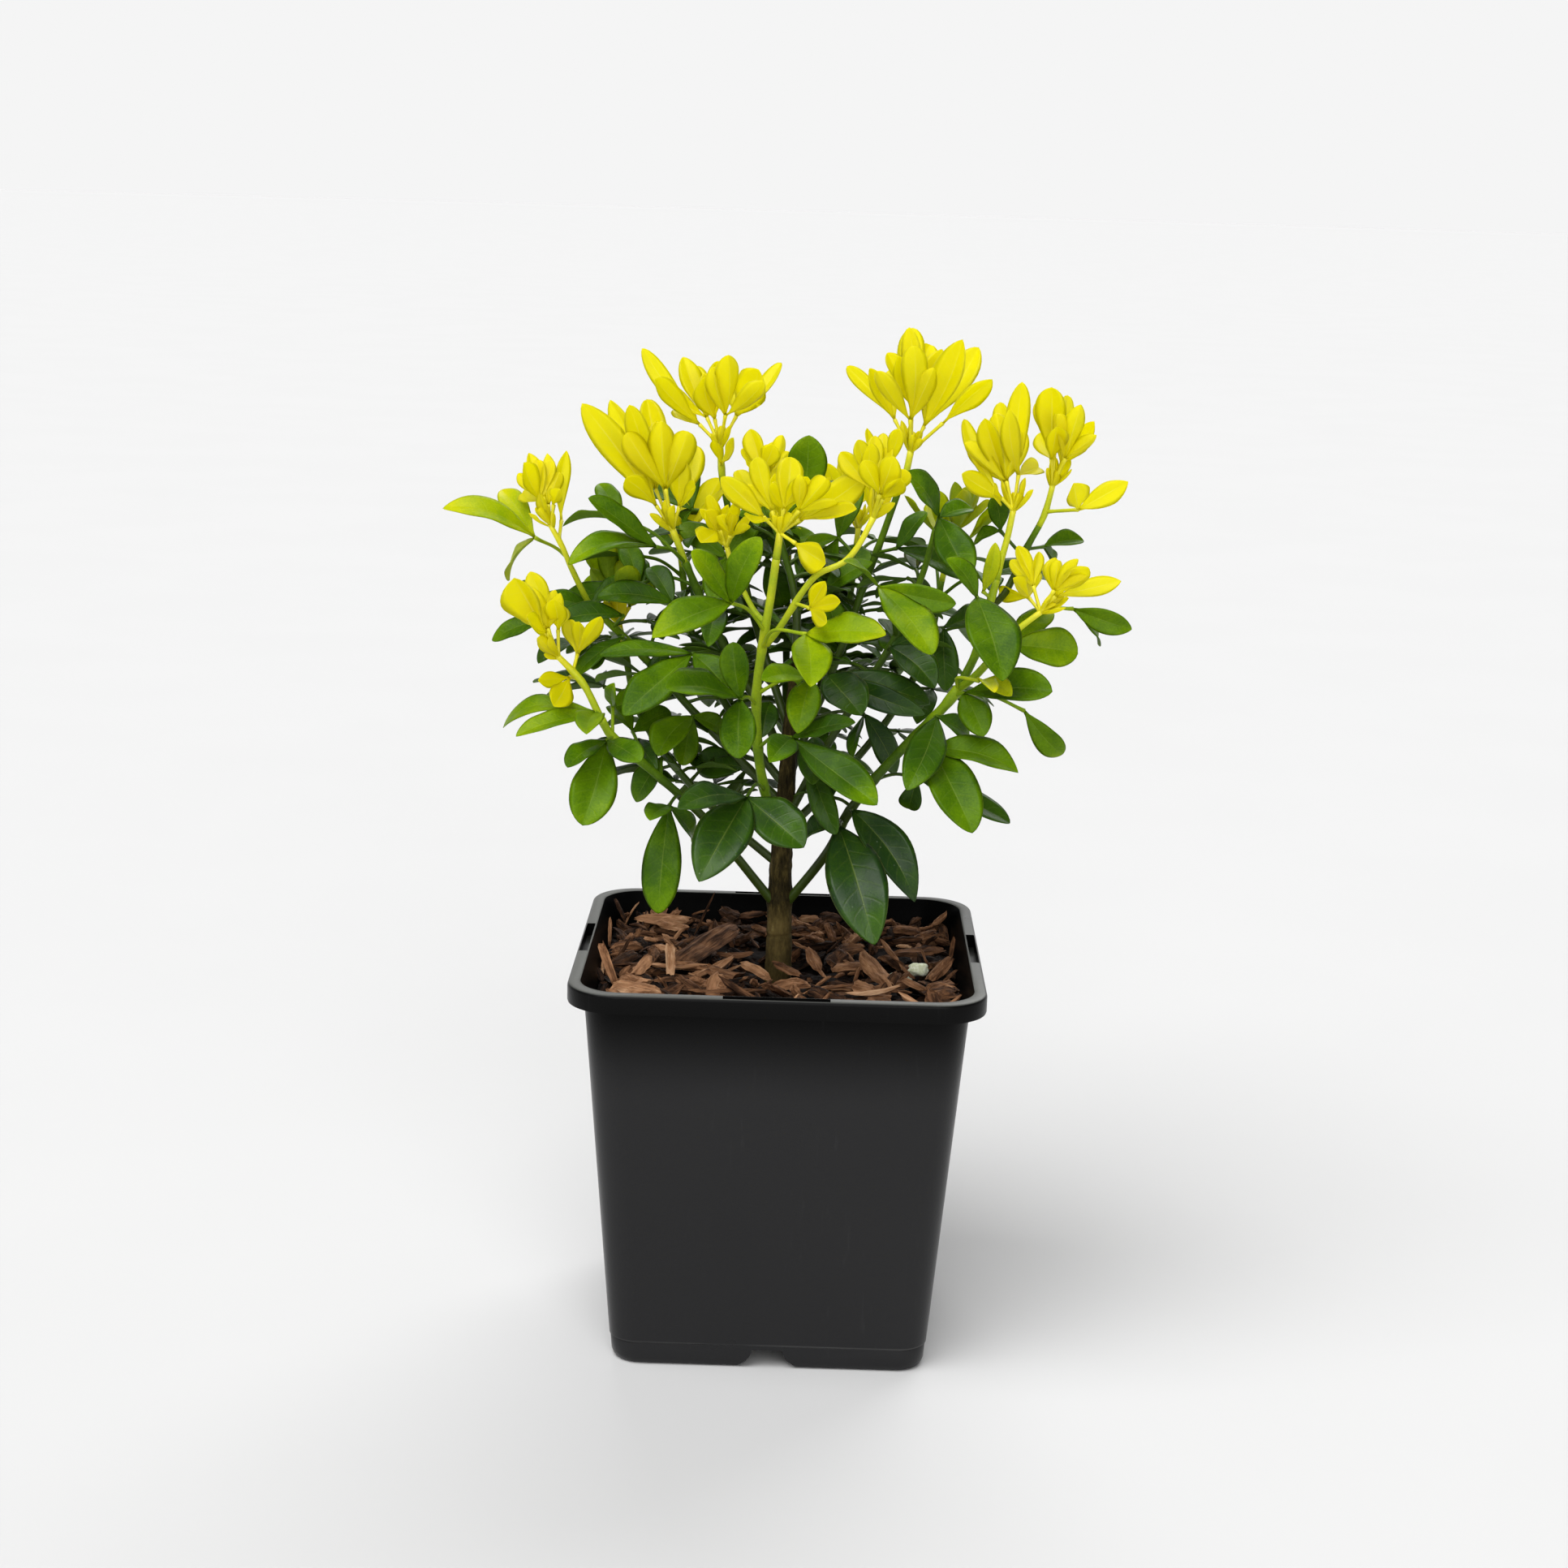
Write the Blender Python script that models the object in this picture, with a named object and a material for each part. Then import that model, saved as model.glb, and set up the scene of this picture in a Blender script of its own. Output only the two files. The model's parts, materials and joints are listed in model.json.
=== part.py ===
# A potted golden Mexican orange: a square black nursery pot, bark potting mix, a woody trunk,
# green leafy shoots and the yellow young sprays at their tips. Metres, +Z up.
# The origin is the centre of the pot's underside, on the surface that it stands on.

import itertools
import math
import random

import bmesh
import bpy
import numpy as np
from mathutils import Matrix, Vector
from mathutils.bvhtree import BVHTree
from mathutils.geometry import intersect_point_line

MM = 0.001

# Pot: outer sizes of a square 14 cm nursery pot, as half widths where it is symmetric
RIM_HALF = 70.0 * MM
RIM_DROP = 6.6 * MM
RIM_INNER_HALF = 65.6 * MM
POT_HEIGHT = 136.4 * MM
BODY_TOP_HALF = 64.5 * MM
BODY_BASE_HALF = 53.85 * MM
RIM_CORNER = 17.0 * MM
RIM_INNER_CORNER = 14.0 * MM
BODY_TOP_CORNER = 13.5 * MM
BODY_BASE_CORNER = 10.0 * MM
WALL = 1.7 * MM
FLOOR_TOP = 8.2 * MM
MOULD_LINE_HEIGHT = 8.0 * MM
MOULD_LINE_STEP = 0.3 * MM
CORNER_STEPS = 5
CHANNEL_HEIGHT = 6.4 * MM
CHANNEL_TOP_HALF = 5.3 * MM
CHANNEL_FOOT_HALF = 10.5 * MM
DRAIN_RADIUS = 4.0 * MM
DRAIN_DISTANCE = 28.0 * MM
RIM_POCKET = (35.5 * MM, 2.8 * MM, 1.2 * MM)
CUT_OVER = 2.0 * MM
HOLE_SIDES = 20
SHARP_ANGLE = math.radians(30)
WELD = 0.002 * MM

# Potting mix
GAP = 0.3 * MM
SOIL_TOP = 126.5 * MM
CHIP_ROWS = 6
CHIP_PITCH = 18.5 * MM
CHIP_LENGTHS = (9.0 * MM, 16.0 * MM)
CHIP_WIDTHS = (3.6 * MM, 6.5 * MM)
CHIP_THICKNESSES = (2.8 * MM, 4.2 * MM)
CHIP_JITTER = 0.25
CHIP_RISE = 1.4
CHIP_TILT = 18
CHIP_ROLL = 20
CHIP_TAPER = 0.55
CHIP_CLEAR = 1.5 * MM
HOLE_GAP = 0.42 * MM

# Trunk
TRUNK_FOOT = 88.0 * MM
TRUNK_RADIUS = 4.6 * MM
TRUNK_X = -0.3

# Foliage
BLADE_THICKNESS = 1.2 * MM
BROAD_WIDTH = 12.0 * MM
BROAD_RINGS = ((0.27, 0.66), (0.6, 1.0), (0.9, 0.62))
NARROW_RINGS = ((0.42, 0.84), (0.82, 0.84))
SLIM_RINGS = ((0.64, 1.0),)
SLIM_WIDTH = 6.5 * MM
ROOT_HALF_WIDTH = 0.6 * MM
HUB_REACHES = (1.6 * MM, 2.4 * MM, 3.4 * MM, 4.6 * MM)
GREEN_FOLD = math.radians(14)
YOUNG_FOLD = math.radians(24)
GREEN_ARCH = 0.07
YOUNG_ARCH = -0.05
PETIOLE_RADIUS = 0.75 * MM
PETIOLE_NEEDED = 3.5 * MM
ROOT_SINK = 1.0 * MM
ROOT_SHARE = 0.15
LOOSE_SINK = 1.4 * MM
STALK_BEND_LENGTH = 14.0 * MM
PETIOLE_RISE = 0.55
PETIOLE_BOW = 0.1
THREE_SIDED = 1.25
STALK_UP = Vector((0.2, 0.1, 0.97))
HULL_UP = Vector((0.31, 0.2, 0.93))
LEAST_STALK = 1.0 * MM
LEAST_SPAN = 0.2 * MM
LEAST_CROSS = 1e-12
SAME_PLANE = 1e-7
STUB_LENGTH = 0.5 * MM
STUB_STEP = 0.5 * MM
STUB_SINK = 0.6 * MM
STUB_SHARE = 0.92
HULL_SHARE = 1.3
STEM_STEP = 13.0 * MM
FINE_STEP = 3.0 * MM
CLEARANCE = 0.45 * MM
ROLL_SPREAD = 12
ARCH_SPREAD = (0.5, 1.5)
GREEN_FACE = Vector((0.0, -0.66, 0.75))
YOUNG_FACE = Vector((0.0, -0.94, 0.34))
NUDGES = 63
NUDGE_STEP = 5.0 * MM
NUDGE_TURN = math.radians(7)
BENDS = [Vector((0.0, 0.0, 0.0))] + [
    Vector((math.cos(angle), math.sin(angle), 0.2)) * size
    for size in (0.12, 0.25, 0.4)
    for angle in (0.0, 1.57, 3.14, 4.71, 0.8, 2.4, 3.9, 5.5)
]

# Leaves of the shoots at the back: angles in degrees, lengths in mm, the rest as shares
SIDE_TURN = 62
SIDE_SHARE = 0.86
TURN_SPREAD = 10
DROOP_SPREAD = 14
LOW_DROOP = 38
TOP_DROOP = 4
LENGTH_SPREAD = (0.88, 1.08)
GREEN_WIDTHS = (0.33, 0.4)
FACE_LEAN = 0.35
SPREAD_POWER = 1.1
RISE_POWER = 1.15
FIRST_PAIR = 0.34
LAST_PAIR = 0.94
STALK_LENGTHS = (14, 22)
STALK_OUT = 0.85
STALK_RISE = 0.45
LEAF_LENGTHS = (30, 38)
SHRINK = 0.2

# Young leaves at the tips of the shoots at the back
BACK_TUFT = 7
TUFT_REACH = 9.0 * MM
TUFT_TURN = 2.4
INNER_LEAN = 14
OUTER_LEAN = 54
YOUNG_LENGTHS = (20, 32)
YOUNG_WIDTHS = (0.24, 0.32)

# Where the plant is looked at from: a place given as seen from here keeps its look at any depth
EYE = Vector((6.9, -932.0, 400.7)) * MM


def seen(x, z, depth):
    """The place at this depth that looks as if it lay at (x, z) on the pot's middle plane; all in mm."""
    flat = Vector((x, 0.0, z)) * MM
    return EYE + (flat - EYE) * (1.0 - depth * MM / EYE.y)


def leaf(x, z, depth, width, roll=0.0, arch=None):
    """One leaflet by its tip: its depth is from the leaf's joint, roll turns it about its midrib."""
    return {"tip": (x, z, depth), "width": width * MM, "roll": math.radians(roll), "arch": arch}


def fan(x, z, depth, *leaflets):
    """One compound leaf: its joint, where the leaflets meet, and the leaflets."""
    joint = seen(x, z, depth)
    grown = []
    for leaflet in leaflets:
        tip_x, tip_z, deeper = leaflet["tip"]
        grown.append({**leaflet, "tip": seen(tip_x, tip_z, depth + deeper)})
    return {"joint": joint, "leaflets": grown}


def shoot(name, colour, parent, path, radii, *fans):
    """A stem through the given (x, z, depth) places, with its compound leaves."""
    return {
        "name": name,
        "colour": colour,
        "parent": parent,
        "path": [seen(*place) for place in path],
        "radii": (radii[0] * MM, radii[1] * MM),
        "fans": list(fans),
        "spare": False,
    }


def visible_shoots():
    """The shoots that the front view shows, each after the one that carries it."""
    return [
        shoot(
            "shoot_front", "green", "trunk",
            [(0, 171, -1), (-4, 182, -7), (-7.5, 194, -11), (-9.5, 206, -14), (-10.5, 225, -17),
             (-9, 241, -19), (-6.5, 259, -21), (-5, 272, -22)],
            (1.9, 1.4),
            fan(-13, 188.5, -40, leaf(-29, 157.5, -26, 18.5), leaf(7.5, 171, -14, 16.5),
                leaf(-37, 183.5, -16, 12)),
            fan(-16, 223, -32, leaf(-42, 226, -24, 14.5, 10), leaf(-16, 202, -14, 12.5),
                leaf(-19, 243, 2, 10)),
            fan(-20, 256.5, -38, leaf(-47, 243.5, -12, 13), leaf(-34, 274, -6, 11),
                leaf(-10.5, 279.5, -8, 10.5)),
            fan(6, 246.5, -42, leaf(33.5, 247, -14, 13), leaf(8, 228, -24, 13.5)),
            fan(2, 210, -34, leaf(32.5, 187, -20, 14), leaf(24, 216, -4, 9.5),
                leaf(-5.5, 201, -14, 10.5)),
            fan(8, 231, -27, leaf(4, 211.5, -14, 11.5), leaf(-9, 230, 2, 9.5)),
        ),
        shoot(
            "shoot_left_low", "green", "trunk",
            [(-2, 150, -1), (-9, 158.5, -3), (-16, 167, -6), (-27, 180, -11), (-38, 190, -15),
             (-50, 200, -18), (-60, 208.5, -20), (-64, 214.5, -21)],
            (1.7, 1.4),
            fan(-40, 184.5, -28, leaf(-43, 145.5, -12, 13.5), leaf(-46.5, 179, -24, 9),
                leaf(-32, 172, 14, 9)),
            fan(-43, 201.5, -10, leaf(-51.5, 185.5, -16, 10), leaf(-38, 197, 12, 8)),
            fan(-62, 207, -30, leaf(-70, 176.5, -18, 15.5), leaf(-75.5, 197, -18, 9),
                leaf(-50, 200, -14, 10)),
            fan(-53, 210.5, -4, leaf(-61, 219.5, 16, 8), leaf(-40, 218, 16, 8, 45)),
            fan(-66, 217, -24, leaf(-93.5, 207.5, -10, 9), leaf(-98, 210.5, 8, 9.5, 0, 0.2),
                leaf(-69, 209, -26, 10)),
            fan(-60, 219, -12, leaf(-59.5, 227.5, -4, 6, 50), leaf(-49, 225, 14, 8)),
        ),
        shoot(
            "shoot_left_mid", "green", "trunk",
            [(-1, 187, 2), (-14, 200, 6), (-30, 216, 10), (-45, 232, 11), (-58, 245, 9),
             (-68, 253.5, 5)],
            (1.6, 1.2),
            fan(-32.5, 216.5, 2, leaf(-44, 202, -18, 14, 15), leaf(-35.5, 199, 6, 9, -20),
                leaf(-21, 211, 14, 8, 30)),
            fan(-13, 199, 14, leaf(-31, 200.5, 10, 12, -20), leaf(-14, 185, 18, 11)),
            fan(-50, 231, 4, leaf(-66, 227.5, 8, 8, 60), leaf(-69, 233, 14, 8, 70)),
            fan(-57, 243.5, -2, leaf(-73, 229.5, -12, 9, 15), leaf(-64, 236, 14, 9)),
            fan(-40, 256, 2, leaf(-66, 257, -4, 10), leaf(-48, 268, 12, 9), leaf(-43, 243, 6, 10)),
            fan(-57, 251, 0, leaf(-79.5, 248, -8, 9)),
            fan(-80, 250, 10, leaf(-102, 241, 4, 9), leaf(-92, 262, 14, 8)),
            fan(-68, 253.5, 4, leaf(-88, 255, 8, 8), leaf(-57.5, 265.5, -4, 6)),
            fan(-87.5, 277, 4, leaf(-119, 286, -6, 10, 10, 0.2), leaf(-99, 293, 18, 9),
                leaf(-96, 262, 22, 9)),
        ),
        shoot(
            "shoot_left_up", "green", "trunk",
            [(-1, 203, 3), (-9, 220, 9), (-20, 238, 13), (-29, 255, 12), (-36, 270, 8)],
            (1.7, 1.3),
            fan(-33, 238.5, -12, leaf(-56.5, 216, -18, 14.5), leaf(-65, 237, -6, 9),
                leaf(-20.5, 226, -10, 12)),
            fan(-46, 275, -4, leaf(-69.5, 291, -10, 9), leaf(-76, 268, -16, 10, 0, 0.16),
                leaf(-70, 276.5, 6, 8.5)),
            fan(-52, 262, 10, leaf(-82, 256, -6, 10), leaf(-57, 276, 12, 9)),
            fan(-58, 284, 16, leaf(-78, 281, 8, 8, 50), leaf(-66, 296, 10, 8)),
            fan(-22, 272, 14, leaf(-38, 283, 10, 10), leaf(-12, 290, 6, 10), leaf(-26, 256, -4, 10)),
        ),
        shoot(
            "shoot_top", "green", "trunk",
            [(0.5, 214, 4), (-7, 236, 15), (-14, 258, 24), (-20, 281, 29), (-24, 299, 30)],
            (1.6, 1.2),
            fan(-34, 288, 34, leaf(-52, 296, 10, 10), leaf(-44, 276, 4, 10), leaf(-36, 304, 14, 9)),
            fan(-8, 272, 34, leaf(8, 281, 12, 11), leaf(-2, 256, 8, 11), leaf(-10, 290, 12, 9)),
            fan(-32, 244, 30, leaf(-50, 248, 10, 11), leaf(-38, 228, 8, 11)),
        ),
        shoot(
            "shoot_centre", "green", "trunk",
            [(3, 238, 4), (2, 258, 8), (-3, 276, 12), (-8, 289, 14)],
            (1.6, 1.1),
            fan(4, 293, 10, leaf(5, 314.5, -4, 14), leaf(20, 296, 4, 10), leaf(-6, 303, 8, 8)),
            fan(12, 262, 2, leaf(28, 272, 6, 10), leaf(16, 246, 4, 10)),
        ),
        shoot(
            "shoot_right_low", "green", "trunk",
            [(2, 151, -1), (11.5, 163.5, -5), (17, 172, -9), (22, 183, -13), (31, 196, -17),
             (42, 209, -19), (53, 221, -20), (59, 229, -19)],
            (1.7, 1.7),
            fan(19.5, 179, -26, leaf(33.5, 136.5, -32, 20), leaf(6, 171, 18, 13)),
            fan(24, 185, -22, leaf(47, 152.5, -16, 14.5, 0, 0.18)),
            fan(46, 197, -8, leaf(79, 182, -4, 11), leaf(43.5, 186, 4, 8)),
            fan(66, 232, -32, leaf(77.5, 227, -14, 7), leaf(71.5, 228, -22, 6)),
            fan(51, 208, -30, leaf(66, 178, -26, 16.5), leaf(81, 200, -8, 13)),
            fan(52, 219, -27, leaf(42.5, 192.5, -26, 13), leaf(63.5, 212, -2, 9)),
            fan(61, 227.5, -23, leaf(90, 236.5, -12, 13.5), leaf(68.5, 212.5, -16, 11)),
            fan(82, 222, -8, leaf(96, 207, 4, 9, 50, 0.16)),
        ),
        shoot(
            "shoot_right_mid", "green", "trunk",
            [(1.5, 196, 3), (10, 220, 8), (19, 244, 9), (25, 263, 8), (30, 278, 7), (36, 297, 7)],
            (1.6, 1.2),
            fan(13.5, 232.5, -12, leaf(26, 218.5, -18, 15), leaf(48, 219.5, -16, 9, 20),
                leaf(49.5, 223.5, 0, 12)),
            fan(27, 219, 4, leaf(38.5, 198, 4, 10), leaf(23.5, 203.5, -16, 8, 55)),
            fan(36, 277, 2, leaf(60, 266.5, 6, 10, 0, 0.14), leaf(46, 289.5, -2, 8)),
            fan(16, 280, 18, leaf(2, 272, 8, 10), leaf(22, 300, 10, 9), leaf(12, 262, 6, 10)),
        ),
        shoot(
            "shoot_right_up", "green", "trunk",
            [(2, 183, 0), (14, 207, -3), (30, 234, -5), (38, 249, -6), (45, 268, -7), (49, 284, -7)],
            (1.6, 1.1),
            fan(8, 203, -13, leaf(18.7, 176, -12, 9, 30), leaf(32.5, 196, 20, 9)),
            fan(30.5, 263.5, -38, leaf(49.5, 240.5, -30, 14.5), leaf(57, 258.5, -4, 9, 45),
                leaf(18, 272, -4, 8, 35)),
            fan(35, 243, -10, leaf(51, 229, -10, 12.5), leaf(52, 250, 12, 10)),
            fan(53, 250, 6, leaf(54.5, 228, -6, 10), leaf(70, 256, 10, 10)),
            fan(50, 288, -12, leaf(61, 267.5, -16, 13), leaf(38, 303, -10, 12),
                leaf(61.5, 291, 2, 8.5)),
        ),
        shoot(
            "shoot_right_high", "green", "shoot_right_low",
            [(59, 229, -19), (65, 243, -15), (68, 257, -12), (70.5, 267, -10)],
            (1.6, 1.3),
            fan(64, 261, -30, leaf(74, 232, -24, 18), leaf(53, 274, -2, 9)),
            fan(76, 245, -6, leaf(99.5, 242.5, -4, 15.5), leaf(90, 257, 12, 10)),
            fan(66, 263, -14, leaf(69.5, 280, -2, 5.5, 30)),
        ),
        shoot(
            "shoot_right_out", "green", "shoot_right_low",
            [(59, 229, -19), (64, 233, -24), (70, 240, -23), (77, 249, -17)],
            (1.5, 1.2),
            fan(97, 258, -2, leaf(117.5, 251.5, -2, 8.5, 40), leaf(106, 246, 14, 9)),
        ),
        shoot(
            "shoot_right_far", "green", "shoot_right_high",
            [(68, 257, -12), (73, 262, -6), (76, 268, -3), (80, 278, -1), (84, 286, -1)],
            (1.3, 1.1),
            fan(86, 279, 6, leaf(99.5, 281.5, 6, 8), leaf(90, 268, 12, 9)),
            fan(71, 284, 8, leaf(62, 279, 6, 8), leaf(68, 296, 10, 8)),
        ),
        shoot(
            "spray_left_far", "yellow", "shoot_left_mid",
            [(-68, 253.5, 5), (-71, 259, 1), (-75, 267, -3), (-78, 274, -5), (-82, 281, -6)],
            (1.1, 0.9),
            fan(-82, 281, -6, leaf(-91.5, 302.5, -8, 6.5), leaf(-87, 303.5, 4, 5.5),
                leaf(-82, 301, 10, 5), leaf(-92, 292, 10, 5), leaf(-79, 294, -12, 5)),
            fan(-78.5, 283, 2, leaf(-77, 307, 4, 5, 30)),
        ),
        shoot(
            "spray_left_low", "yellow", "shoot_left_low",
            [(-64, 214.5, -21), (-69.5, 225.5, -21), (-74, 231, -21), (-79, 236, -22)],
            (1.4, 1.1),
            fan(-79, 236, -22, leaf(-94.5, 263, -8, 11.5), leaf(-81, 256, -12, 7),
                leaf(-86, 257, 8, 7), leaf(-78, 254, 6, 5), leaf(-90, 250, -16, 6)),
            fan(-72.5, 237, -16, leaf(-75.5, 249, 4, 5), leaf(-72, 248.5, -6, 5),
                leaf(-64.5, 250.5, 0, 5)),
            fan(-75, 229, -14, leaf(-80.5, 218.5, -8, 7.5), leaf(-86, 227.5, -14, 5)),
        ),
        shoot(
            "spray_left_tall", "yellow", "shoot_left_up",
            [(-36, 270, 8), (-38, 275, 7), (-40.5, 281, 6)],
            (1.2, 1.2),
            fan(-40.5, 281, 6, leaf(-72, 323, -6, 9.5), leaf(-62.5, 324.5, 6, 8),
                leaf(-56, 323, -10, 7), leaf(-50, 325, 8, 8), leaf(-45, 318, 14, 8),
                leaf(-38, 306, -6, 7), leaf(-57, 298, -14, 7), leaf(-33, 296, -12, 7),
                leaf(-33, 310, 12, 7)),
        ),
        shoot(
            "spray_top", "yellow", "shoot_top",
            [(-24, 299, 30), (-24.5, 304, 30), (-25, 310, 30)],
            (1.2, 1.2),
            fan(-25, 310, 30, leaf(-52, 342, 4, 6), leaf(-47.5, 332, -10, 7), leaf(-35, 336, 8, 8),
                leaf(-26.5, 338.5, 2, 7), leaf(-12.5, 336, -4, 12), leaf(-5, 338.5, 8, 5.5),
                leaf(-31, 333, -8, 10), leaf(-18, 330, 14, 9), leaf(-40, 322, 12, 7)),
            fan(-24.5, 304, 26, leaf(-27, 312, -10, 4), leaf(-20.5, 313, -8, 4)),
        ),
        shoot(
            "spray_centre", "yellow", "shoot_centre",
            [(-8, 289, 14), (-8.5, 292, 14), (-9, 296, 14)],
            (1.0, 1.0),
            fan(-9, 296, 14, leaf(-15, 316, 2, 6.5), leaf(-7, 311, -6, 6.5), leaf(-3, 306, 6, 6),
                leaf(-16, 304, -6, 6)),
        ),
        shoot(
            "spray_front_left", "yellow", "shoot_front",
            [(-8, 250, -20), (-12, 254, -16), (-17, 263, -13), (-20.5, 271, -12), (-22, 276, -12)],
            (1.0, 0.9),
            fan(-22, 276, -12, leaf(-29.5, 288, -6, 6), leaf(-24.5, 288.5, 4, 5),
                leaf(-14, 285.5, -2, 5.5), leaf(-31, 277, -16, 8), leaf(-20, 291, -10, 5)),
        ),
        shoot(
            "spray_front", "yellow", "shoot_front",
            [(-5, 272, -22), (-4.5, 276, -22), (-4, 281, -22)],
            (1.4, 1.2),
            fan(-4, 281, -22, leaf(-24.5, 299.5, -4, 7), leaf(-19, 302, 8, 6), leaf(-1, 307, 2, 8),
                leaf(5, 300.5, -8, 7), leaf(9, 297, 6, 7), leaf(25, 301.5, -4, 9),
                leaf(22, 290, -14, 5.5), leaf(-14, 285, -16, 8), leaf(12, 271, -18, 9),
                leaf(-8, 297, -12, 6)),
        ),
        shoot(
            "spray_front_right", "yellow", "shoot_front",
            [(-9.5, 236, -19), (-4, 242.5, -26), (0, 250, -29), (5, 261, -31), (10.5, 269, -32),
             (17.5, 274, -32), (22.5, 281, -32), (27, 291, -31)],
            (1.2, 1.0),
            fan(7, 255.5, -36, leaf(12, 265, -6, 5), leaf(17.5, 258, -10, 5),
                leaf(13, 250.5, -8, 5)),
            fan(27, 291, -31, leaf(21.5, 313.5, 2, 6), leaf(26, 312.5, -6, 6), leaf(34, 307, -4, 6),
                leaf(36.5, 301, -10, 6), leaf(30, 316, 8, 5)),
            fan(31, 303, -24, leaf(24.5, 317.5, 6, 5), leaf(35.5, 317.5, 4, 5)),
        ),
        shoot(
            "spray_tall", "yellow", "shoot_right_mid",
            [(36, 297, 7), (38, 302, 7), (39.5, 310, 7)],
            (1.2, 1.2),
            fan(39.5, 310, 7, leaf(37.5, 351.5, 2, 7), leaf(44.5, 346, 8, 7), leaf(55.5, 348, -4, 9.5),
                leaf(61, 345.5, 8, 9), leaf(66, 335, -8, 7), leaf(34, 342, -8, 6), leaf(31, 337, 8, 6),
                leaf(24.5, 337.5, -2, 6), leaf(17, 338, 10, 5), leaf(48, 330, 14, 8)),
        ),
        shoot(
            "spray_right_tall", "yellow", "shoot_right_high",
            [(70.5, 267, -10), (71.5, 273, -9), (73.5, 282, -8), (75, 291, -8)],
            (1.2, 1.1),
            fan(75, 291, -8, leaf(64, 322, -6, 7), leaf(69, 327.5, 8, 6), leaf(76, 334.5, -2, 7),
                leaf(72, 325, -12, 6), leaf(69, 313, 10, 9), leaf(57, 303, -6, 7),
                leaf(57, 321.5, 12, 5), leaf(68, 296, -16, 7), leaf(83, 306, 12, 6)),
        ),
        shoot(
            "spray_right_far", "yellow", "shoot_right_far",
            [(84, 286, -1), (86, 291, -1), (88, 300, -2)],
            (1.1, 1.0),
            fan(88, 300, -2, leaf(86, 333, -4, 9.5), leaf(91.5, 330.5, 8, 7), leaf(88.5, 320, -12, 7),
                leaf(101, 322, 0, 7), leaf(93.5, 317, 10, 7), leaf(82.5, 317.5, 10, 6)),
            fan(97, 292, -9, leaf(95, 301, -8, 8), leaf(113.5, 302, -2, 7)),
        ),
        shoot(
            "spray_right_low", "yellow", "shoot_right_out",
            [(77, 249, -17), (81, 252.5, -17), (86, 256.5, -17)],
            (1.2, 1.0),
            fan(86, 256.5, -17, leaf(76, 268, -8, 6), leaf(71.5, 263, 6, 5), leaf(90, 275.5, 2, 6),
                leaf(101.5, 272.5, -8, 7), leaf(113, 268, 4, 6), leaf(83, 271, 10, 5)),
        ),
    ]


def on_path(points, share):
    """The place at this share of the way along a row of points."""
    place = share * (len(points) - 1)
    index = min(int(place), len(points) - 2)
    return points[index].lerp(points[index + 1], place - index)


def smooth_path(points, step):
    """Places about a step apart on the smooth curve through the given points."""
    ends = [2 * points[0] - points[1], *points, 2 * points[-1] - points[-2]]
    path = []
    for before, start, end, after in zip(ends, ends[1:], ends[2:], ends[3:]):
        count = max(1, round((end - start).length / step))
        for index in range(count):
            t = index / count
            path.append(
                0.5 * (2 * start + (end - before) * t
                       + (2 * before - 5 * start + 4 * end - after) * t**2
                       + (3 * start - before - 3 * end + after) * t**3)
            )
    return [*path, points[-1]]


def path_after(points, distance):
    """The path without its first stretch of this length."""
    left = distance
    for index, (a, b) in enumerate(zip(points, points[1:])):
        span = (b - a).length
        if left < span - LEAST_SPAN:
            return [a.lerp(b, left / span), *points[index + 1 :]]
        left = max(0.0, left - span)
    return points[-2:]


def path_before(points, distance):
    """The first stretch of the path, of this length."""
    kept = [points[0]]
    left = distance
    for a, b in zip(points, points[1:]):
        span = (b - a).length
        if left <= span:
            return [*kept, a.lerp(b, left / span)]
        kept.append(b)
        left -= span
    return kept


def petiole_path(stem, joint, bend):
    """A leaf stalk from the stem to the leaf's joint, which leaves the stem upwards."""
    nearest = min((joint - point).length for point in stem)
    below = joint - Vector((0.0, 0.0, PETIOLE_RISE * nearest))
    index = min(range(len(stem)), key=lambda i: (stem[i] - below).length)
    root = stem[index]
    reach = (joint - root).length
    if reach < STALK_BEND_LENGTH and bend.length == 0.0:
        return [root, joint]
    middle = root.lerp(joint, 0.5) + Vector((0.0, 0.0, PETIOLE_BOW * reach)) + bend * reach
    return [root, middle, joint]


def facing(leaflet, along):
    """The direction that a leaflet's upper side faces, square to its midrib."""
    face = leaflet["face"] - leaflet["face"].project(along)
    return Matrix.Rotation(leaflet["roll"], 3, along) @ face.normalized()


def ring_points(centre, side, face, half_width, half_thick, lift=0.0):
    """Four corners of a blade's section: left edge, top of the midrib, right edge, underside."""
    return [
        centre - side * half_width + face * lift,
        centre + face * half_thick,
        centre + side * half_width + face * lift,
        centre - face * half_thick,
    ]


def blade_rings(leaflet, base, tip, grow=0.0):
    """Sections of a leaflet from its root to just short of its tip, and the tip."""
    along = tip - base
    length = along.length + grow
    along.normalize()
    face = facing(leaflet, along)
    side = along.cross(face)
    half_width = leaflet["width"] / 2 + grow
    half_thick = BLADE_THICKNESS / 2 + grow
    shares = BROAD_RINGS if leaflet["width"] >= BROAD_WIDTH else NARROW_RINGS
    if leaflet["width"] < SLIM_WIDTH:
        shares = SLIM_RINGS
    rings = [ring_points(base, side, face, ROOT_HALF_WIDTH + grow, half_thick)]
    for share, fullness in shares:
        bow = 4 * leaflet["arch"] * length * share * (1 - share)
        reach = half_width * fullness
        lift = reach * math.tan(leaflet["fold"])
        centre = base + along * (share * length) + face * bow
        rings.append(ring_points(centre, side, face, reach, half_thick, lift))
    return rings, base + along * length


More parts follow.
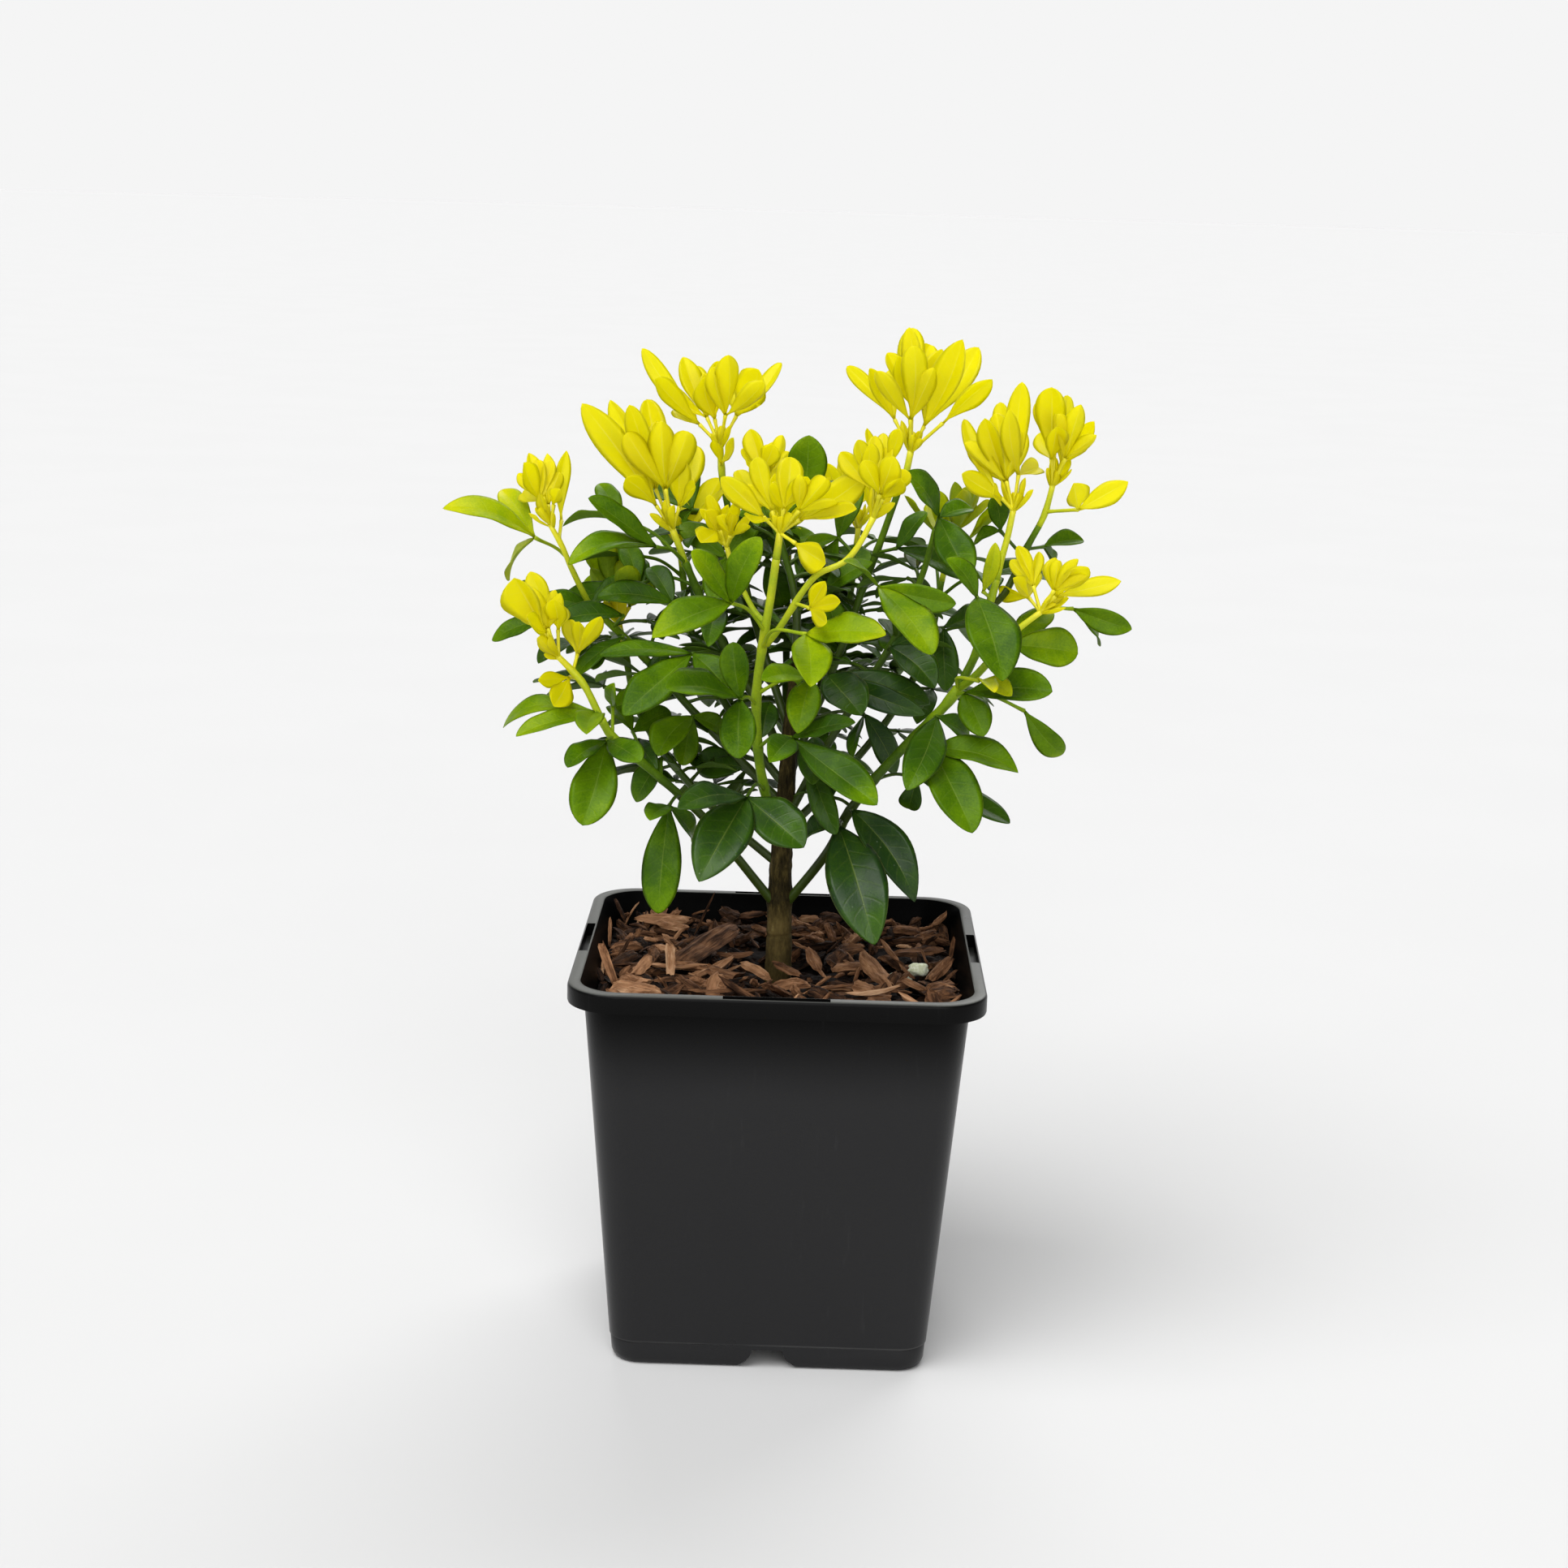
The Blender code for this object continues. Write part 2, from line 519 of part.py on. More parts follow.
def skin_rings(points, rings, tip=None):
    """Adds the skin through a row of sections, split alike on both faces, and returns its triangles."""
    triangles = []
    rows = []
    for ring in rings:
        if isinstance(ring[0], int):
            rows.append(ring)
            continue
        rows.append(list(range(len(points), len(points) + len(ring))))
        points += ring
    for near, far in zip(rows, rows[1:]):
        if len(near) == 3:
            for corner in range(3):
                after = (corner + 1) % 3
                triangles.append((near[corner], near[after], far[after]))
                triangles.append((near[corner], far[after], far[corner]))
            continue
        (a, b, c, d), (e, f, g, h) = near, far
        triangles += [(a, b, f), (a, f, e), (c, f, b), (c, g, f)]
        triangles += [(a, h, d), (a, e, h), (c, d, h), (c, h, g)]
    if tip is not None:
        points.append(tip)
        last = len(points) - 1
        a, b, c, d = rows[-1]
        triangles += [(a, b, last), (b, c, last), (c, d, last), (d, a, last)]
    return triangles


def root_cap(ring_size):
    """Triangles that close the first section of a skin."""
    return [(0, 3, 1), (1, 3, 2)] if ring_size == 4 else [(0, 2, 1)]


def blade(leaflet, base, tip, grow=0.0):
    """Points and triangles of a leaflet by itself, with its root closed."""
    sunk = base - (tip - base).normalized() * ROOT_SINK
    rings, end = blade_rings(leaflet, sunk, tip, grow)
    points = []
    triangles = skin_rings(points, rings, end)
    return points, [*root_cap(4), *triangles]


def hub_triangles(points, rings):
    """The skin between the sections round a joint, as their convex hull, or None if they crowd."""
    owners = np.array([number for number, ring in enumerate(rings) for _ in ring])
    indices = [index for ring in rings for index in ring]
    places = np.array([points[index] for index in indices])
    trios = np.array(list(itertools.combinations(range(len(indices)), 3)))
    first, second, third = owners[trios].T
    trios = trios[(first != second) | (second != third)]
    start, second, third = places[trios[:, 0]], places[trios[:, 1]], places[trios[:, 2]]
    normals = np.cross(second - start, third - start)
    sizes = np.linalg.norm(normals, axis=1)
    wide = sizes > LEAST_CROSS
    trios, start = trios[wide], start[wide]
    normals = normals[wide] / sizes[wide, None]
    flip = np.einsum("ij,ij->i", normals, start - places.mean(axis=0)) < 0
    normals[flip] *= -1.0
    above = normals @ places.T - np.einsum("ij,ij->i", normals, start)[:, None]
    above[np.arange(len(trios))[:, None], trios] = -1.0
    outer = above.max(axis=1) < SAME_PLANE
    triangles = []
    for trio, turned in zip(trios[outer], flip[outer]):
        a, b, c = (indices[corner] for corner in trio)
        triangles.append((a, c, b) if turned else (a, b, c))
    borders = {frozenset(pair) for ring in rings for pair in zip(ring, [*ring[1:], ring[0]])}
    uses = dict.fromkeys(borders, 0)
    for a, b, c in triangles:
        for edge in (frozenset((a, b)), frozenset((b, c)), frozenset((c, a))):
            uses[edge] = uses.get(edge, 0) + 1
    closed = all(count == (1 if edge in borders else 2) for edge, count in uses.items())
    return triangles if closed else None


def stalk_ring(place, side, face, radius, sides):
    """The section of a stalk, with three or four corners."""
    if sides == 4:
        return ring_points(place, side, face, radius, radius)
    corners = []
    for corner in range(3):
        angle = 2 * math.pi * corner / 3
        corners.append(place + THREE_SIDED * radius * (side * math.cos(angle) + face * math.sin(angle)))
    return corners


def compound_mesh(stalk, radii, sides, blades):
    """Points and triangles of a stalk and its leaflets in one skin, or None if the leaflets crowd."""
    joint = stalk[-1]
    for reach in HUB_REACHES:
        back = (stalk[-2] - joint).normalized()
        if (stalk[-2] - joint).length < reach + LEAST_STALK:
            return None
        points = []
        rings = []
        stalk_rings = []
        places = [*stalk[:-1], joint + back * reach]
        for index, (place, radius) in enumerate(zip(places, radii)):
            run = (places[min(index + 1, len(places) - 1)] - places[max(index - 1, 0)]).normalized()
            side = run.cross(STALK_UP).normalized()
            stalk_rings.append(stalk_ring(place, side, side.cross(run), radius, sides))
        triangles = [*root_cap(sides), *skin_rings(points, stalk_rings)]
        rings.append(list(range(len(points) - sides, len(points))))
        skins = []
        for leaflet, _, tip in blades:
            along = (tip - joint).normalized()
            sections, end = blade_rings(leaflet, joint + along * reach, tip)
            start = len(points)
            points += sections[0]
            rings.append(list(range(start, start + 4)))
            skins.append((sections[1:], end, rings[-1]))
        hub = hub_triangles(points, rings)
        if hub is None:
            continue
        for sections, end, root in skins:
            triangles += skin_rings(points, [root, *sections], end)
        return points, triangles + hub
    return None


def one_skin(stalk, radii, sides, leaflets):
    """The skin of a stalk with as many of its leaflets as fit round the joint, and the leaflets left over."""
    ahead = (stalk[-1] - stalk[-2]).normalized()
    widest = sorted(leaflets, key=lambda grown: ahead.dot((grown[2] - grown[1]).normalized()))
    skin = None
    chosen = []
    for grown in widest:
        wider = compound_mesh(stalk, radii, sides, [*chosen, grown])
        if wider:
            skin = wider
            chosen.append(grown)
    rooted = stalk[-1] - ahead * LOOSE_SINK
    return skin, [(grown[0], rooted, grown[2]) for grown in leaflets if grown not in chosen]


def tube_hull(path, radii):
    """A square prism round a tube, for testing what comes near it."""
    points = []
    for index, (place, radius) in enumerate(zip(path, radii)):
        along = (path[min(index + 1, len(path) - 1)] - path[max(index - 1, 0)]).normalized()
        side = along.cross(HULL_UP).normalized()
        reach = HULL_SHARE * radius
        points += ring_points(place, side, along.cross(side), reach, reach)
    triangles = [(0, 1, 2), (0, 2, 3)]
    for ring in range(0, 4 * (len(path) - 1), 4):
        for corner in range(4):
            near, after = ring + corner, ring + (corner + 1) % 4
            triangles += [(near, after, after + 4), (near, after + 4, near + 4)]
    last = len(points) - 4
    triangles += [(last, last + 2, last + 1), (last, last + 3, last + 2)]
    return points, triangles


class Room:
    """What already stands in the bush, to keep the pieces of different shoots clear of each other."""

    def __init__(self):
        self.taken = []

    def box(self, points):
        low = [min(point[axis] for point in points) for axis in range(3)]
        high = [max(point[axis] for point in points) for axis in range(3)]
        return low, high

    def free(self, points, triangles, spared):
        """Whether this shape touches nothing but what belongs to the spared (shoot, leaf) pairs."""
        low, high = self.box(points)
        tree = None
        for owner, other_low, other_high, other_tree in self.taken:
            if owner in spared or owner[0] in spared:
                continue
            if any(low[axis] > other_high[axis] or high[axis] < other_low[axis] for axis in range(3)):
                continue
            tree = tree or BVHTree.FromPolygons(points, triangles)
            if tree.overlap(other_tree):
                return False
        return True

    def take(self, owner, points, triangles):
        self.taken.append((owner, *self.box(points), BVHTree.FromPolygons(points, triangles)))


def nudged(base, tip, try_number):
    """The tip moved a little: first along the line of sight, then also to the sides."""
    ring, step = divmod(try_number, 9)
    deeper = (0, -1, 1, -2, 2, -3, 3, -4, 4)[step] * NUDGE_STEP
    turn = (0, 1, -1, 2, -2, 3, -3)[ring] * NUDGE_TURN
    sight = (tip - EYE).normalized()
    moved = Matrix.Rotation(turn, 3, sight) @ (tip - base)
    return base + moved.normalized() * (tip - base).length + sight * deeper


def grow_leaflet(room, owner, leaflet, base, spare):
    """The leaflet's tip where it is clear of other shoots, and of its own one if it can be; or None."""
    second_best = None
    for try_number in range(NUDGES):
        tip = nudged(base, leaflet["tip"], try_number)
        if abs(tip.y) > DEPTH_LIMIT or (spare and not inside_outline(tip)):
            continue
        if not room.free(*blade(leaflet, base, tip, CLEARANCE), {owner[0]}):
            continue
        second_best = second_best or tip
        if room.free(*blade(leaflet, base.lerp(tip, ROOT_SHARE), tip), set()):
            second_best = tip
            break
    if second_best:
        room.take(owner, *blade(leaflet, base, second_best))
    return second_best


def grow_petiole(room, owner, stem, joint):
    """A stalk from the stem to the joint that is clear of other shoots, or None."""
    for bend in BENDS:
        path = petiole_path(stem, joint, bend)
        if room.free(*tube_hull(path, [PETIOLE_RADIUS + CLEARANCE] * len(path)), {owner[0]}):
            room.take(owner, *tube_hull(path, [PETIOLE_RADIUS] * len(path)))
            return path
    return None


def set_habit(colour, leaflet, rule):
    """How a leaflet of this colour faces, folds and arches."""
    young = colour == "yellow"
    leaflet["fold"] = YOUNG_FOLD if young else GREEN_FOLD
    leaflet["roll"] += math.radians(rule.uniform(-ROLL_SPREAD, ROLL_SPREAD))
    if leaflet["arch"] is None:
        leaflet["arch"] = (YOUNG_ARCH if young else GREEN_ARCH) * rule.uniform(*ARCH_SPREAD)
    if "face" not in leaflet:
        leaflet["face"] = YOUNG_FACE if young else GREEN_FACE


def compound_leaf(rule, joint, out, size, droop):
    """Three leaflets that spread from a joint: one ahead and one to each side."""
    side = out.cross(Vector((0.0, 0.0, 1.0))).normalized()
    leaflets = []
    for turn, share in ((0.0, 1.0), (SIDE_TURN, SIDE_SHARE), (-SIDE_TURN, SIDE_SHARE)):
        angle = math.radians(turn + rule.uniform(-TURN_SPREAD, TURN_SPREAD))
        flat = out * math.cos(angle) + side * math.sin(angle)
        fall = math.tan(math.radians(droop + rule.uniform(-DROOP_SPREAD, DROOP_SPREAD)))
        along = (flat - Vector((0.0, 0.0, fall))).normalized()
        length = size * share * rule.uniform(*LENGTH_SPREAD)
        leaflets.append({
            "tip": joint + along * length,
            "width": length * rule.uniform(*GREEN_WIDTHS),
            "roll": 0.0,
            "arch": None,
            "face": Vector((0.0, 0.0, 1.0)) + FACE_LEAN * out,
        })
    return {"joint": joint, "leaflets": leaflets}


TRUNK_PATH = [
    Vector((x, y, z)) * MM
    for x, y, z in (
        (TRUNK_X, 0, 88), (TRUNK_X, 0, 127), (TRUNK_X, 0, 141), (-0.5, 0, 152), (-0.3, 0, 166),
        (0.4, 0.5, 181), (1.0, 1.5, 200), (1.8, 2.8, 219), (3.0, 4.0, 238),
    )
]
TRUNK_RADII = [radius * MM for radius in (4.6, 4.6, 4.4, 4.2, 3.8, 3.4, 2.9, 2.4, 1.8)]


def on_trunk(height):
    """The trunk's axis at this height."""
    for low, high in zip(TRUNK_PATH, TRUNK_PATH[1:]):
        if low.z <= height <= high.z:
            return low.lerp(high, (height - low.z) / (high.z - low.z))
    return TRUNK_PATH[-1]


# The shoots that lean to the back: angle from +X, height on the trunk, reach, height of the tip, leaf pairs
BACK_SHOOTS = (
    ("back_right", 28, 176, 60, 262, 4),
    ("back_right_tall", 58, 206, 40, 270, 3),
    ("back_far", 92, 182, 44, 262, 4),
    ("back_left", 142, 192, 50, 264, 4),
    ("back_left_low", 162, 164, 60, 236, 4),
)


def back_shoot(name, angle, start, reach, height, pairs):
    """A leafy shoot towards the back, with opposite leaves that turn a quarter from pair to pair."""
    rule = random.Random(name)
    heading = Vector((math.cos(math.radians(angle)), math.sin(math.radians(angle)), 0.0))
    low, high = start * MM, height * MM
    path = []
    for share in (0.0, 0.25, 0.5, 0.75, 1.0):
        out = reach * MM * math.sin(share * math.pi / 2) ** SPREAD_POWER
        path.append(on_trunk(low) + heading * out + Vector((0.0, 0.0, (high - low) * share**RISE_POWER)))
    across = heading.cross(Vector((0.0, 0.0, 1.0)))
    fans = []
    for pair in range(pairs):
        share = FIRST_PAIR + (LAST_PAIR - FIRST_PAIR) * pair / (pairs - 1)
        place = on_path(path, share)
        for way in (1, -1):
            level = across * way if pair % 2 else (heading * way + FACE_LEAN * heading)
            out = (level + heading * 0.5).normalized()
            stalk = rule.uniform(*STALK_LENGTHS) * MM
            joint = place + out * stalk * STALK_OUT + Vector((0.0, 0.0, stalk * STALK_RISE))
            size = rule.uniform(*LEAF_LENGTHS) * MM * (1.0 - SHRINK * share)
            droop = LOW_DROOP + (TOP_DROOP - LOW_DROOP) * share
            fans.append(compound_leaf(rule, joint, out, size, droop))
    return {
        "name": "shoot_" + name,
        "colour": "green",
        "parent": "trunk",
        "path": path,
        "radii": (1.6 * MM, 1.1 * MM),
        "fans": fans,
        "spare": True,
    }


def back_spray(name, carrier):
    """The yellow young leaves at the tip of a back shoot."""
    rule = random.Random(name + " spray")
    start = carrier["path"][-1]
    ahead = (start - carrier["path"][-2]).normalized()
    joint = start + ahead * TUFT_REACH
    leaflets = []
    for index in range(BACK_TUFT):
        angle = index * TUFT_TURN
        lean = math.radians(INNER_LEAN + (OUTER_LEAN - INNER_LEAN) * index / (BACK_TUFT - 1))
        out = Vector((math.cos(angle), math.sin(angle), 0.0))
        upright = (ahead + Vector((0.0, 0.0, 0.8))).normalized()
        along = upright * math.cos(lean) + out * math.sin(lean)
        length = rule.uniform(*YOUNG_LENGTHS) * MM
        leaflets.append({
            "tip": joint + along.normalized() * length,
            "width": length * rule.uniform(*YOUNG_WIDTHS),
            "roll": 0.0,
            "arch": None,
            "face": Vector((0.0, 0.0, 0.3)) - out,
        })
    return {
        "name": "spray_" + name,
        "colour": "yellow",
        "parent": carrier["name"],
        "path": [start, start + ahead * 0.45 * TUFT_REACH, joint],
        "radii": (1.1 * MM, 1.0 * MM),
        "fans": [{"joint": joint, "leaflets": leaflets}],
        "spare": True,
    }


# The outline that spare foliage stays inside, as seen from the front: (x, height) pairs in mm
SKYLINE = (
    (-92, 215), (-80, 262), (-62, 292), (-40, 318), (-8, 316), (8, 304), (22, 316), (62, 326),
    (84, 300), (100, 262), (108, 220),
)
LOWEST_SEEN = 190.0
DEPTH_LIMIT = 67.0 * MM


def inside_outline(point):
    flat = EYE + (point - EYE) / (1.0 - point.y / EYE.y)
    x, z = flat.x / MM, flat.z / MM
    if z < LOWEST_SEEN or point.y > DEPTH_LIMIT:
        return False
    for (x0, z0), (x1, z1) in zip(SKYLINE, SKYLINE[1:]):
        if x0 <= x <= x1:
            return z < z0 + (z1 - z0) * (x - x0) / (x1 - x0)
    return False


def new_growth(colour):
    """An empty record of a shoot: tubes, compound leaves, leaflets at its tip and other leaflets."""
    return {"colour": colour, "tubes": [], "leaves": [], "tuft": [], "blades": []}


def clear_start(stem, radius, carrier):
    """How far along its path a stem is clear of the one that carries it, given as (path, radii)."""
    walked = 0.0
    room_left = 0.0
    while room_left < radius + STUB_LENGTH:
        walked += STUB_STEP
        place = path_after(stem, walked)[0]
        path, radii = carrier
        room_left = math.inf
        for start, end, thick in zip(path, path[1:], radii):
            nearest, share = intersect_point_line(place, start, end)
            nearest = start.lerp(end, min(1.0, max(0.0, share)))
            room_left = min(room_left, (place - nearest).length - thick)
    return walked


def grow_stems(room, shoots):
    """The tubes of every stem, and of the short foot that each one's carrier keeps of it."""
    grown = {"trunk": new_growth("wood")}
    carriers = {"trunk": (TRUNK_PATH, TRUNK_RADII)}
    room.take(("trunk", 0), *tube_hull(TRUNK_PATH, TRUNK_RADII))
    for item in shoots:
        name, parent = item["name"], item["parent"]
        stem = smooth_path(item["path"], STEM_STEP)
        start = clear_start(stem, item["radii"][0], carriers[parent])
        item["stem"] = path_after(stem, start + GAP)
        sunk = stem[0] - (stem[1] - stem[0]).normalized() * STUB_SINK
        stub = [sunk, *path_before(stem, start)[1:]]
        first, last = item["radii"]
        count = len(item["stem"]) - 1
        taper = [first + (last - first) * index / count for index in range(count + 1)]
        room.take((parent, 0), *tube_hull(stub, [first] * len(stub)))
        room.take((name, 0), *tube_hull(item["stem"], taper))
        carriers[name] = (item["stem"], taper)
        grown[name] = new_growth(item["colour"])
        grown[name]["tubes"].append((item["stem"], taper))
        grown[parent]["tubes"].append((stub, [STUB_SHARE * first] * len(stub)))
    return grown


def grown_plant():
    """Every stem, stalk and leaflet in its final place, by shoot."""
    rule = random.Random(11)
    room = Room()
    shoots = visible_shoots()
    for row in BACK_SHOOTS:
        carrier = back_shoot(*row)
        shoots += [carrier, back_spray(row[0], carrier)]
    grown = grow_stems(room, shoots)
    for item in shoots:
        name = item["name"]
        dense = smooth_path(item["stem"], FINE_STEP)
        for number, leaves in enumerate(item["fans"], 1):
            joint = leaves["joint"]
            if item["spare"] and not inside_outline(joint):
                continue
            nearest = min(dense, key=lambda point: (joint - point).length)
            seated = (joint - nearest).length < PETIOLE_NEEDED
            if seated and joint != dense[-1]:
                joint = nearest
            stalk = None if seated else grow_petiole(room, (name, number), dense, joint)
            if not seated and stalk is None:
                continue
            kept = []
            for leaflet in leaves["leaflets"]:
                set_habit(item["colour"], leaflet, rule)
                tip = grow_leaflet(room, (name, number), leaflet, joint, item["spare"])
                if tip:
                    kept.append((leaflet, joint, tip))
            if seated and joint == dense[-1]:
                if item["spare"]:
                    loose = one_skin(*grown[name]["tubes"][0], 4, kept)[1]
                    crowded = [single[0] for single in loose]
                    kept = [single for single in kept if single[0] not in crowded]
                grown[name]["tuft"] += kept
            elif seated:
                grown[name]["blades"] += kept
            elif kept:
                grown[name]["leaves"].append((stalk, kept))
    return grown


def clear_scene():
    for item in list(bpy.data.objects):
        bpy.data.objects.remove(item)


def new_collection(name):
    collection = bpy.data.collections.new(name)
    bpy.context.scene.collection.children.link(collection)
    return collection


def add_mesh(collection, name, mesh):
    item = bpy.data.objects.new(name, mesh)
    collection.objects.link(item)
    return item


def mesh_from_bmesh(name, shape):
    mesh = bpy.data.meshes.new(name)
    shape.to_mesh(mesh)
    shape.free()
    return mesh


def material(name, colour, roughness):
    made = bpy.data.materials.new(name)
    made.use_nodes = True
    shader = made.node_tree.nodes["Principled BSDF"]
    shader.inputs["Base Color"].default_value = (*colour, 1.0)
    shader.inputs["Roughness"].default_value = roughness
    shader.inputs["Metallic"].default_value = 0.0
    return made


def square_ring(half, corner):
    """Points of a rounded square in the plane, anticlockwise."""
    points = []
    for quarter in range(4):
        turn = quarter * math.pi / 2
        centre = half - corner
        for step in range(CORNER_STEPS + 1):
            angle = step * math.pi / 2 / CORNER_STEPS
            x = centre + corner * math.cos(angle)
            y = centre + corner * math.sin(angle)
            points.append((x * math.cos(turn) - y * math.sin(turn), x * math.sin(turn) + y * math.cos(turn)))
    return points


def square_loft(name, sections):
    """A closed body through rounded squares, given as (half width, corner radius, height) along its skin."""
    shape = bmesh.new()
    rings = []
    for half, corner, height in sections:
        rings.append([shape.verts.new((x, y, height)) for x, y in square_ring(half, corner)])
    for lower, upper in zip(rings, rings[1:]):
        for index in range(len(lower)):
            after = (index + 1) % len(lower)
            shape.faces.new((lower[index], lower[after], upper[after], upper[index]))
    shape.faces.new(reversed(rings[0]))
    shape.faces.new(rings[-1])
    bmesh.ops.recalc_face_normals(shape, faces=shape.faces)
    return mesh_from_bmesh(name, shape)


def body_half(height):
    """Outer half width of the pot's tapered body."""
    return BODY_BASE_HALF + (BODY_TOP_HALF - BODY_BASE_HALF) * height / (POT_HEIGHT - RIM_DROP)


def body_corner(height):
    """Corner radius of the body, which grows with its width."""
    return BODY_BASE_CORNER + (BODY_TOP_CORNER - BODY_BASE_CORNER) * height / (POT_HEIGHT - RIM_DROP)


def inner_section(height, gap=0.0):
    """Half width and corner radius inside the pot's wall, and the height, drawn in by a gap."""
    return (body_half(height) - WALL - gap, body_corner(height) - WALL - gap, height)


def box_cutter(collection, name, size, place, turn=0.0):
    shape = bmesh.new()
    bmesh.ops.create_cube(shape, size=1.0)
    bmesh.ops.scale(shape, vec=size, verts=shape.verts)
    cutter = add_mesh(collection, name, mesh_from_bmesh(name, shape))
    cutter.location = place
    cutter.rotation_euler = (0.0, 0.0, turn)
    return cutter


def cylinder_cutter(collection, name, radius, bottom, top, x, y):
    shape = bmesh.new()
    bmesh.ops.create_cone(
        shape, cap_ends=True, segments=HOLE_SIDES, radius1=radius, radius2=radius, depth=top - bottom
    )
    cutter = add_mesh(collection, name, mesh_from_bmesh(name, shape))
    cutter.location = (x, y, (top + bottom) / 2)
    return cutter


def channel_cutter(collection, name, turn):
    """A bar through the pot's foot whose sides flare out to the bottom."""
    curve = bpy.data.curves.new(name, "CURVE")
    curve.dimensions = "2D"
    curve.fill_mode = "BOTH"
    curve.extrude = RIM_HALF
    steps = 4
    side = []
    for index in range(steps + 1):
        height = CHANNEL_HEIGHT * index / steps
        flare = (1.0 - index / steps) ** 2
        side.append((CHANNEL_TOP_HALF + (CHANNEL_FOOT_HALF - CHANNEL_TOP_HALF) * flare, height))
    outline = [(CHANNEL_FOOT_HALF, -CUT_OVER), *side]
    outline += [(-x, y) for x, y in reversed(outline)]
    spline = curve.splines.new("POLY")
    spline.points.add(len(outline) - 1)
    for point, (x, y) in zip(spline.points, outline):
        point.co = (x, y, 0.0, 1.0)
    spline.use_cyclic_u = True
    guide = bpy.data.objects.new(name + "_outline", curve)
    bpy.context.scene.collection.objects.link(guide)
    guide.rotation_euler = (math.pi / 2, 0.0, turn)
    return solid_from_curve(collection, name, guide)


def solid_from_curve(collection, name, guide):
    """A mesh object with welded caps made from a curve object, which is removed."""
    bpy.context.view_layer.update()
    graph = bpy.context.evaluated_depsgraph_get()
    mesh = bpy.data.meshes.new_from_object(guide.evaluated_get(graph))
    shape = bmesh.new()
    shape.from_mesh(mesh)
    bmesh.ops.remove_doubles(shape, verts=shape.verts, dist=WELD)
    bmesh.ops.recalc_face_normals(shape, faces=shape.faces)
    shape.to_mesh(mesh)
    shape.free()
    item = add_mesh(collection, name, mesh)
    item.matrix_world = guide.matrix_world.copy()
    bpy.data.objects.remove(guide)
    return item


def tube(collection, name, path, radii, resolution):
    """A closed tube along a path, as thick at each place as its radius there."""
    curve = bpy.data.curves.new(name, "CURVE")
    curve.dimensions = "3D"
    curve.bevel_depth = 1.0
    curve.bevel_resolution = resolution
    curve.use_fill_caps = True
    spline = curve.splines.new("POLY")
    spline.points.add(len(path) - 1)
    for point, place, radius in zip(spline.points, path, radii):
        point.co = (*place, 1.0)
        point.radius = radius
    guide = bpy.data.objects.new(name + "_line", curve)
    bpy.context.scene.collection.objects.link(guide)
    return solid_from_curve(collection, name, guide)


def apply_boolean(item, operation, collection, solver):
    """Joins or cuts an object with all of a collection, and makes the result its own mesh."""
    modifier = item.modifiers.new(operation.lower(), "BOOLEAN")
    modifier.operation = operation
    modifier.operand_type = "COLLECTION"
    modifier.collection = collection
    modifier.solver = solver
    bpy.context.view_layer.update()
    graph = bpy.context.evaluated_depsgraph_get()
    mesh = bpy.data.meshes.new_from_object(item.evaluated_get(graph))
    item.modifiers.remove(modifier)
    item.data = mesh


def remove_collection(collection):
    for item in list(collection.objects):
        bpy.data.objects.remove(item)
    bpy.data.collections.remove(collection)


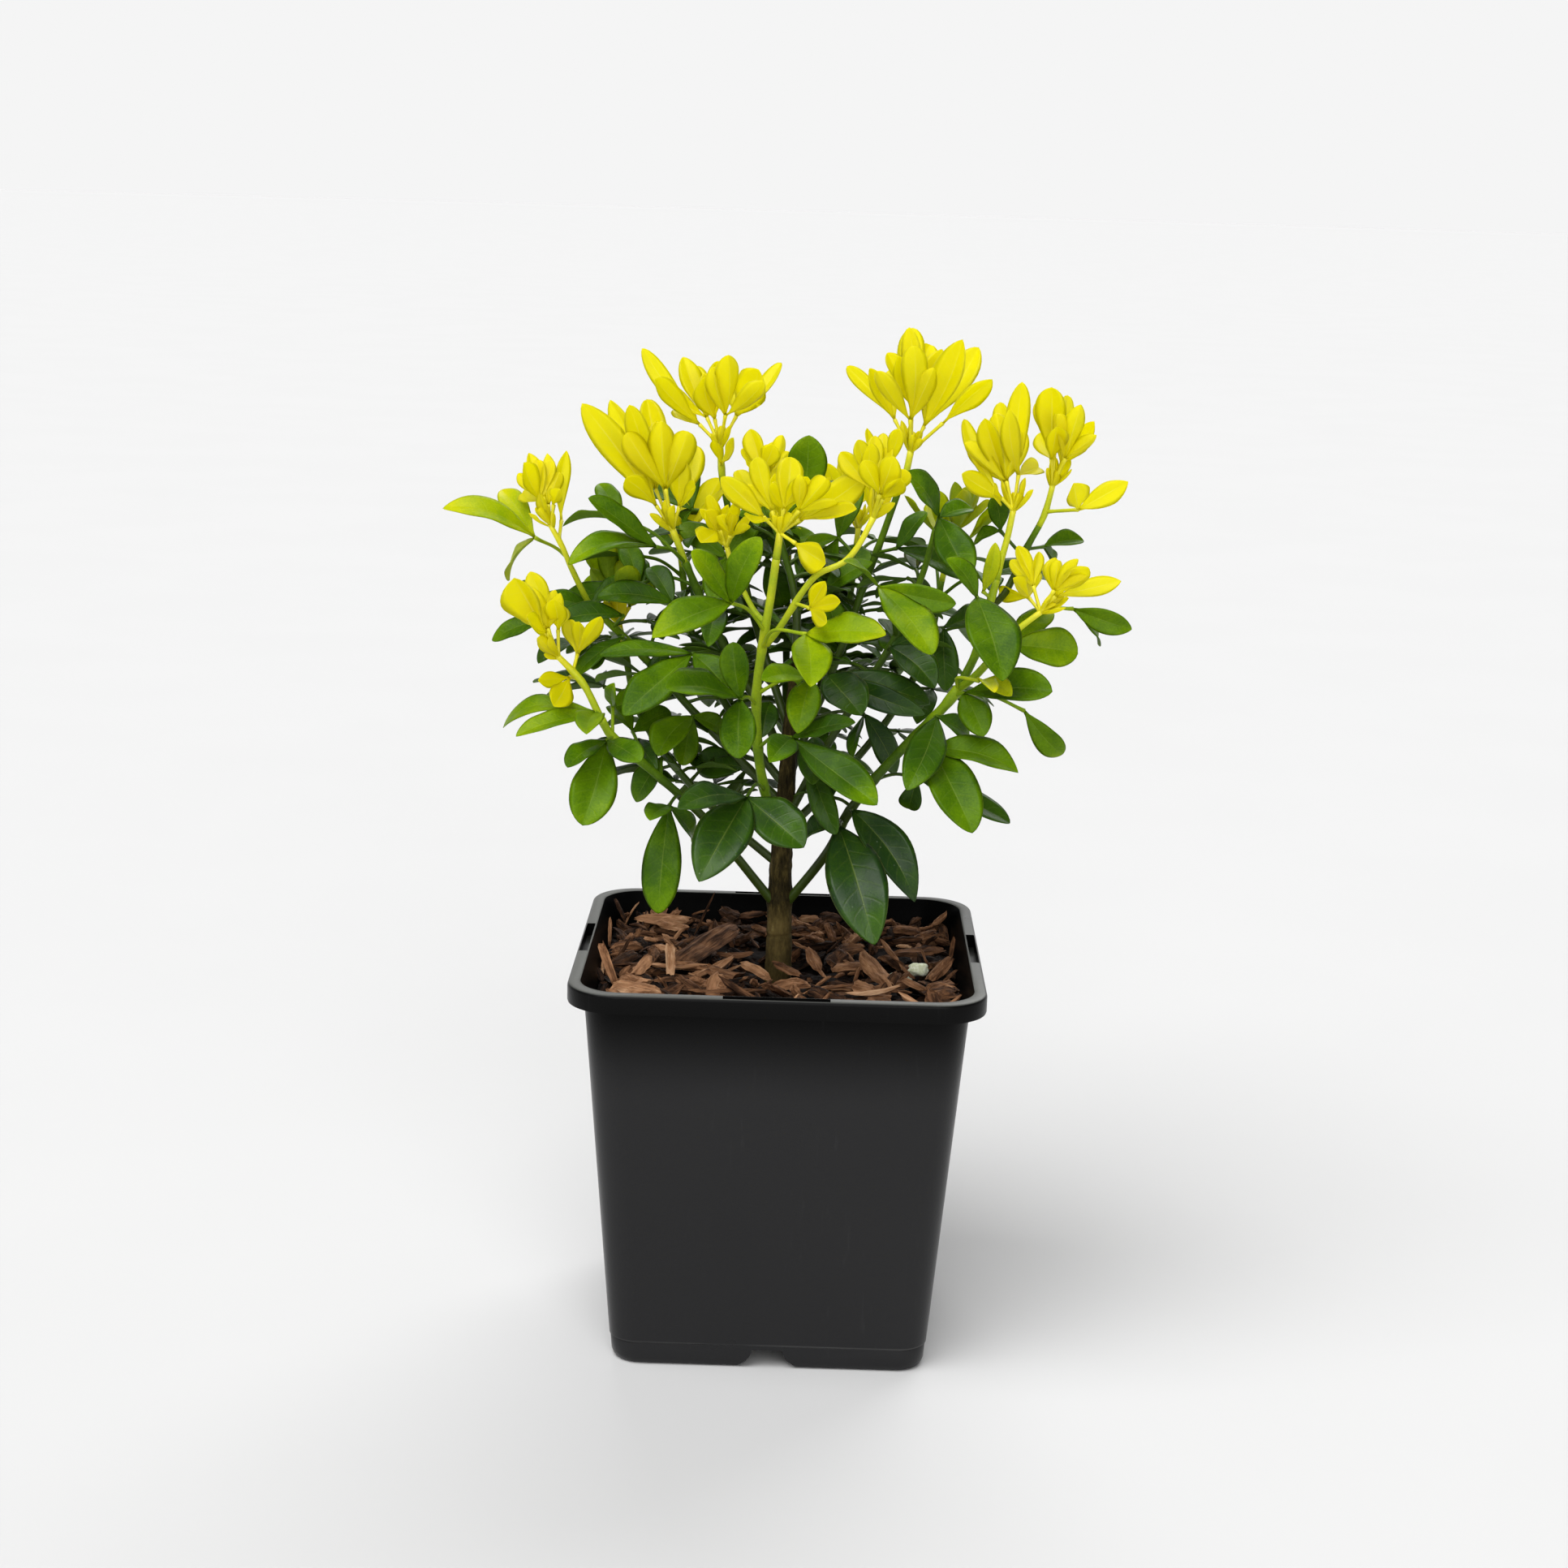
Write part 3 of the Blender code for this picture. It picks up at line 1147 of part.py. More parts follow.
def make_pot(parts, cutters):
    """The square pot: tapered body, deep rim with a pocket in each side, and a foot with a cross channel.

    The corners grow rounder from the foot to the rim, and inside the rim the wall slopes outward.
    """
    body_top = POT_HEIGHT - RIM_DROP
    soft = 0.7 * MM
    line = MOULD_LINE_HEIGHT
    sections = [
        (BODY_BASE_HALF - 2.0 * MM, BODY_BASE_CORNER - 2.0 * MM, 0.0),
        (BODY_BASE_HALF - 0.5 * MM, BODY_BASE_CORNER - 0.5 * MM, 0.7 * MM),
        (body_half(2.4 * MM), body_corner(2.4 * MM), 2.4 * MM),
        (body_half(line), body_corner(line), line),
        (body_half(line) + MOULD_LINE_STEP, body_corner(line), line + 0.2 * MM),
        (BODY_TOP_HALF, BODY_TOP_CORNER, body_top),
        (RIM_HALF - soft, RIM_CORNER - soft, body_top),
        (RIM_HALF, RIM_CORNER, body_top + soft),
        (RIM_HALF, RIM_CORNER, POT_HEIGHT - 1.2 * MM),
        (RIM_HALF - 0.35 * MM, RIM_CORNER - 0.35 * MM, POT_HEIGHT - 0.35 * MM),
        (RIM_HALF - 1.2 * MM, RIM_CORNER - 1.2 * MM, POT_HEIGHT),
        (RIM_INNER_HALF + 0.6 * MM, RIM_INNER_CORNER + 0.6 * MM, POT_HEIGHT),
        (RIM_INNER_HALF, RIM_INNER_CORNER, POT_HEIGHT - 0.6 * MM),
        inner_section(body_top),
        inner_section(FLOOR_TOP),
    ]
    pot = add_mesh(parts, "pot", square_loft("pot", sections))
    pot.data.materials.append(material("black_plastic", (0.012, 0.012, 0.012), 0.42))
    cuts = bpy.data.collections.new("pot_cuts")
    cutters.children.link(cuts)
    for index in range(2):
        channel_cutter(cuts, f"channel_{index}", index * math.pi / 2)
    below, above = CHANNEL_HEIGHT - CUT_OVER, FLOOR_TOP + CUT_OVER
    cylinder_cutter(cuts, "drain_centre", DRAIN_RADIUS, below, above, 0.0, 0.0)
    length, width, depth = RIM_POCKET
    rim_middle = (RIM_HALF + RIM_INNER_HALF) / 2
    for index in range(4):
        turn = index * math.pi / 2
        out = Vector((math.cos(turn), math.sin(turn), 0.0))
        drain = out * DRAIN_DISTANCE
        cylinder_cutter(cuts, f"drain_{index}", DRAIN_RADIUS, below, above, drain.x, drain.y)
        place = out * rim_middle + Vector((0.0, 0.0, POT_HEIGHT))
        box_cutter(cuts, f"rim_pocket_{index}", (width, length, 2 * depth), place, turn)
    apply_boolean(pot, "DIFFERENCE", cuts, "EXACT")
    remove_collection(cuts)
    pot.data.shade_smooth()
    pot.data.set_sharp_from_angle(angle=SHARP_ANGLE)


def chip_place(rule, column, row):
    """A chip's centre on a jittered grid over the pot."""
    middle = (CHIP_ROWS - 1) / 2
    x = (column - middle + rule.uniform(-CHIP_JITTER, CHIP_JITTER)) * CHIP_PITCH
    y = (row - middle + rule.uniform(-CHIP_JITTER, CHIP_JITTER)) * CHIP_PITCH
    return Vector((x, y, SOIL_TOP + rule.uniform(0.0, CHIP_RISE) * MM))


def make_soil(parts, cutters):
    """The potting mix up to its bark chips, with a plain hole for the trunk."""
    foot = FLOOR_TOP + GAP
    sections = [
        inner_section(foot, GAP),
        inner_section(SOIL_TOP, GAP),
    ]
    soil = add_mesh(parts, "soil", square_loft("soil", sections))
    soil.data.materials.append(material("bark_mix", (0.16, 0.07, 0.035), 0.9))
    rule = random.Random(5)
    chips = bpy.data.collections.new("soil_chips")
    bpy.context.scene.collection.children.link(chips)
    trunk = Vector((TRUNK_X * MM, 0.0, 0.0))
    for column in range(CHIP_ROWS):
        for row in range(CHIP_ROWS):
            place = chip_place(rule, column, row)
            size = [rule.uniform(*bounds) for bounds in (CHIP_LENGTHS, CHIP_WIDTHS, CHIP_THICKNESSES)]
            spin = rule.uniform(0, math.pi)
            tilt = math.radians(rule.uniform(-CHIP_TILT, CHIP_TILT))
            if (place - trunk).xy.length < TRUNK_RADIUS + size[0] / 2 + CHIP_CLEAR:
                continue
            shape = bmesh.new()
            bmesh.ops.create_cube(shape, size=1.0)
            bmesh.ops.scale(shape, vec=size, verts=shape.verts)
            for corner in shape.verts:
                if corner.co.x > 0:
                    corner.co.y *= CHIP_TAPER
            chip = add_mesh(chips, "chip", mesh_from_bmesh("chip", shape))
            chip.location = place
            chip.rotation_euler = (math.radians(rule.uniform(-CHIP_ROLL, CHIP_ROLL)), tilt, spin)
    apply_boolean(soil, "UNION", chips, "MANIFOLD")
    remove_collection(chips)
    holes = bpy.data.collections.new("soil_holes")
    cutters.children.link(holes)
    cylinder_cutter(
        holes, "trunk_hole", TRUNK_RADIUS + HOLE_GAP, TRUNK_FOOT - GAP, POT_HEIGHT, TRUNK_X * MM, 0.0
    )
    apply_boolean(soil, "DIFFERENCE", holes, "EXACT")
    remove_collection(holes)


def make_trunk(parts, stubs):
    """The woody trunk, with the short foot of each shoot that it carries."""
    trunk = tube(parts, "trunk", TRUNK_PATH, TRUNK_RADII, 2)
    trunk.data.materials.append(material("bark", (0.09, 0.055, 0.03), 0.8))
    join_pieces(trunk, stubs, [], [])


def skin_object(collection, name, points, triangles):
    """An object from a closed skin, facing out."""
    mesh = bpy.data.meshes.new(name)
    mesh.from_pydata(points, [], triangles)
    shape = bmesh.new()
    shape.from_mesh(mesh)
    bmesh.ops.recalc_face_normals(shape, faces=shape.faces)
    shape.to_mesh(mesh)
    shape.free()
    return add_mesh(collection, name, mesh)


def join_pieces(item, growth_tubes, leaves, blades):
    """Fuses tubes, compound leaves and single leaflets to an object."""
    pieces = bpy.data.collections.new(item.name + "_pieces")
    bpy.context.scene.collection.children.link(pieces)
    for path, radii in growth_tubes:
        tube(pieces, "foot", path, radii, 0)
    singles = list(blades)
    for stalk, leaflets in leaves:
        skin, loose = one_skin(stalk, [PETIOLE_RADIUS] * len(stalk), 3, leaflets)
        skin_object(pieces, "leaf", *skin)
        singles += loose
    for single in singles:
        skin_object(pieces, "leaflet", *blade(*single))
    if pieces.objects:
        apply_boolean(item, "UNION", pieces, "MANIFOLD")
    remove_collection(pieces)


def make_shoot(parts, name, growth, finish):
    """One leafy shoot or young spray: its stem, stalks and leaflets as one body."""
    path, radii = growth["tubes"][0]
    skin, loose = one_skin(path, radii, 4, growth["tuft"])
    if skin:
        stem = skin_object(parts, name, *skin)
    else:
        stem = tube(parts, name, path, radii, 0)
    stem.data.materials.append(finish)
    join_pieces(stem, growth["tubes"][1:], growth["leaves"], [*growth["blades"], *loose])


def main():
    clear_scene()
    parts = new_collection("potted_mexican_orange")
    cutters = new_collection("cutters")
    cutters.hide_render = True
    make_pot(parts, cutters)
    make_soil(parts, cutters)
    plant = grown_plant()
    make_trunk(parts, plant.pop("trunk")["tubes"])
    finishes = {
        "green": material("green_leaf", (0.08, 0.2, 0.02), 0.4),
        "yellow": material("young_leaf", (0.75, 0.65, 0.02), 0.45),
    }
    for name, growth in plant.items():
        make_shoot(parts, name, growth, finishes[growth["colour"]])


main()
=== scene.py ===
"""The looks of a potted mexican orange, made where the CAD frame has its solids.

Fine leaves and stems, trunk bark, potting mix with chips and perlite, and a black plastic pot.
"""

import json
import math
import random

import bmesh
import bpy
import numpy as np
from mathutils import Matrix, Vector, noise
from mathutils.geometry import intersect_point_line
from mathutils.kdtree import KDTree

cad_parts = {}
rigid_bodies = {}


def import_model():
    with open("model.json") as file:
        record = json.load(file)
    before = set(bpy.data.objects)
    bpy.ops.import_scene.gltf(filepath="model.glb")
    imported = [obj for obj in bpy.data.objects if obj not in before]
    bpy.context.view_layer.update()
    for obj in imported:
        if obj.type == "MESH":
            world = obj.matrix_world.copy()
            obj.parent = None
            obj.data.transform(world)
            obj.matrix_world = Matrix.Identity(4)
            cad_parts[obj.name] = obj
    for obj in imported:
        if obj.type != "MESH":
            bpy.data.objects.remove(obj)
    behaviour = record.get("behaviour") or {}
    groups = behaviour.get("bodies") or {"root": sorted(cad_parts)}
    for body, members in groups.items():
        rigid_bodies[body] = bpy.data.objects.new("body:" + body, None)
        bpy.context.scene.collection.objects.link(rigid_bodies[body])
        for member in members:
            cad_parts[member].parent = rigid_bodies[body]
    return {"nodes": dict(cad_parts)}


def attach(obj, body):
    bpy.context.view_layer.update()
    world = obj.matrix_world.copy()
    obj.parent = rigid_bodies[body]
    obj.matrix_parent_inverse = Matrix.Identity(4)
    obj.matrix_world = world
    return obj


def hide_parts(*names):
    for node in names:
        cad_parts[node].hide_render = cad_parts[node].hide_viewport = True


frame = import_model()

MM = 0.001
# Pot: outer sizes of a square 14 cm nursery pot, as half widths where it is symmetric
RIM_HALF = 70.0 * MM
RIM_DROP = 6.6 * MM
RIM_INNER_HALF = 65.6 * MM
POT_HEIGHT = 136.4 * MM
BODY_TOP_HALF = 64.5 * MM
BODY_BASE_HALF = 53.85 * MM
RIM_CORNER = 17.0 * MM
RIM_INNER_CORNER = 14.0 * MM
BODY_TOP_CORNER = 13.5 * MM
BODY_BASE_CORNER = 10.0 * MM
WALL = 1.7 * MM
FLOOR_TOP = 8.2 * MM
MOULD_LINE_HEIGHT = 8.0 * MM
MOULD_LINE_STEP = 0.3 * MM
CHANNEL_HEIGHT = 6.4 * MM
CHANNEL_TOP_HALF = 5.3 * MM
CHANNEL_FOOT_HALF = 10.5 * MM
DRAIN_RADIUS = 4.0 * MM
DRAIN_DISTANCE = 28.0 * MM
CUT_OVER = 2.0 * MM
# A full turn
TURN = 6.28
# The gap between solids, and the trunk, whose place is in mm
GAP = 0.3 * MM
TRUNK_RADIUS = 4.6 * MM
TRUNK_X = -0.3
# Leaflets, stalks and stems as the CAD grows them
GREEN_FOLD = math.radians(14)
YOUNG_FOLD = math.radians(24)
GREEN_ARCH = 0.07
YOUNG_ARCH = -0.05
STALK_BEND_LENGTH = 14.0 * MM
PETIOLE_RISE = 0.55
PETIOLE_BOW = 0.1
STALK_UP = Vector((0.2, 0.1, 0.97))
LEAST_SPAN = 0.2 * MM
STUB_LENGTH = 0.5 * MM
STUB_STEP = 0.5 * MM
STEM_STEP = 13.0 * MM
FINE_STEP = 3.0 * MM
ROLL_SPREAD = 12
ARCH_SPREAD = (0.5, 1.5)
GREEN_FACE = Vector((0.0, -0.66, 0.75))
YOUNG_FACE = Vector((0.0, -0.94, 0.34))
NUDGE_STEP = 5.0 * MM
NUDGE_TURN = math.radians(7)
BENDS = [Vector()] + [
    Vector((math.cos(angle), math.sin(angle), 0.2)) * size
    for size in (0.12, 0.25, 0.4)
    for angle in (0.0, 1.57, 3.14, 4.71, 0.8, 2.4, 3.9, 5.5)
]
# Leaves of the shoots at the back: angles in degrees, lengths in mm, the rest as shares
SIDE_TURN = 62
SIDE_SHARE = 0.86
TURN_SPREAD = 10
DROOP_SPREAD = 14
LOW_DROOP = 38
TOP_DROOP = 4
LENGTH_SPREAD = (0.88, 1.08)
GREEN_WIDTHS = (0.33, 0.4)
FACE_LEAN = 0.35
SPREAD_POWER = 1.1
RISE_POWER = 1.15
FIRST_PAIR = 0.34
LAST_PAIR = 0.94
STALK_LENGTHS = (14, 22)
STALK_OUT = 0.85
STALK_RISE = 0.45
LEAF_LENGTHS = (30, 38)
SHRINK = 0.2
BACK_RADII = (1.6, 1.1)
# Young leaves at the tips of the shoots at the back
BACK_TUFT = 7
TUFT_REACH = 9.0 * MM
TUFT_TURN = 2.4
TUFT_RADII = (1.1, 1.0)
INNER_LEAN = 14
OUTER_LEAN = 54
YOUNG_LENGTHS = (20, 32)
YOUNG_WIDTHS = (0.24, 0.32)
# Where the plant is looked at from: a place given as seen from here keeps its look at any depth
EYE = Vector((6.9, -932.0, 400.7)) * MM

# Fine leaves and stems
CORNER_STEPS = 12
NUDGES = 63
PETIOLE_NEEDED = 3.5 * MM
# How far a stalk's corners are from its middle line in the CAD, and how exactly a corner is met
STALK_CORNER = 0.9375 * MM
MATCH = 0.005 * MM
# A leaf that found no room for its leaflets, and one whose CAD stalk is too crowded for its
# bend to be read
BARE_STALK = ("shoot_back_right_tall", 1)
CROWDED_STALK = ("spray_top", 1)
CROWDED_BEND = 18
# A leaf this near to a straightened stem sits on it
STRAIGHT_SEAT = 4.0 * MM
LEAF_THICKNESS = 0.42 * MM
LEAF_FOOT = 0.5 * MM
RIB_GROOVE = 0.22 * MM
YOUNG_GROOVE = 0.06 * MM
RIB_RISE = 0.16 * MM
GREEN_RISE = (0.8, 1.15)
YOUNG_WIDEN = 1.16
YOUNG_ROLL = 36
YOUNG_RISE = (1.15, 1.6)
TIP_CLOSE = (0.55, 0.85)
YOUNG_CLOSE = (0.5, 0.92)
FORK_SHARE = (0.32, 0.46)
INNER_LEAVES = 2
INNER_LENGTHS = (0.62, 0.8)
SHADE_LEAVES = 11
SHADE_STRETCH = (0.35, 1.0)
SHADE_STALKS = (6, 12)
SHADE_LENGTHS = (15, 23)
SHADE_FRONT = -6.0
SHADE_REACH = 64.0
SHADE_HEIGHTS = (178.0, 288.0)
SHADE_ANGLES = (-30, 210)
SHADE_LIFTS = (0.1, 0.6)
SHADE_DROOPS = (-20, 35)
AGE_SPREAD = 0.035
PETIOLE_FINE = 0.62 * MM
PETIOLE_STEP = 1.8 * MM
PETIOLE_SIDES = 7
# How much thicker a stalk is at its foot and at its tip, and over which share of its length
FOOT_SWELL = (0.55, 0.12)
TIP_SWELL = (0.3, 0.08)
STEM_FINE = 0.98
STEM_STEP_FINE = 2.0 * MM
STEM_SIDES = 10
NODE_SWELL = 0.16
NODE_REACH = 2.2 * MM
MOST_SWELL = 1.3
# How far a tube's closed ends stand out, as shares of its radius
TUBE_FOOT = 0.4
TUBE_TIP = 0.6
# The form of a leaflet: how its rows gather at the tip, the softness of its channel, the reach
# of groove and rib from the midrib, and its folds, dish, waves, sway and twist
ROW_GATHER = 1.45
CHANNEL_SOFT = 0.05
GROOVE_REACH = 0.09
RIB_REACH = 0.1
GREEN_FOLDS = (0.9, 2.0)
YOUNG_FOLDS = (0.6, 1.9)
DISH = (0.02, 0.16)
WAVES = (1.2, 2.4)
WAVE_HEIGHTS = (0.04, 0.13)
WAVE_EDGE = 2.2
SWAY = 0.035
TWIST = 11
# Leaves of the tufts, apart from those of the CAD
TRIO = 3
INNER_FORKS = (0.3, 0.46)
INNER_TOWARD = (0.1, 0.45)
INNER_TURNS = ((0.0, 1.0), (0.5, 0.8), (-0.5, 0.8))
INNER_SPREAD = 0.15
INNER_WIDTHS = (0.3, 0.38)
INNER_ARCH = -0.05
BUDS = 7
BUD_LEANS = (6, 12)
BUD_LEAN_STEP = 5
BUD_LENGTHS = (6, 12)
BUD_WIDTHS = (0.3, 0.4)
BUD_ARCH = -0.08
BUD_FOLD = math.radians(34)
BUD_DROP = 1.5
# Ages on the scale from new yellow (0) to old dark green (1)
YOUNG_AGE = 0.06
BUD_AGE = 0.1
FORK_AGES = (0.12, 0.1)
SHADE_AGES = (0.8, 0.98)
SHADE_STALK_AGES = (0.9, 0.85)
BACK_AGE = 1.25
BACK_AGE_FALL = 0.0022
BACK_AGE_FROM = 60
OLDEST = 0.98

# Pot
BODY_TOP = POT_HEIGHT - RIM_DROP
FINE_POCKET = (35.4 * MM, 3.0 * MM, 4.6 * MM)
RIM_SOFT = 0.7 * MM
BODY_RINGS = 13
CHANNEL_STEPS = 8
POT_CREASE = math.radians(32)

# Potting mix
MIX_HALF = 62.2 * MM
MIX_CORNER = 11.3 * MM
BED_TOP = 124.2 * MM
HOLLOW_REACH = 9.0 * MM
HOLLOW_DEPTH = 3.0
HOLLOW_BARE = 0.6
BED_STEPS = 64
BED_TONE = 0.15
# Roughness of the bed and the rise and fall of the chips: waves to the metre and height in mm
BED_ROUGHNESS = ((90, 1.6), (420, 0.9))
CHIP_HEAVE = (45, 1.6)
CHIP_JITTER = 0.8
CHIP_GRID = (7, 4)
CHIP_SPREAD = 0.26
# How a chip narrows to its ends and to one of them, how ragged its ends and its sides are, its
# bows along and across, and its lumps, as shares of its own sizes
CHIP_TAPERS = (0.2, 0.85)
CHIP_TAPER_POWERS = (2.0, 5.0)
CHIP_SKEW = 0.4
CHIP_RAGGED = (0.12, 0.10)
CHIP_BOWS = (0.10, 0.16)
CHIP_LUMPS = 0.22
# Layers of chips: lift in mm, number, lengths and widths in mm, tone and tilt in degrees; the tones darken
# towards the lower layers as painted shade deep between the chips
CHIP_LAYERS = (
    (0.8, 190, (6, 15), (3, 7), 0.06, 12),
    (3.0, 160, (7, 18), (2.5, 6.5), 0.24, 18),
    (5.0, 95, (8, 20), (3.0, 7.0), 0.46, 20),
    (5.6, 140, (4, 14), (0.8, 2.0), 0.45, 22),
)
# Thickness of a strewn chip in mm, less where it is narrower than the last number
CHIP_THICKNESSES = (1.0, 2.6)
CHIP_THINNEST = 0.35
CHIP_NARROW = 4
# Chips are strewn clear of the laid ones from this lift in mm on
LAID_LIFT = 4.0
LAID_CLEAR = 6.5 * MM
LAID_FOOT = 129.6
LAID_STRETCH = 1.06
LAID_TURN = 0.15
# Chips read off the photograph one by one: foot (x, y), head (x, y, z) and width in mm, lean in
# degrees and tone in hundredths
LAID_CHIPS = (
    (-34, -5, -17, 20, 135.8, 10.7, 14, 50),
    (-34, 49, -53, 49, 129.7, 7.1, 22, 62),
    (-40, -39, -56, -36, 130.5, 6.4, 20, 82),
    (-37, -23, -38, -12, 136.8, 3.5, 35, 55),
    (-57, -35, -63, -25, 141.0, 2.9, 50, 60),
    (-54, -26, -51, -22, 132.3, 3.3, 30, 62),
    (-50, -24, -45, -15, 133.7, 5.2, 25, 50),
    (-10, 6, -22, 5, 129.4, 3.2, 25, 55),
    (-3, -19, -13, -11, 132.5, 4.1, 20, 62),
    (-45, 31, -51, 31, 129.7, 1.9, 25, 70),
    (-44, 21, -49, 22, 130.0, 2.3, 25, 66),
    (-17, 57, -6, 58, 131.1, 4.2, 22, 45),
    (-16, 55, -23, 58, 131.7, 5.9, 25, 38),
    (-29, -41, -14, -40, 130.4, 1.9, 25, 75),
    (-31, 35, -25, 38, 142.8, 0.9, 75, 40),
    (-58, 47, -62, 50, 136.8, 1.5, 70, 35),
    (-61, 15, -61, 17, 138.5, 1.4, 75, 42),
    (-43, -27, -26, -25, 130.2, 2.9, 25, 45),
    (-60, 13, -50, 15, 130.4, 4.8, 22, 40),
    (-58, -10, -50, -3, 132.0, 5.4, 20, 32),
    (-15, -24, -25, -20, 131.1, 6.3, 20, 33),
    (-62, -32, -64, -30, 133.6, 2.2, 60, 30),
    (39, -29, 29, -10, 135.8, 7.8, 18, 50),
    (21, 16, 30, 18, 130.4, 6.2, 22, 45),
    (52, -19, 59, -10, 134.9, 4.6, 30, 62),
    (42, 3, 36, 13, 134.2, 2.4, 25, 62),
    (47, 23, 42, 24, 129.7, 2.1, 25, 82),
    (62, 8, 63, 10, 137.4, 1.6, 75, 50),
    (57, 52, 63, 56, 133.9, 2.4, 50, 40),
    (59, -20, 64, -16, 133.0, 1.4, 40, 50),
    (50, -30, 43, -25, 131.5, 3.3, 20, 60),
    (24, -40, 41, -36, 131.5, 2.2, 25, 75),
    (7, -17, -2, -11, 132.1, 3.9, 20, 55),
    (-2, -30, 10, -27, 130.6, 5.9, 20, 78),
    (14, -13, 10, -2, 134.8, 4.6, 25, 30),
    (17, 13, 24, 18, 135.6, 0.8, 50, 35),
    (17, 57, 6, 58, 129.8, 3.9, 20, 42),
    (22, 57, 14, 58, 130.7, 5.2, 25, 32),
    (51, 46, 41, 47, 130.1, 5.8, 25, 40),
    (26, -25, 28, -21, 134.7, 1.3, 50, 50),
    (10, 16, 5, 19, 131.0, 1.5, 30, 40),
    (47, -18, 42, -11, 132.9, 1.6, 25, 50),
    (40, 13, 58, 16, 130.8, 5.4, 22, 32),
    (17, -41, 11, -37, 130.9, 5.6, 20, 42),
    (33, -33, 26, -30, 130.7, 6.9, 20, 38),
    (50, -35, 60, -33, 130.4, 7.4, 22, 42),
)
# Perlite: its height over the bed in mm, its form with lumps as (scale, size), and its bits as
# (x, y, size) in mm
PERLITE_RISE = 4.6
PERLITE_STRETCH = (0.75, 1.2)
PERLITE_LUMPS = ((1.4, 0.35), (4, 0.12))
PERLITE_FLAT = 0.7
PERLITE = (
    (49.0, -2.9, 6.6), (45.0, -14.1, 3.4), (39.9, -11.3, 3.0), (45.5, -42.8, 2.4), (-15.4, 35.6, 2.8),
    (-19.1, 9.2, 1.8), (-36.0, 52.5, 1.8),
)

# Trunk: rings round it as (height, rise) in mm, and knots as (height, way in radians, rise)
TRUNK_SCARS = (
    (139.5, -0.35), (141.2, 0.3), (152.4, 0.22), (166.0, -0.16), (178.0, -0.14), (189.0, 0.14),
)
SCAR_WIDTH = 0.55
SCAR_SLANT = 0.5
TRUNK_KNOTS = ((152.5, 2.7, 0.9), (153.5, 0.2, 0.8), (163.0, 4.3, 0.6), (176.0, 0.6, 0.5))
KNOT_HEIGHT = 2.6
KNOT_SPREAD = 0.9
TRUNK_STEP = 0.9 * MM
TRUNK_SIDES = 32
# Roughness of the bark: scale and depth in mm, full where the trunk has this radius
BARK_ROUGHNESS = ((1.7, 0.34), (5, 0.16), (13, 0.07))
BARK_ROUND = 2.2
BARK_ALONG = 0.11
BARK_FULL = 3.2 * MM

# Studio
CAMERA_LENS = 63.09
CAMERA_ANGLES = (-0.432, 12.53, 1.64)
FLOOR_GAP = 0.0003
FLOOR_RADII = (0.5, 2.0, 8.0, 30.0)
FLOOR_TURNS = 96
FLOOR_TINT = (0.612, 0.612, 0.612)
# The light of the room: its walls fade to its ceiling between these heights of the direction
WALL_SPAN = (0.07, 0.4)
WALL_STRENGTH = 0.913
CEILING_STRENGTH = 0.14
# The lamps: the way to each, its spread in degrees and its strength
SUNS = (
    ("key", (-0.42, -0.5, 1.1), 50.0, 2.9),
    ("front", (0.15, -1.0, 0.5), 40.0, 1.1),
    ("back", (0.25, 1.0, 0.9), 50.0, 1.7),
)

# How far each compound leaf is from new yellow (0) to old dark green (1)
TONES = {
    "shoot_front": (0.92, 0.76, 0.64, 0.52, 0.83, 0.64),
    "shoot_left_low": (0.76, 0.83, 0.74, 0.74, 0.58, 0.67),
    "shoot_left_mid": (0.68, 0.85, 0.85, 0.82, 0.85, 0.8, 0.75, 0.8, 0.38),
    "shoot_left_up": (0.76, 0.72, 0.77, 0.68, 0.71),
    "shoot_top": (0.78, 0.76, 0.7),
    "shoot_centre": (0.64, 0.77),
    "shoot_right_low": (0.98, 1.0, 0.85, 0.32, 0.72, 0.82, 0.74, 0.68),
    "shoot_right_mid": (0.95, 0.9, 0.84, 0.75),
    "shoot_right_up": (0.9, 0.63, 0.93, 0.89, 0.83),
    "shoot_right_high": (0.76, 0.62, 0.36),
    "shoot_right_out": (0.7,),
    "shoot_right_far": (0.75, 0.75),
}
YOUNG_TONES = {"spray_back_left_low": 0.46, "spray_back_right": 0.38}
# At the foot and at the tip, on the same scale, and the power of the way between them
STEM_AGES = {
    "shoot_front": (0.78, 0.33, 1.0),
    "shoot_left_low": (0.96, 0.42, 3.0),
    "shoot_left_mid": (0.95, 0.5, 2.5),
    "shoot_right_low": (0.97, 0.5, 2.5),
    "shoot_right_high": (0.72, 0.36, 1.5),
    "shoot_right_out": (0.6, 0.32, 1.5),
}
YOUNG_STEM = (0.44, 0.16, 1.3)
OLD_STEM = (0.95, 0.72, 1.5)
# Stems that are straighter than in the CAD
STRAIGHTER = {
    "spray_front_right": (
        (-7.1, -21, 246), (-3.1, -24, 252), (0.8, -27, 259), (4.7, -30, 266), (9.5, -32, 272),
        (17.5, -32, 276), (22.5, -32, 282), (27, -31, 291),
    ),
}


def body_half(height):
    """Outer half width of the pot's tapered body."""
    return BODY_BASE_HALF + (BODY_TOP_HALF - BODY_BASE_HALF) * height / (POT_HEIGHT - RIM_DROP)


def body_corner(height):
    """Corner radius of the body, which grows with its width."""
    return BODY_BASE_CORNER + (BODY_TOP_CORNER - BODY_BASE_CORNER) * height / (POT_HEIGHT - RIM_DROP)


def inner_section(height, gap=0.0):
    """Half width and corner radius inside the pot's wall, and the height, drawn in by a gap."""
    return (body_half(height) - WALL - gap, body_corner(height) - WALL - gap, height)


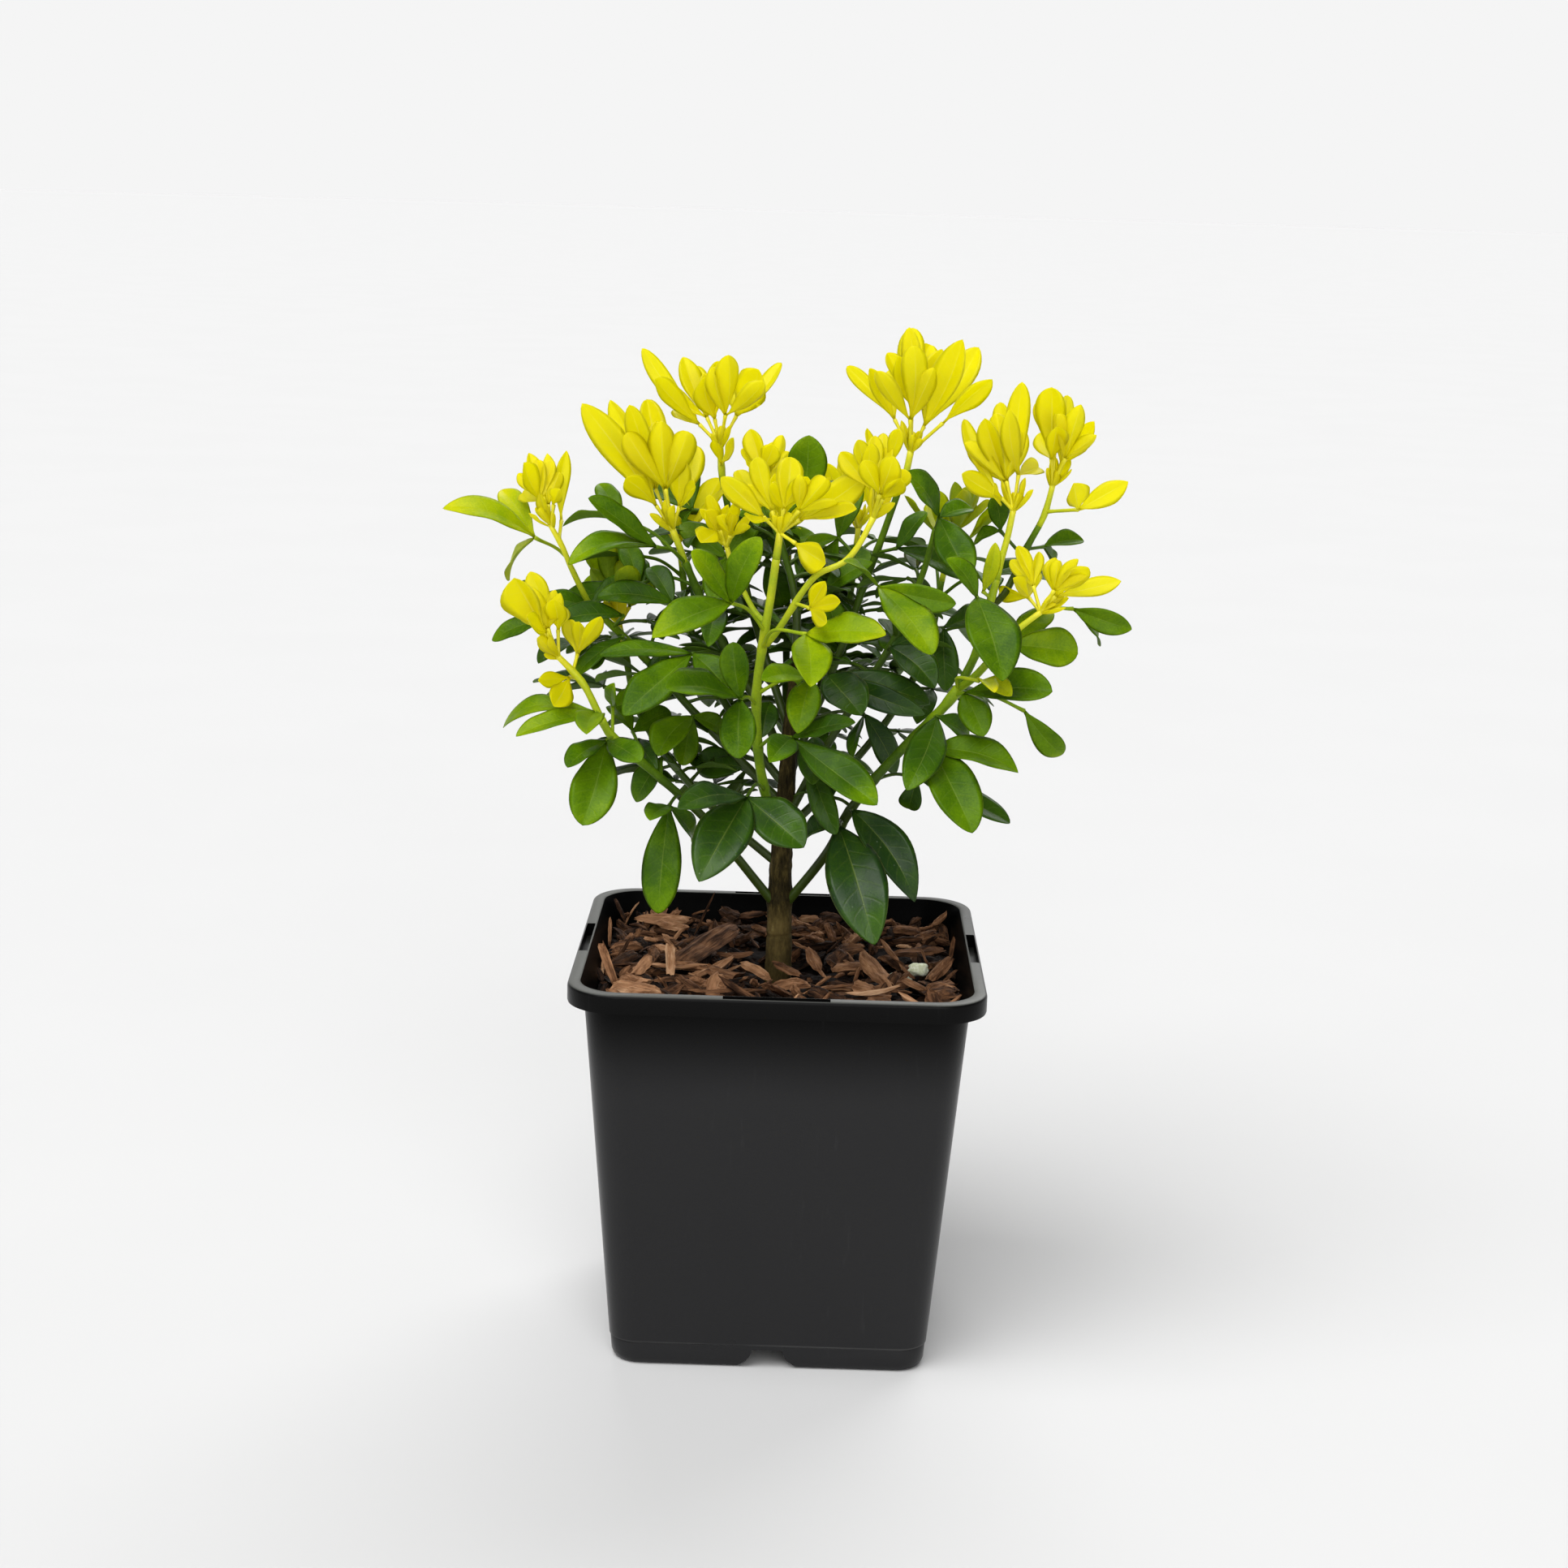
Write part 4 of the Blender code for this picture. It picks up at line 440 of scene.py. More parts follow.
def seen(x, z, depth):
    """The place at this depth that looks as if it lay at (x, z) on the pot's middle plane; all in mm."""
    flat = Vector((x, 0.0, z)) * MM
    return EYE + (flat - EYE) * (1.0 - depth * MM / EYE.y)


def leaf(x, z, depth, width, roll=0.0, arch=None):
    """One leaflet by its tip: its depth is from the leaf's joint, roll turns it about its midrib."""
    return {"tip": (x, z, depth), "width": width * MM, "roll": math.radians(roll), "arch": arch}


def fan(x, z, depth, *leaflets):
    """One compound leaf: its joint, where the leaflets meet, and the leaflets."""
    joint = seen(x, z, depth)
    grown = []
    for leaflet in leaflets:
        tip_x, tip_z, deeper = leaflet["tip"]
        grown.append({**leaflet, "tip": seen(tip_x, tip_z, depth + deeper)})
    return {"joint": joint, "leaflets": grown}


def stem_with(name, colour, parent, path, radii, fans):
    """One shoot or spray: its stem with the radii at its foot and tip in mm, and its compound leaves."""
    return {
        "name": name,
        "colour": colour,
        "parent": parent,
        "path": path,
        "radii": (radii[0] * MM, radii[1] * MM),
        "fans": fans,
    }


def shoot(name, colour, parent, path, radii, *fans):
    """A stem through the given (x, z, depth) places, with its compound leaves."""
    return stem_with(name, colour, parent, [seen(*place) for place in path], radii, fans)


def visible_shoots():
    """The shoots that the front view shows, each after the one that carries it."""
    return [
        shoot(
            "shoot_front", "green", "trunk",
            [(0, 171, -1), (-4, 182, -7), (-7.5, 194, -11), (-9.5, 206, -14), (-10.5, 225, -17),
             (-9, 241, -19), (-6.5, 259, -21), (-5, 272, -22)],
            (1.9, 1.4),
            fan(-13, 188.5, -40, leaf(-29, 157.5, -26, 18.5), leaf(7.5, 171, -14, 16.5),
                leaf(-37, 183.5, -16, 12)),
            fan(-16, 223, -32, leaf(-42, 226, -24, 14.5, 10), leaf(-16, 202, -14, 12.5),
                leaf(-19, 243, 2, 10)),
            fan(-20, 256.5, -38, leaf(-47, 243.5, -12, 13), leaf(-34, 274, -6, 11),
                leaf(-10.5, 279.5, -8, 10.5)),
            fan(6, 246.5, -42, leaf(33.5, 247, -14, 13), leaf(8, 228, -24, 13.5)),
            fan(2, 210, -34, leaf(32.5, 187, -20, 14), leaf(24, 216, -4, 9.5),
                leaf(-5.5, 201, -14, 10.5)),
            fan(8, 231, -27, leaf(4, 211.5, -14, 11.5), leaf(-9, 230, 2, 9.5)),
        ),
        shoot(
            "shoot_left_low", "green", "trunk",
            [(-2, 150, -1), (-9, 158.5, -3), (-16, 167, -6), (-27, 180, -11), (-38, 190, -15),
             (-50, 200, -18), (-60, 208.5, -20), (-64, 214.5, -21)],
            (1.7, 1.4),
            fan(-40, 184.5, -28, leaf(-43, 145.5, -12, 13.5), leaf(-46.5, 179, -24, 9),
                leaf(-32, 172, 14, 9)),
            fan(-43, 201.5, -10, leaf(-51.5, 185.5, -16, 10), leaf(-38, 197, 12, 8)),
            fan(-62, 207, -30, leaf(-70, 176.5, -18, 15.5), leaf(-75.5, 197, -18, 9),
                leaf(-50, 200, -14, 10)),
            fan(-53, 210.5, -4, leaf(-61, 219.5, 16, 8), leaf(-40, 218, 16, 8, 45)),
            fan(-66, 217, -24, leaf(-93.5, 207.5, -10, 9), leaf(-98, 210.5, 8, 9.5, 0, 0.2),
                leaf(-69, 209, -26, 10)),
            fan(-60, 219, -12, leaf(-59.5, 227.5, -4, 6, 50), leaf(-49, 225, 14, 8)),
        ),
        shoot(
            "shoot_left_mid", "green", "trunk",
            [(-1, 187, 2), (-14, 200, 6), (-30, 216, 10), (-45, 232, 11), (-58, 245, 9),
             (-68, 253.5, 5)],
            (1.6, 1.2),
            fan(-32.5, 216.5, 2, leaf(-44, 202, -18, 14, 15), leaf(-35.5, 199, 6, 9, -20),
                leaf(-21, 211, 14, 8, 30)),
            fan(-13, 199, 14, leaf(-31, 200.5, 10, 12, -20), leaf(-14, 185, 18, 11)),
            fan(-50, 231, 4, leaf(-66, 227.5, 8, 8, 60), leaf(-69, 233, 14, 8, 70)),
            fan(-57, 243.5, -2, leaf(-73, 229.5, -12, 9, 15), leaf(-64, 236, 14, 9)),
            fan(-40, 256, 2, leaf(-66, 257, -4, 10), leaf(-48, 268, 12, 9), leaf(-43, 243, 6, 10)),
            fan(-57, 251, 0, leaf(-79.5, 248, -8, 9)),
            fan(-80, 250, 10, leaf(-102, 241, 4, 9), leaf(-92, 262, 14, 8)),
            fan(-68, 253.5, 4, leaf(-88, 255, 8, 8), leaf(-57.5, 265.5, -4, 6)),
            fan(-87.5, 277, 4, leaf(-119, 286, -6, 10, 10, 0.2), leaf(-99, 293, 18, 9),
                leaf(-96, 262, 22, 9)),
        ),
        shoot(
            "shoot_left_up", "green", "trunk",
            [(-1, 203, 3), (-9, 220, 9), (-20, 238, 13), (-29, 255, 12), (-36, 270, 8)],
            (1.7, 1.3),
            fan(-33, 238.5, -12, leaf(-56.5, 216, -18, 14.5), leaf(-65, 237, -6, 9),
                leaf(-20.5, 226, -10, 12)),
            fan(-46, 275, -4, leaf(-69.5, 291, -10, 9), leaf(-76, 268, -16, 10, 0, 0.16),
                leaf(-70, 276.5, 6, 8.5)),
            fan(-52, 262, 10, leaf(-82, 256, -6, 10), leaf(-57, 276, 12, 9)),
            fan(-58, 284, 16, leaf(-78, 281, 8, 8, 50), leaf(-66, 296, 10, 8)),
            fan(-22, 272, 14, leaf(-38, 283, 10, 10), leaf(-12, 290, 6, 10), leaf(-26, 256, -4, 10)),
        ),
        shoot(
            "shoot_top", "green", "trunk",
            [(0.5, 214, 4), (-7, 236, 15), (-14, 258, 24), (-20, 281, 29), (-24, 299, 30)],
            (1.6, 1.2),
            fan(-34, 288, 34, leaf(-52, 296, 10, 10), leaf(-44, 276, 4, 10), leaf(-36, 304, 14, 9)),
            fan(-8, 272, 34, leaf(8, 281, 12, 11), leaf(-2, 256, 8, 11), leaf(-10, 290, 12, 9)),
            fan(-32, 244, 30, leaf(-50, 248, 10, 11), leaf(-38, 228, 8, 11)),
        ),
        shoot(
            "shoot_centre", "green", "trunk",
            [(3, 238, 4), (2, 258, 8), (-3, 276, 12), (-8, 289, 14)],
            (1.6, 1.1),
            fan(4, 293, 10, leaf(5, 314.5, -4, 14), leaf(20, 296, 4, 10), leaf(-6, 303, 8, 8)),
            fan(12, 262, 2, leaf(28, 272, 6, 10), leaf(16, 246, 4, 10)),
        ),
        shoot(
            "shoot_right_low", "green", "trunk",
            [(2, 151, -1), (11.5, 163.5, -5), (17, 172, -9), (22, 183, -13), (31, 196, -17),
             (42, 209, -19), (53, 221, -20), (59, 229, -19)],
            (1.7, 1.7),
            fan(19.5, 179, -26, leaf(33.5, 136.5, -32, 20), leaf(6, 171, 18, 13)),
            fan(24, 185, -22, leaf(47, 152.5, -16, 14.5, 0, 0.18)),
            fan(46, 197, -8, leaf(79, 182, -4, 11), leaf(43.5, 186, 4, 8)),
            fan(66, 232, -32, leaf(77.5, 227, -14, 7), leaf(71.5, 228, -22, 6)),
            fan(51, 208, -30, leaf(66, 178, -26, 16.5), leaf(81, 200, -8, 13)),
            fan(52, 219, -27, leaf(42.5, 192.5, -26, 13), leaf(63.5, 212, -2, 9)),
            fan(61, 227.5, -23, leaf(90, 236.5, -12, 13.5), leaf(68.5, 212.5, -16, 11)),
            fan(82, 222, -8, leaf(96, 207, 4, 9, 50, 0.16)),
        ),
        shoot(
            "shoot_right_mid", "green", "trunk",
            [(1.5, 196, 3), (10, 220, 8), (19, 244, 9), (25, 263, 8), (30, 278, 7), (36, 297, 7)],
            (1.6, 1.2),
            fan(13.5, 232.5, -12, leaf(26, 218.5, -18, 15), leaf(48, 219.5, -16, 9, 20),
                leaf(49.5, 223.5, 0, 12)),
            fan(27, 219, 4, leaf(38.5, 198, 4, 10), leaf(23.5, 203.5, -16, 8, 55)),
            fan(36, 277, 2, leaf(60, 266.5, 6, 10, 0, 0.14), leaf(46, 289.5, -2, 8)),
            fan(16, 280, 18, leaf(2, 272, 8, 10), leaf(22, 300, 10, 9), leaf(12, 262, 6, 10)),
        ),
        shoot(
            "shoot_right_up", "green", "trunk",
            [(2, 183, 0), (14, 207, -3), (30, 234, -5), (38, 249, -6), (45, 268, -7), (49, 284, -7)],
            (1.6, 1.1),
            fan(8, 203, -13, leaf(18.7, 176, -12, 9, 30), leaf(32.5, 196, 20, 9)),
            fan(30.5, 263.5, -38, leaf(49.5, 240.5, -30, 14.5), leaf(57, 258.5, -4, 9, 45),
                leaf(18, 272, -4, 8, 35)),
            fan(35, 243, -10, leaf(51, 229, -10, 12.5), leaf(52, 250, 12, 10)),
            fan(53, 250, 6, leaf(54.5, 228, -6, 10), leaf(70, 256, 10, 10)),
            fan(50, 288, -12, leaf(61, 267.5, -16, 13), leaf(38, 303, -10, 12),
                leaf(61.5, 291, 2, 8.5)),
        ),
        shoot(
            "shoot_right_high", "green", "shoot_right_low",
            [(59, 229, -19), (65, 243, -15), (68, 257, -12), (70.5, 267, -10)],
            (1.6, 1.3),
            fan(64, 261, -30, leaf(74, 232, -24, 18), leaf(53, 274, -2, 9)),
            fan(76, 245, -6, leaf(99.5, 242.5, -4, 15.5), leaf(90, 257, 12, 10)),
            fan(66, 263, -14, leaf(69.5, 280, -2, 5.5, 30)),
        ),
        shoot(
            "shoot_right_out", "green", "shoot_right_low",
            [(59, 229, -19), (64, 233, -24), (70, 240, -23), (77, 249, -17)],
            (1.5, 1.2),
            fan(97, 258, -2, leaf(117.5, 251.5, -2, 8.5, 40), leaf(106, 246, 14, 9)),
        ),
        shoot(
            "shoot_right_far", "green", "shoot_right_high",
            [(68, 257, -12), (73, 262, -6), (76, 268, -3), (80, 278, -1), (84, 286, -1)],
            (1.3, 1.1),
            fan(86, 279, 6, leaf(99.5, 281.5, 6, 8), leaf(90, 268, 12, 9)),
            fan(71, 284, 8, leaf(62, 279, 6, 8), leaf(68, 296, 10, 8)),
        ),
        shoot(
            "spray_left_far", "yellow", "shoot_left_mid",
            [(-68, 253.5, 5), (-71, 259, 1), (-75, 267, -3), (-78, 274, -5), (-82, 281, -6)],
            (1.1, 0.9),
            fan(-82, 281, -6, leaf(-91.5, 302.5, -8, 6.5), leaf(-87, 303.5, 4, 5.5),
                leaf(-82, 301, 10, 5), leaf(-92, 292, 10, 5), leaf(-79, 294, -12, 5)),
            fan(-78.5, 283, 2, leaf(-77, 307, 4, 5, 30)),
        ),
        shoot(
            "spray_left_low", "yellow", "shoot_left_low",
            [(-64, 214.5, -21), (-69.5, 225.5, -21), (-74, 231, -21), (-79, 236, -22)],
            (1.4, 1.1),
            fan(-79, 236, -22, leaf(-94.5, 263, -8, 11.5), leaf(-81, 256, -12, 7),
                leaf(-86, 257, 8, 7), leaf(-78, 254, 6, 5), leaf(-90, 250, -16, 6)),
            fan(-72.5, 237, -16, leaf(-75.5, 249, 4, 5), leaf(-72, 248.5, -6, 5),
                leaf(-64.5, 250.5, 0, 5)),
            fan(-75, 229, -14, leaf(-80.5, 218.5, -8, 7.5), leaf(-86, 227.5, -14, 5)),
        ),
        shoot(
            "spray_left_tall", "yellow", "shoot_left_up",
            [(-36, 270, 8), (-38, 275, 7), (-40.5, 281, 6)],
            (1.2, 1.2),
            fan(-40.5, 281, 6, leaf(-72, 323, -6, 9.5), leaf(-62.5, 324.5, 6, 8),
                leaf(-56, 323, -10, 7), leaf(-50, 325, 8, 8), leaf(-45, 318, 14, 8),
                leaf(-38, 306, -6, 7), leaf(-57, 298, -14, 7), leaf(-33, 296, -12, 7),
                leaf(-33, 310, 12, 7)),
        ),
        shoot(
            "spray_top", "yellow", "shoot_top",
            [(-24, 299, 30), (-24.5, 304, 30), (-25, 310, 30)],
            (1.2, 1.2),
            fan(-25, 310, 30, leaf(-52, 342, 4, 6), leaf(-47.5, 332, -10, 7), leaf(-35, 336, 8, 8),
                leaf(-26.5, 338.5, 2, 7), leaf(-12.5, 336, -4, 12), leaf(-5, 338.5, 8, 5.5),
                leaf(-31, 333, -8, 10), leaf(-18, 330, 14, 9), leaf(-40, 322, 12, 7)),
            fan(-24.5, 304, 26, leaf(-27, 312, -10, 4), leaf(-20.5, 313, -8, 4)),
        ),
        shoot(
            "spray_centre", "yellow", "shoot_centre",
            [(-8, 289, 14), (-8.5, 292, 14), (-9, 296, 14)],
            (1.0, 1.0),
            fan(-9, 296, 14, leaf(-15, 316, 2, 6.5), leaf(-7, 311, -6, 6.5), leaf(-3, 306, 6, 6),
                leaf(-16, 304, -6, 6)),
        ),
        shoot(
            "spray_front_left", "yellow", "shoot_front",
            [(-8, 250, -20), (-12, 254, -16), (-17, 263, -13), (-20.5, 271, -12), (-22, 276, -12)],
            (1.0, 0.9),
            fan(-22, 276, -12, leaf(-29.5, 288, -6, 6), leaf(-24.5, 288.5, 4, 5),
                leaf(-14, 285.5, -2, 5.5), leaf(-31, 277, -16, 8), leaf(-20, 291, -10, 5)),
        ),
        shoot(
            "spray_front", "yellow", "shoot_front",
            [(-5, 272, -22), (-4.5, 276, -22), (-4, 281, -22)],
            (1.4, 1.2),
            fan(-4, 281, -22, leaf(-24.5, 299.5, -4, 7), leaf(-19, 302, 8, 6), leaf(-1, 307, 2, 8),
                leaf(5, 300.5, -8, 7), leaf(9, 297, 6, 7), leaf(25, 301.5, -4, 9),
                leaf(22, 290, -14, 5.5), leaf(-14, 285, -16, 8), leaf(12, 271, -18, 9),
                leaf(-8, 297, -12, 6)),
        ),
        shoot(
            "spray_front_right", "yellow", "shoot_front",
            [(-9.5, 236, -19), (-4, 242.5, -26), (0, 250, -29), (5, 261, -31), (10.5, 269, -32),
             (17.5, 274, -32), (22.5, 281, -32), (27, 291, -31)],
            (1.2, 1.0),
            fan(7, 255.5, -36, leaf(12, 265, -6, 5), leaf(17.5, 258, -10, 5),
                leaf(13, 250.5, -8, 5)),
            fan(27, 291, -31, leaf(21.5, 313.5, 2, 6), leaf(26, 312.5, -6, 6), leaf(34, 307, -4, 6),
                leaf(36.5, 301, -10, 6), leaf(30, 316, 8, 5)),
            fan(31, 303, -24, leaf(24.5, 317.5, 6, 5), leaf(35.5, 317.5, 4, 5)),
        ),
        shoot(
            "spray_tall", "yellow", "shoot_right_mid",
            [(36, 297, 7), (38, 302, 7), (39.5, 310, 7)],
            (1.2, 1.2),
            fan(39.5, 310, 7, leaf(37.5, 351.5, 2, 7), leaf(44.5, 346, 8, 7), leaf(55.5, 348, -4, 9.5),
                leaf(61, 345.5, 8, 9), leaf(66, 335, -8, 7), leaf(34, 342, -8, 6), leaf(31, 337, 8, 6),
                leaf(24.5, 337.5, -2, 6), leaf(17, 338, 10, 5), leaf(48, 330, 14, 8)),
        ),
        shoot(
            "spray_right_tall", "yellow", "shoot_right_high",
            [(70.5, 267, -10), (71.5, 273, -9), (73.5, 282, -8), (75, 291, -8)],
            (1.2, 1.1),
            fan(75, 291, -8, leaf(64, 322, -6, 7), leaf(69, 327.5, 8, 6), leaf(76, 334.5, -2, 7),
                leaf(72, 325, -12, 6), leaf(69, 313, 10, 9), leaf(57, 303, -6, 7),
                leaf(57, 321.5, 12, 5), leaf(68, 296, -16, 7), leaf(83, 306, 12, 6)),
        ),
        shoot(
            "spray_right_far", "yellow", "shoot_right_far",
            [(84, 286, -1), (86, 291, -1), (88, 300, -2)],
            (1.1, 1.0),
            fan(88, 300, -2, leaf(86, 333, -4, 9.5), leaf(91.5, 330.5, 8, 7), leaf(88.5, 320, -12, 7),
                leaf(101, 322, 0, 7), leaf(93.5, 317, 10, 7), leaf(82.5, 317.5, 10, 6)),
            fan(97, 292, -9, leaf(95, 301, -8, 8), leaf(113.5, 302, -2, 7)),
        ),
        shoot(
            "spray_right_low", "yellow", "shoot_right_out",
            [(77, 249, -17), (81, 252.5, -17), (86, 256.5, -17)],
            (1.2, 1.0),
            fan(86, 256.5, -17, leaf(76, 268, -8, 6), leaf(71.5, 263, 6, 5), leaf(90, 275.5, 2, 6),
                leaf(101.5, 272.5, -8, 7), leaf(113, 268, 4, 6), leaf(83, 271, 10, 5)),
        ),
    ]


def level_way(angle):
    """The level direction at this angle from +X."""
    return Vector((math.cos(angle), math.sin(angle), 0.0))


def upward(height):
    """A step straight up."""
    return Vector((0.0, 0.0, height))


def on_path(points, share):
    """The place at this share of the way along a row of points."""
    place = share * (len(points) - 1)
    index = min(int(place), len(points) - 2)
    return points[index].lerp(points[index + 1], place - index)


def smooth_path(points, step):
    """Places about a step apart on the smooth curve through the given points."""
    ends = [2 * points[0] - points[1], *points, 2 * points[-1] - points[-2]]
    path = []
    for before, start, end, after in zip(ends, ends[1:], ends[2:], ends[3:]):
        count = max(1, round((end - start).length / step))
        for index in range(count):
            t = index / count
            path.append(
                0.5 * (2 * start + (end - before) * t
                       + (2 * before - 5 * start + 4 * end - after) * t**2
                       + (3 * start - before - 3 * end + after) * t**3)
            )
    return [*path, points[-1]]


def path_after(points, distance):
    """The path without its first stretch of this length."""
    left = distance
    for index, (a, b) in enumerate(zip(points, points[1:])):
        span = (b - a).length
        if left < span - LEAST_SPAN:
            return [a.lerp(b, left / span), *points[index + 1 :]]
        left = max(0.0, left - span)
    return points[-2:]


def petiole_path(stem, joint, bend):
    """A leaf stalk from the stem to the leaf's joint, which leaves the stem upwards."""
    nearest = min((joint - point).length for point in stem)
    below = joint - upward(PETIOLE_RISE * nearest)
    index = min(range(len(stem)), key=lambda i: (stem[i] - below).length)
    root = stem[index]
    reach = (joint - root).length
    if reach < STALK_BEND_LENGTH and bend.length == 0.0:
        return [root, joint]
    middle = root.lerp(joint, 0.5) + upward(PETIOLE_BOW * reach) + bend * reach
    return [root, middle, joint]


def facing(leaflet, along):
    """The direction that a leaflet's upper side faces, square to its midrib."""
    face = leaflet["face"] - leaflet["face"].project(along)
    return Matrix.Rotation(leaflet["roll"], 3, along) @ face.normalized()


def nudged(base, tip, try_number):
    """The tip moved a little: first along the line of sight, then also to the sides."""
    ring, step = divmod(try_number, 9)
    deeper = (0, -1, 1, -2, 2, -3, 3, -4, 4)[step] * NUDGE_STEP
    turn = (0, 1, -1, 2, -2, 3, -3)[ring] * NUDGE_TURN
    sight = (tip - EYE).normalized()
    moved = Matrix.Rotation(turn, 3, sight) @ (tip - base)
    return base + moved.normalized() * (tip - base).length + sight * deeper


def set_habit(colour, leaflet, rule):
    """How a leaflet of this colour faces, folds and arches."""
    young = colour == "yellow"
    leaflet["fold"] = YOUNG_FOLD if young else GREEN_FOLD
    leaflet["roll"] += math.radians(rule.uniform(-ROLL_SPREAD, ROLL_SPREAD))
    if leaflet["arch"] is None:
        leaflet["arch"] = (YOUNG_ARCH if young else GREEN_ARCH) * rule.uniform(*ARCH_SPREAD)
    if "face" not in leaflet:
        leaflet["face"] = YOUNG_FACE if young else GREEN_FACE


def compound_leaf(rule, joint, out, size, droop):
    """Three leaflets that spread from a joint: one ahead and one to each side."""
    side = out.cross(upward(1.0)).normalized()
    leaflets = []
    for turn, share in ((0.0, 1.0), (SIDE_TURN, SIDE_SHARE), (-SIDE_TURN, SIDE_SHARE)):
        angle = math.radians(turn + rule.uniform(-TURN_SPREAD, TURN_SPREAD))
        flat = out * math.cos(angle) + side * math.sin(angle)
        fall = math.tan(math.radians(droop + rule.uniform(-DROOP_SPREAD, DROOP_SPREAD)))
        along = (flat - upward(fall)).normalized()
        length = size * share * rule.uniform(*LENGTH_SPREAD)
        leaflets.append({
            "tip": joint + along * length,
            "width": length * rule.uniform(*GREEN_WIDTHS),
            "roll": 0.0,
            "arch": None,
            "face": upward(1.0) + FACE_LEAN * out,
        })
    return {"joint": joint, "leaflets": leaflets}


TRUNK_PATH = [
    Vector((x, y, z)) * MM
    for x, y, z in (
        (TRUNK_X, 0, 88), (TRUNK_X, 0, 127), (TRUNK_X, 0, 141), (-0.5, 0, 152), (-0.3, 0, 166),
        (0.4, 0.5, 181), (1.0, 1.5, 200), (1.8, 2.8, 219), (3.0, 4.0, 238),
    )
]


TRUNK_RADII = [radius * MM for radius in (4.6, 4.6, 4.4, 4.2, 3.8, 3.4, 2.9, 2.4, 1.8)]


def on_trunk(height):
    """The trunk's axis at this height."""
    for low, high in zip(TRUNK_PATH, TRUNK_PATH[1:]):
        if low.z <= height <= high.z:
            return low.lerp(high, (height - low.z) / (high.z - low.z))
    return TRUNK_PATH[-1]


# The shoots that lean to the back: angle from +X, height on the trunk, reach, height of the tip, leaf pairs
BACK_SHOOTS = (
    ("back_right", 28, 176, 60, 262, 4),
    ("back_right_tall", 58, 206, 40, 270, 3),
    ("back_far", 92, 182, 44, 262, 4),
    ("back_left", 142, 192, 50, 264, 4),
    ("back_left_low", 162, 164, 60, 236, 4),
)


def back_shoot(name, angle, start, reach, height, pairs):
    """A leafy shoot towards the back, with opposite leaves that turn a quarter from pair to pair."""
    rule = random.Random(name)
    heading = level_way(math.radians(angle))
    low, high = start * MM, height * MM
    path = []
    for share in (0.0, 0.25, 0.5, 0.75, 1.0):
        out = reach * MM * math.sin(share * math.pi / 2) ** SPREAD_POWER
        path.append(on_trunk(low) + heading * out + upward((high - low) * share**RISE_POWER))
    across = heading.cross(upward(1.0))
    fans = []
    for pair in range(pairs):
        share = FIRST_PAIR + (LAST_PAIR - FIRST_PAIR) * pair / (pairs - 1)
        place = on_path(path, share)
        for way in (1, -1):
            level = across * way if pair % 2 else (heading * way + FACE_LEAN * heading)
            out = (level + heading * 0.5).normalized()
            stalk = rule.uniform(*STALK_LENGTHS) * MM
            joint = place + out * stalk * STALK_OUT + upward(stalk * STALK_RISE)
            size = rule.uniform(*LEAF_LENGTHS) * MM * (1.0 - SHRINK * share)
            droop = LOW_DROOP + (TOP_DROOP - LOW_DROOP) * share
            fans.append(compound_leaf(rule, joint, out, size, droop))
    return stem_with("shoot_" + name, "green", "trunk", path, BACK_RADII, fans)


def back_spray(name, carrier):
    """The yellow young leaves at the tip of a back shoot."""
    rule = random.Random(name + " spray")
    start = carrier["path"][-1]
    ahead = (start - carrier["path"][-2]).normalized()
    joint = start + ahead * TUFT_REACH
    leaflets = []
    for index in range(BACK_TUFT):
        angle = index * TUFT_TURN
        lean = math.radians(INNER_LEAN + (OUTER_LEAN - INNER_LEAN) * index / (BACK_TUFT - 1))
        out = level_way(angle)
        upright = (ahead + upward(0.8)).normalized()
        along = upright * math.cos(lean) + out * math.sin(lean)
        length = rule.uniform(*YOUNG_LENGTHS) * MM
        leaflets.append({
            "tip": joint + along.normalized() * length,
            "width": length * rule.uniform(*YOUNG_WIDTHS),
            "roll": 0.0,
            "arch": None,
            "face": upward(0.3) - out,
        })
    path = [start, start + ahead * 0.45 * TUFT_REACH, joint]
    fans = [{"joint": joint, "leaflets": leaflets}]
    return stem_with("spray_" + name, "yellow", carrier["name"], path, TUFT_RADII, fans)


def clear_start(stem, radius, carrier):
    """How far along its path a stem is clear of the one that carries it, given as (path, radii)."""
    walked = 0.0
    room_left = 0.0
    while room_left < radius + STUB_LENGTH:
        walked += STUB_STEP
        place = path_after(stem, walked)[0]
        path, radii = carrier
        room_left = math.inf
        for start, end, thick in zip(path, path[1:], radii):
            nearest, share = intersect_point_line(place, start, end)
            nearest = start.lerp(end, min(1.0, max(0.0, share)))
            room_left = min(room_left, (place - nearest).length - thick)
    return walked


def cad_corners(node):
    """The corners of a CAD node, ready to be searched for the nearest."""
    places = {tuple(corner.co) for corner in frame["nodes"][node].data.vertices}
    corners = KDTree(len(places))
    for index, place in enumerate(sorted(places)):
        corners.insert(place, index)
    corners.balance()
    return corners


def cad_tip(corners, joint, tip):
    """The leaflet's tip where the CAD has it: the first nudge that ends at a corner, or None."""
    for try_number in range(NUDGES):
        place = nudged(joint, tip, try_number)
        if corners.find(place)[2] < MATCH:
            return place
    return None


def cad_stalk(corners, stem, joint):
    """The leaf's stalk as the CAD bends it: three of its corners stand round the middle of its path."""
    for bend in BENDS:
        path = petiole_path(stem, joint, bend)
        nearest = corners.find_n(path[1], 3)
        if len(path) == 3 and all(abs(far - STALK_CORNER) < MATCH for _, _, far in nearest):
            return path
    return petiole_path(stem, joint, BENDS[0])


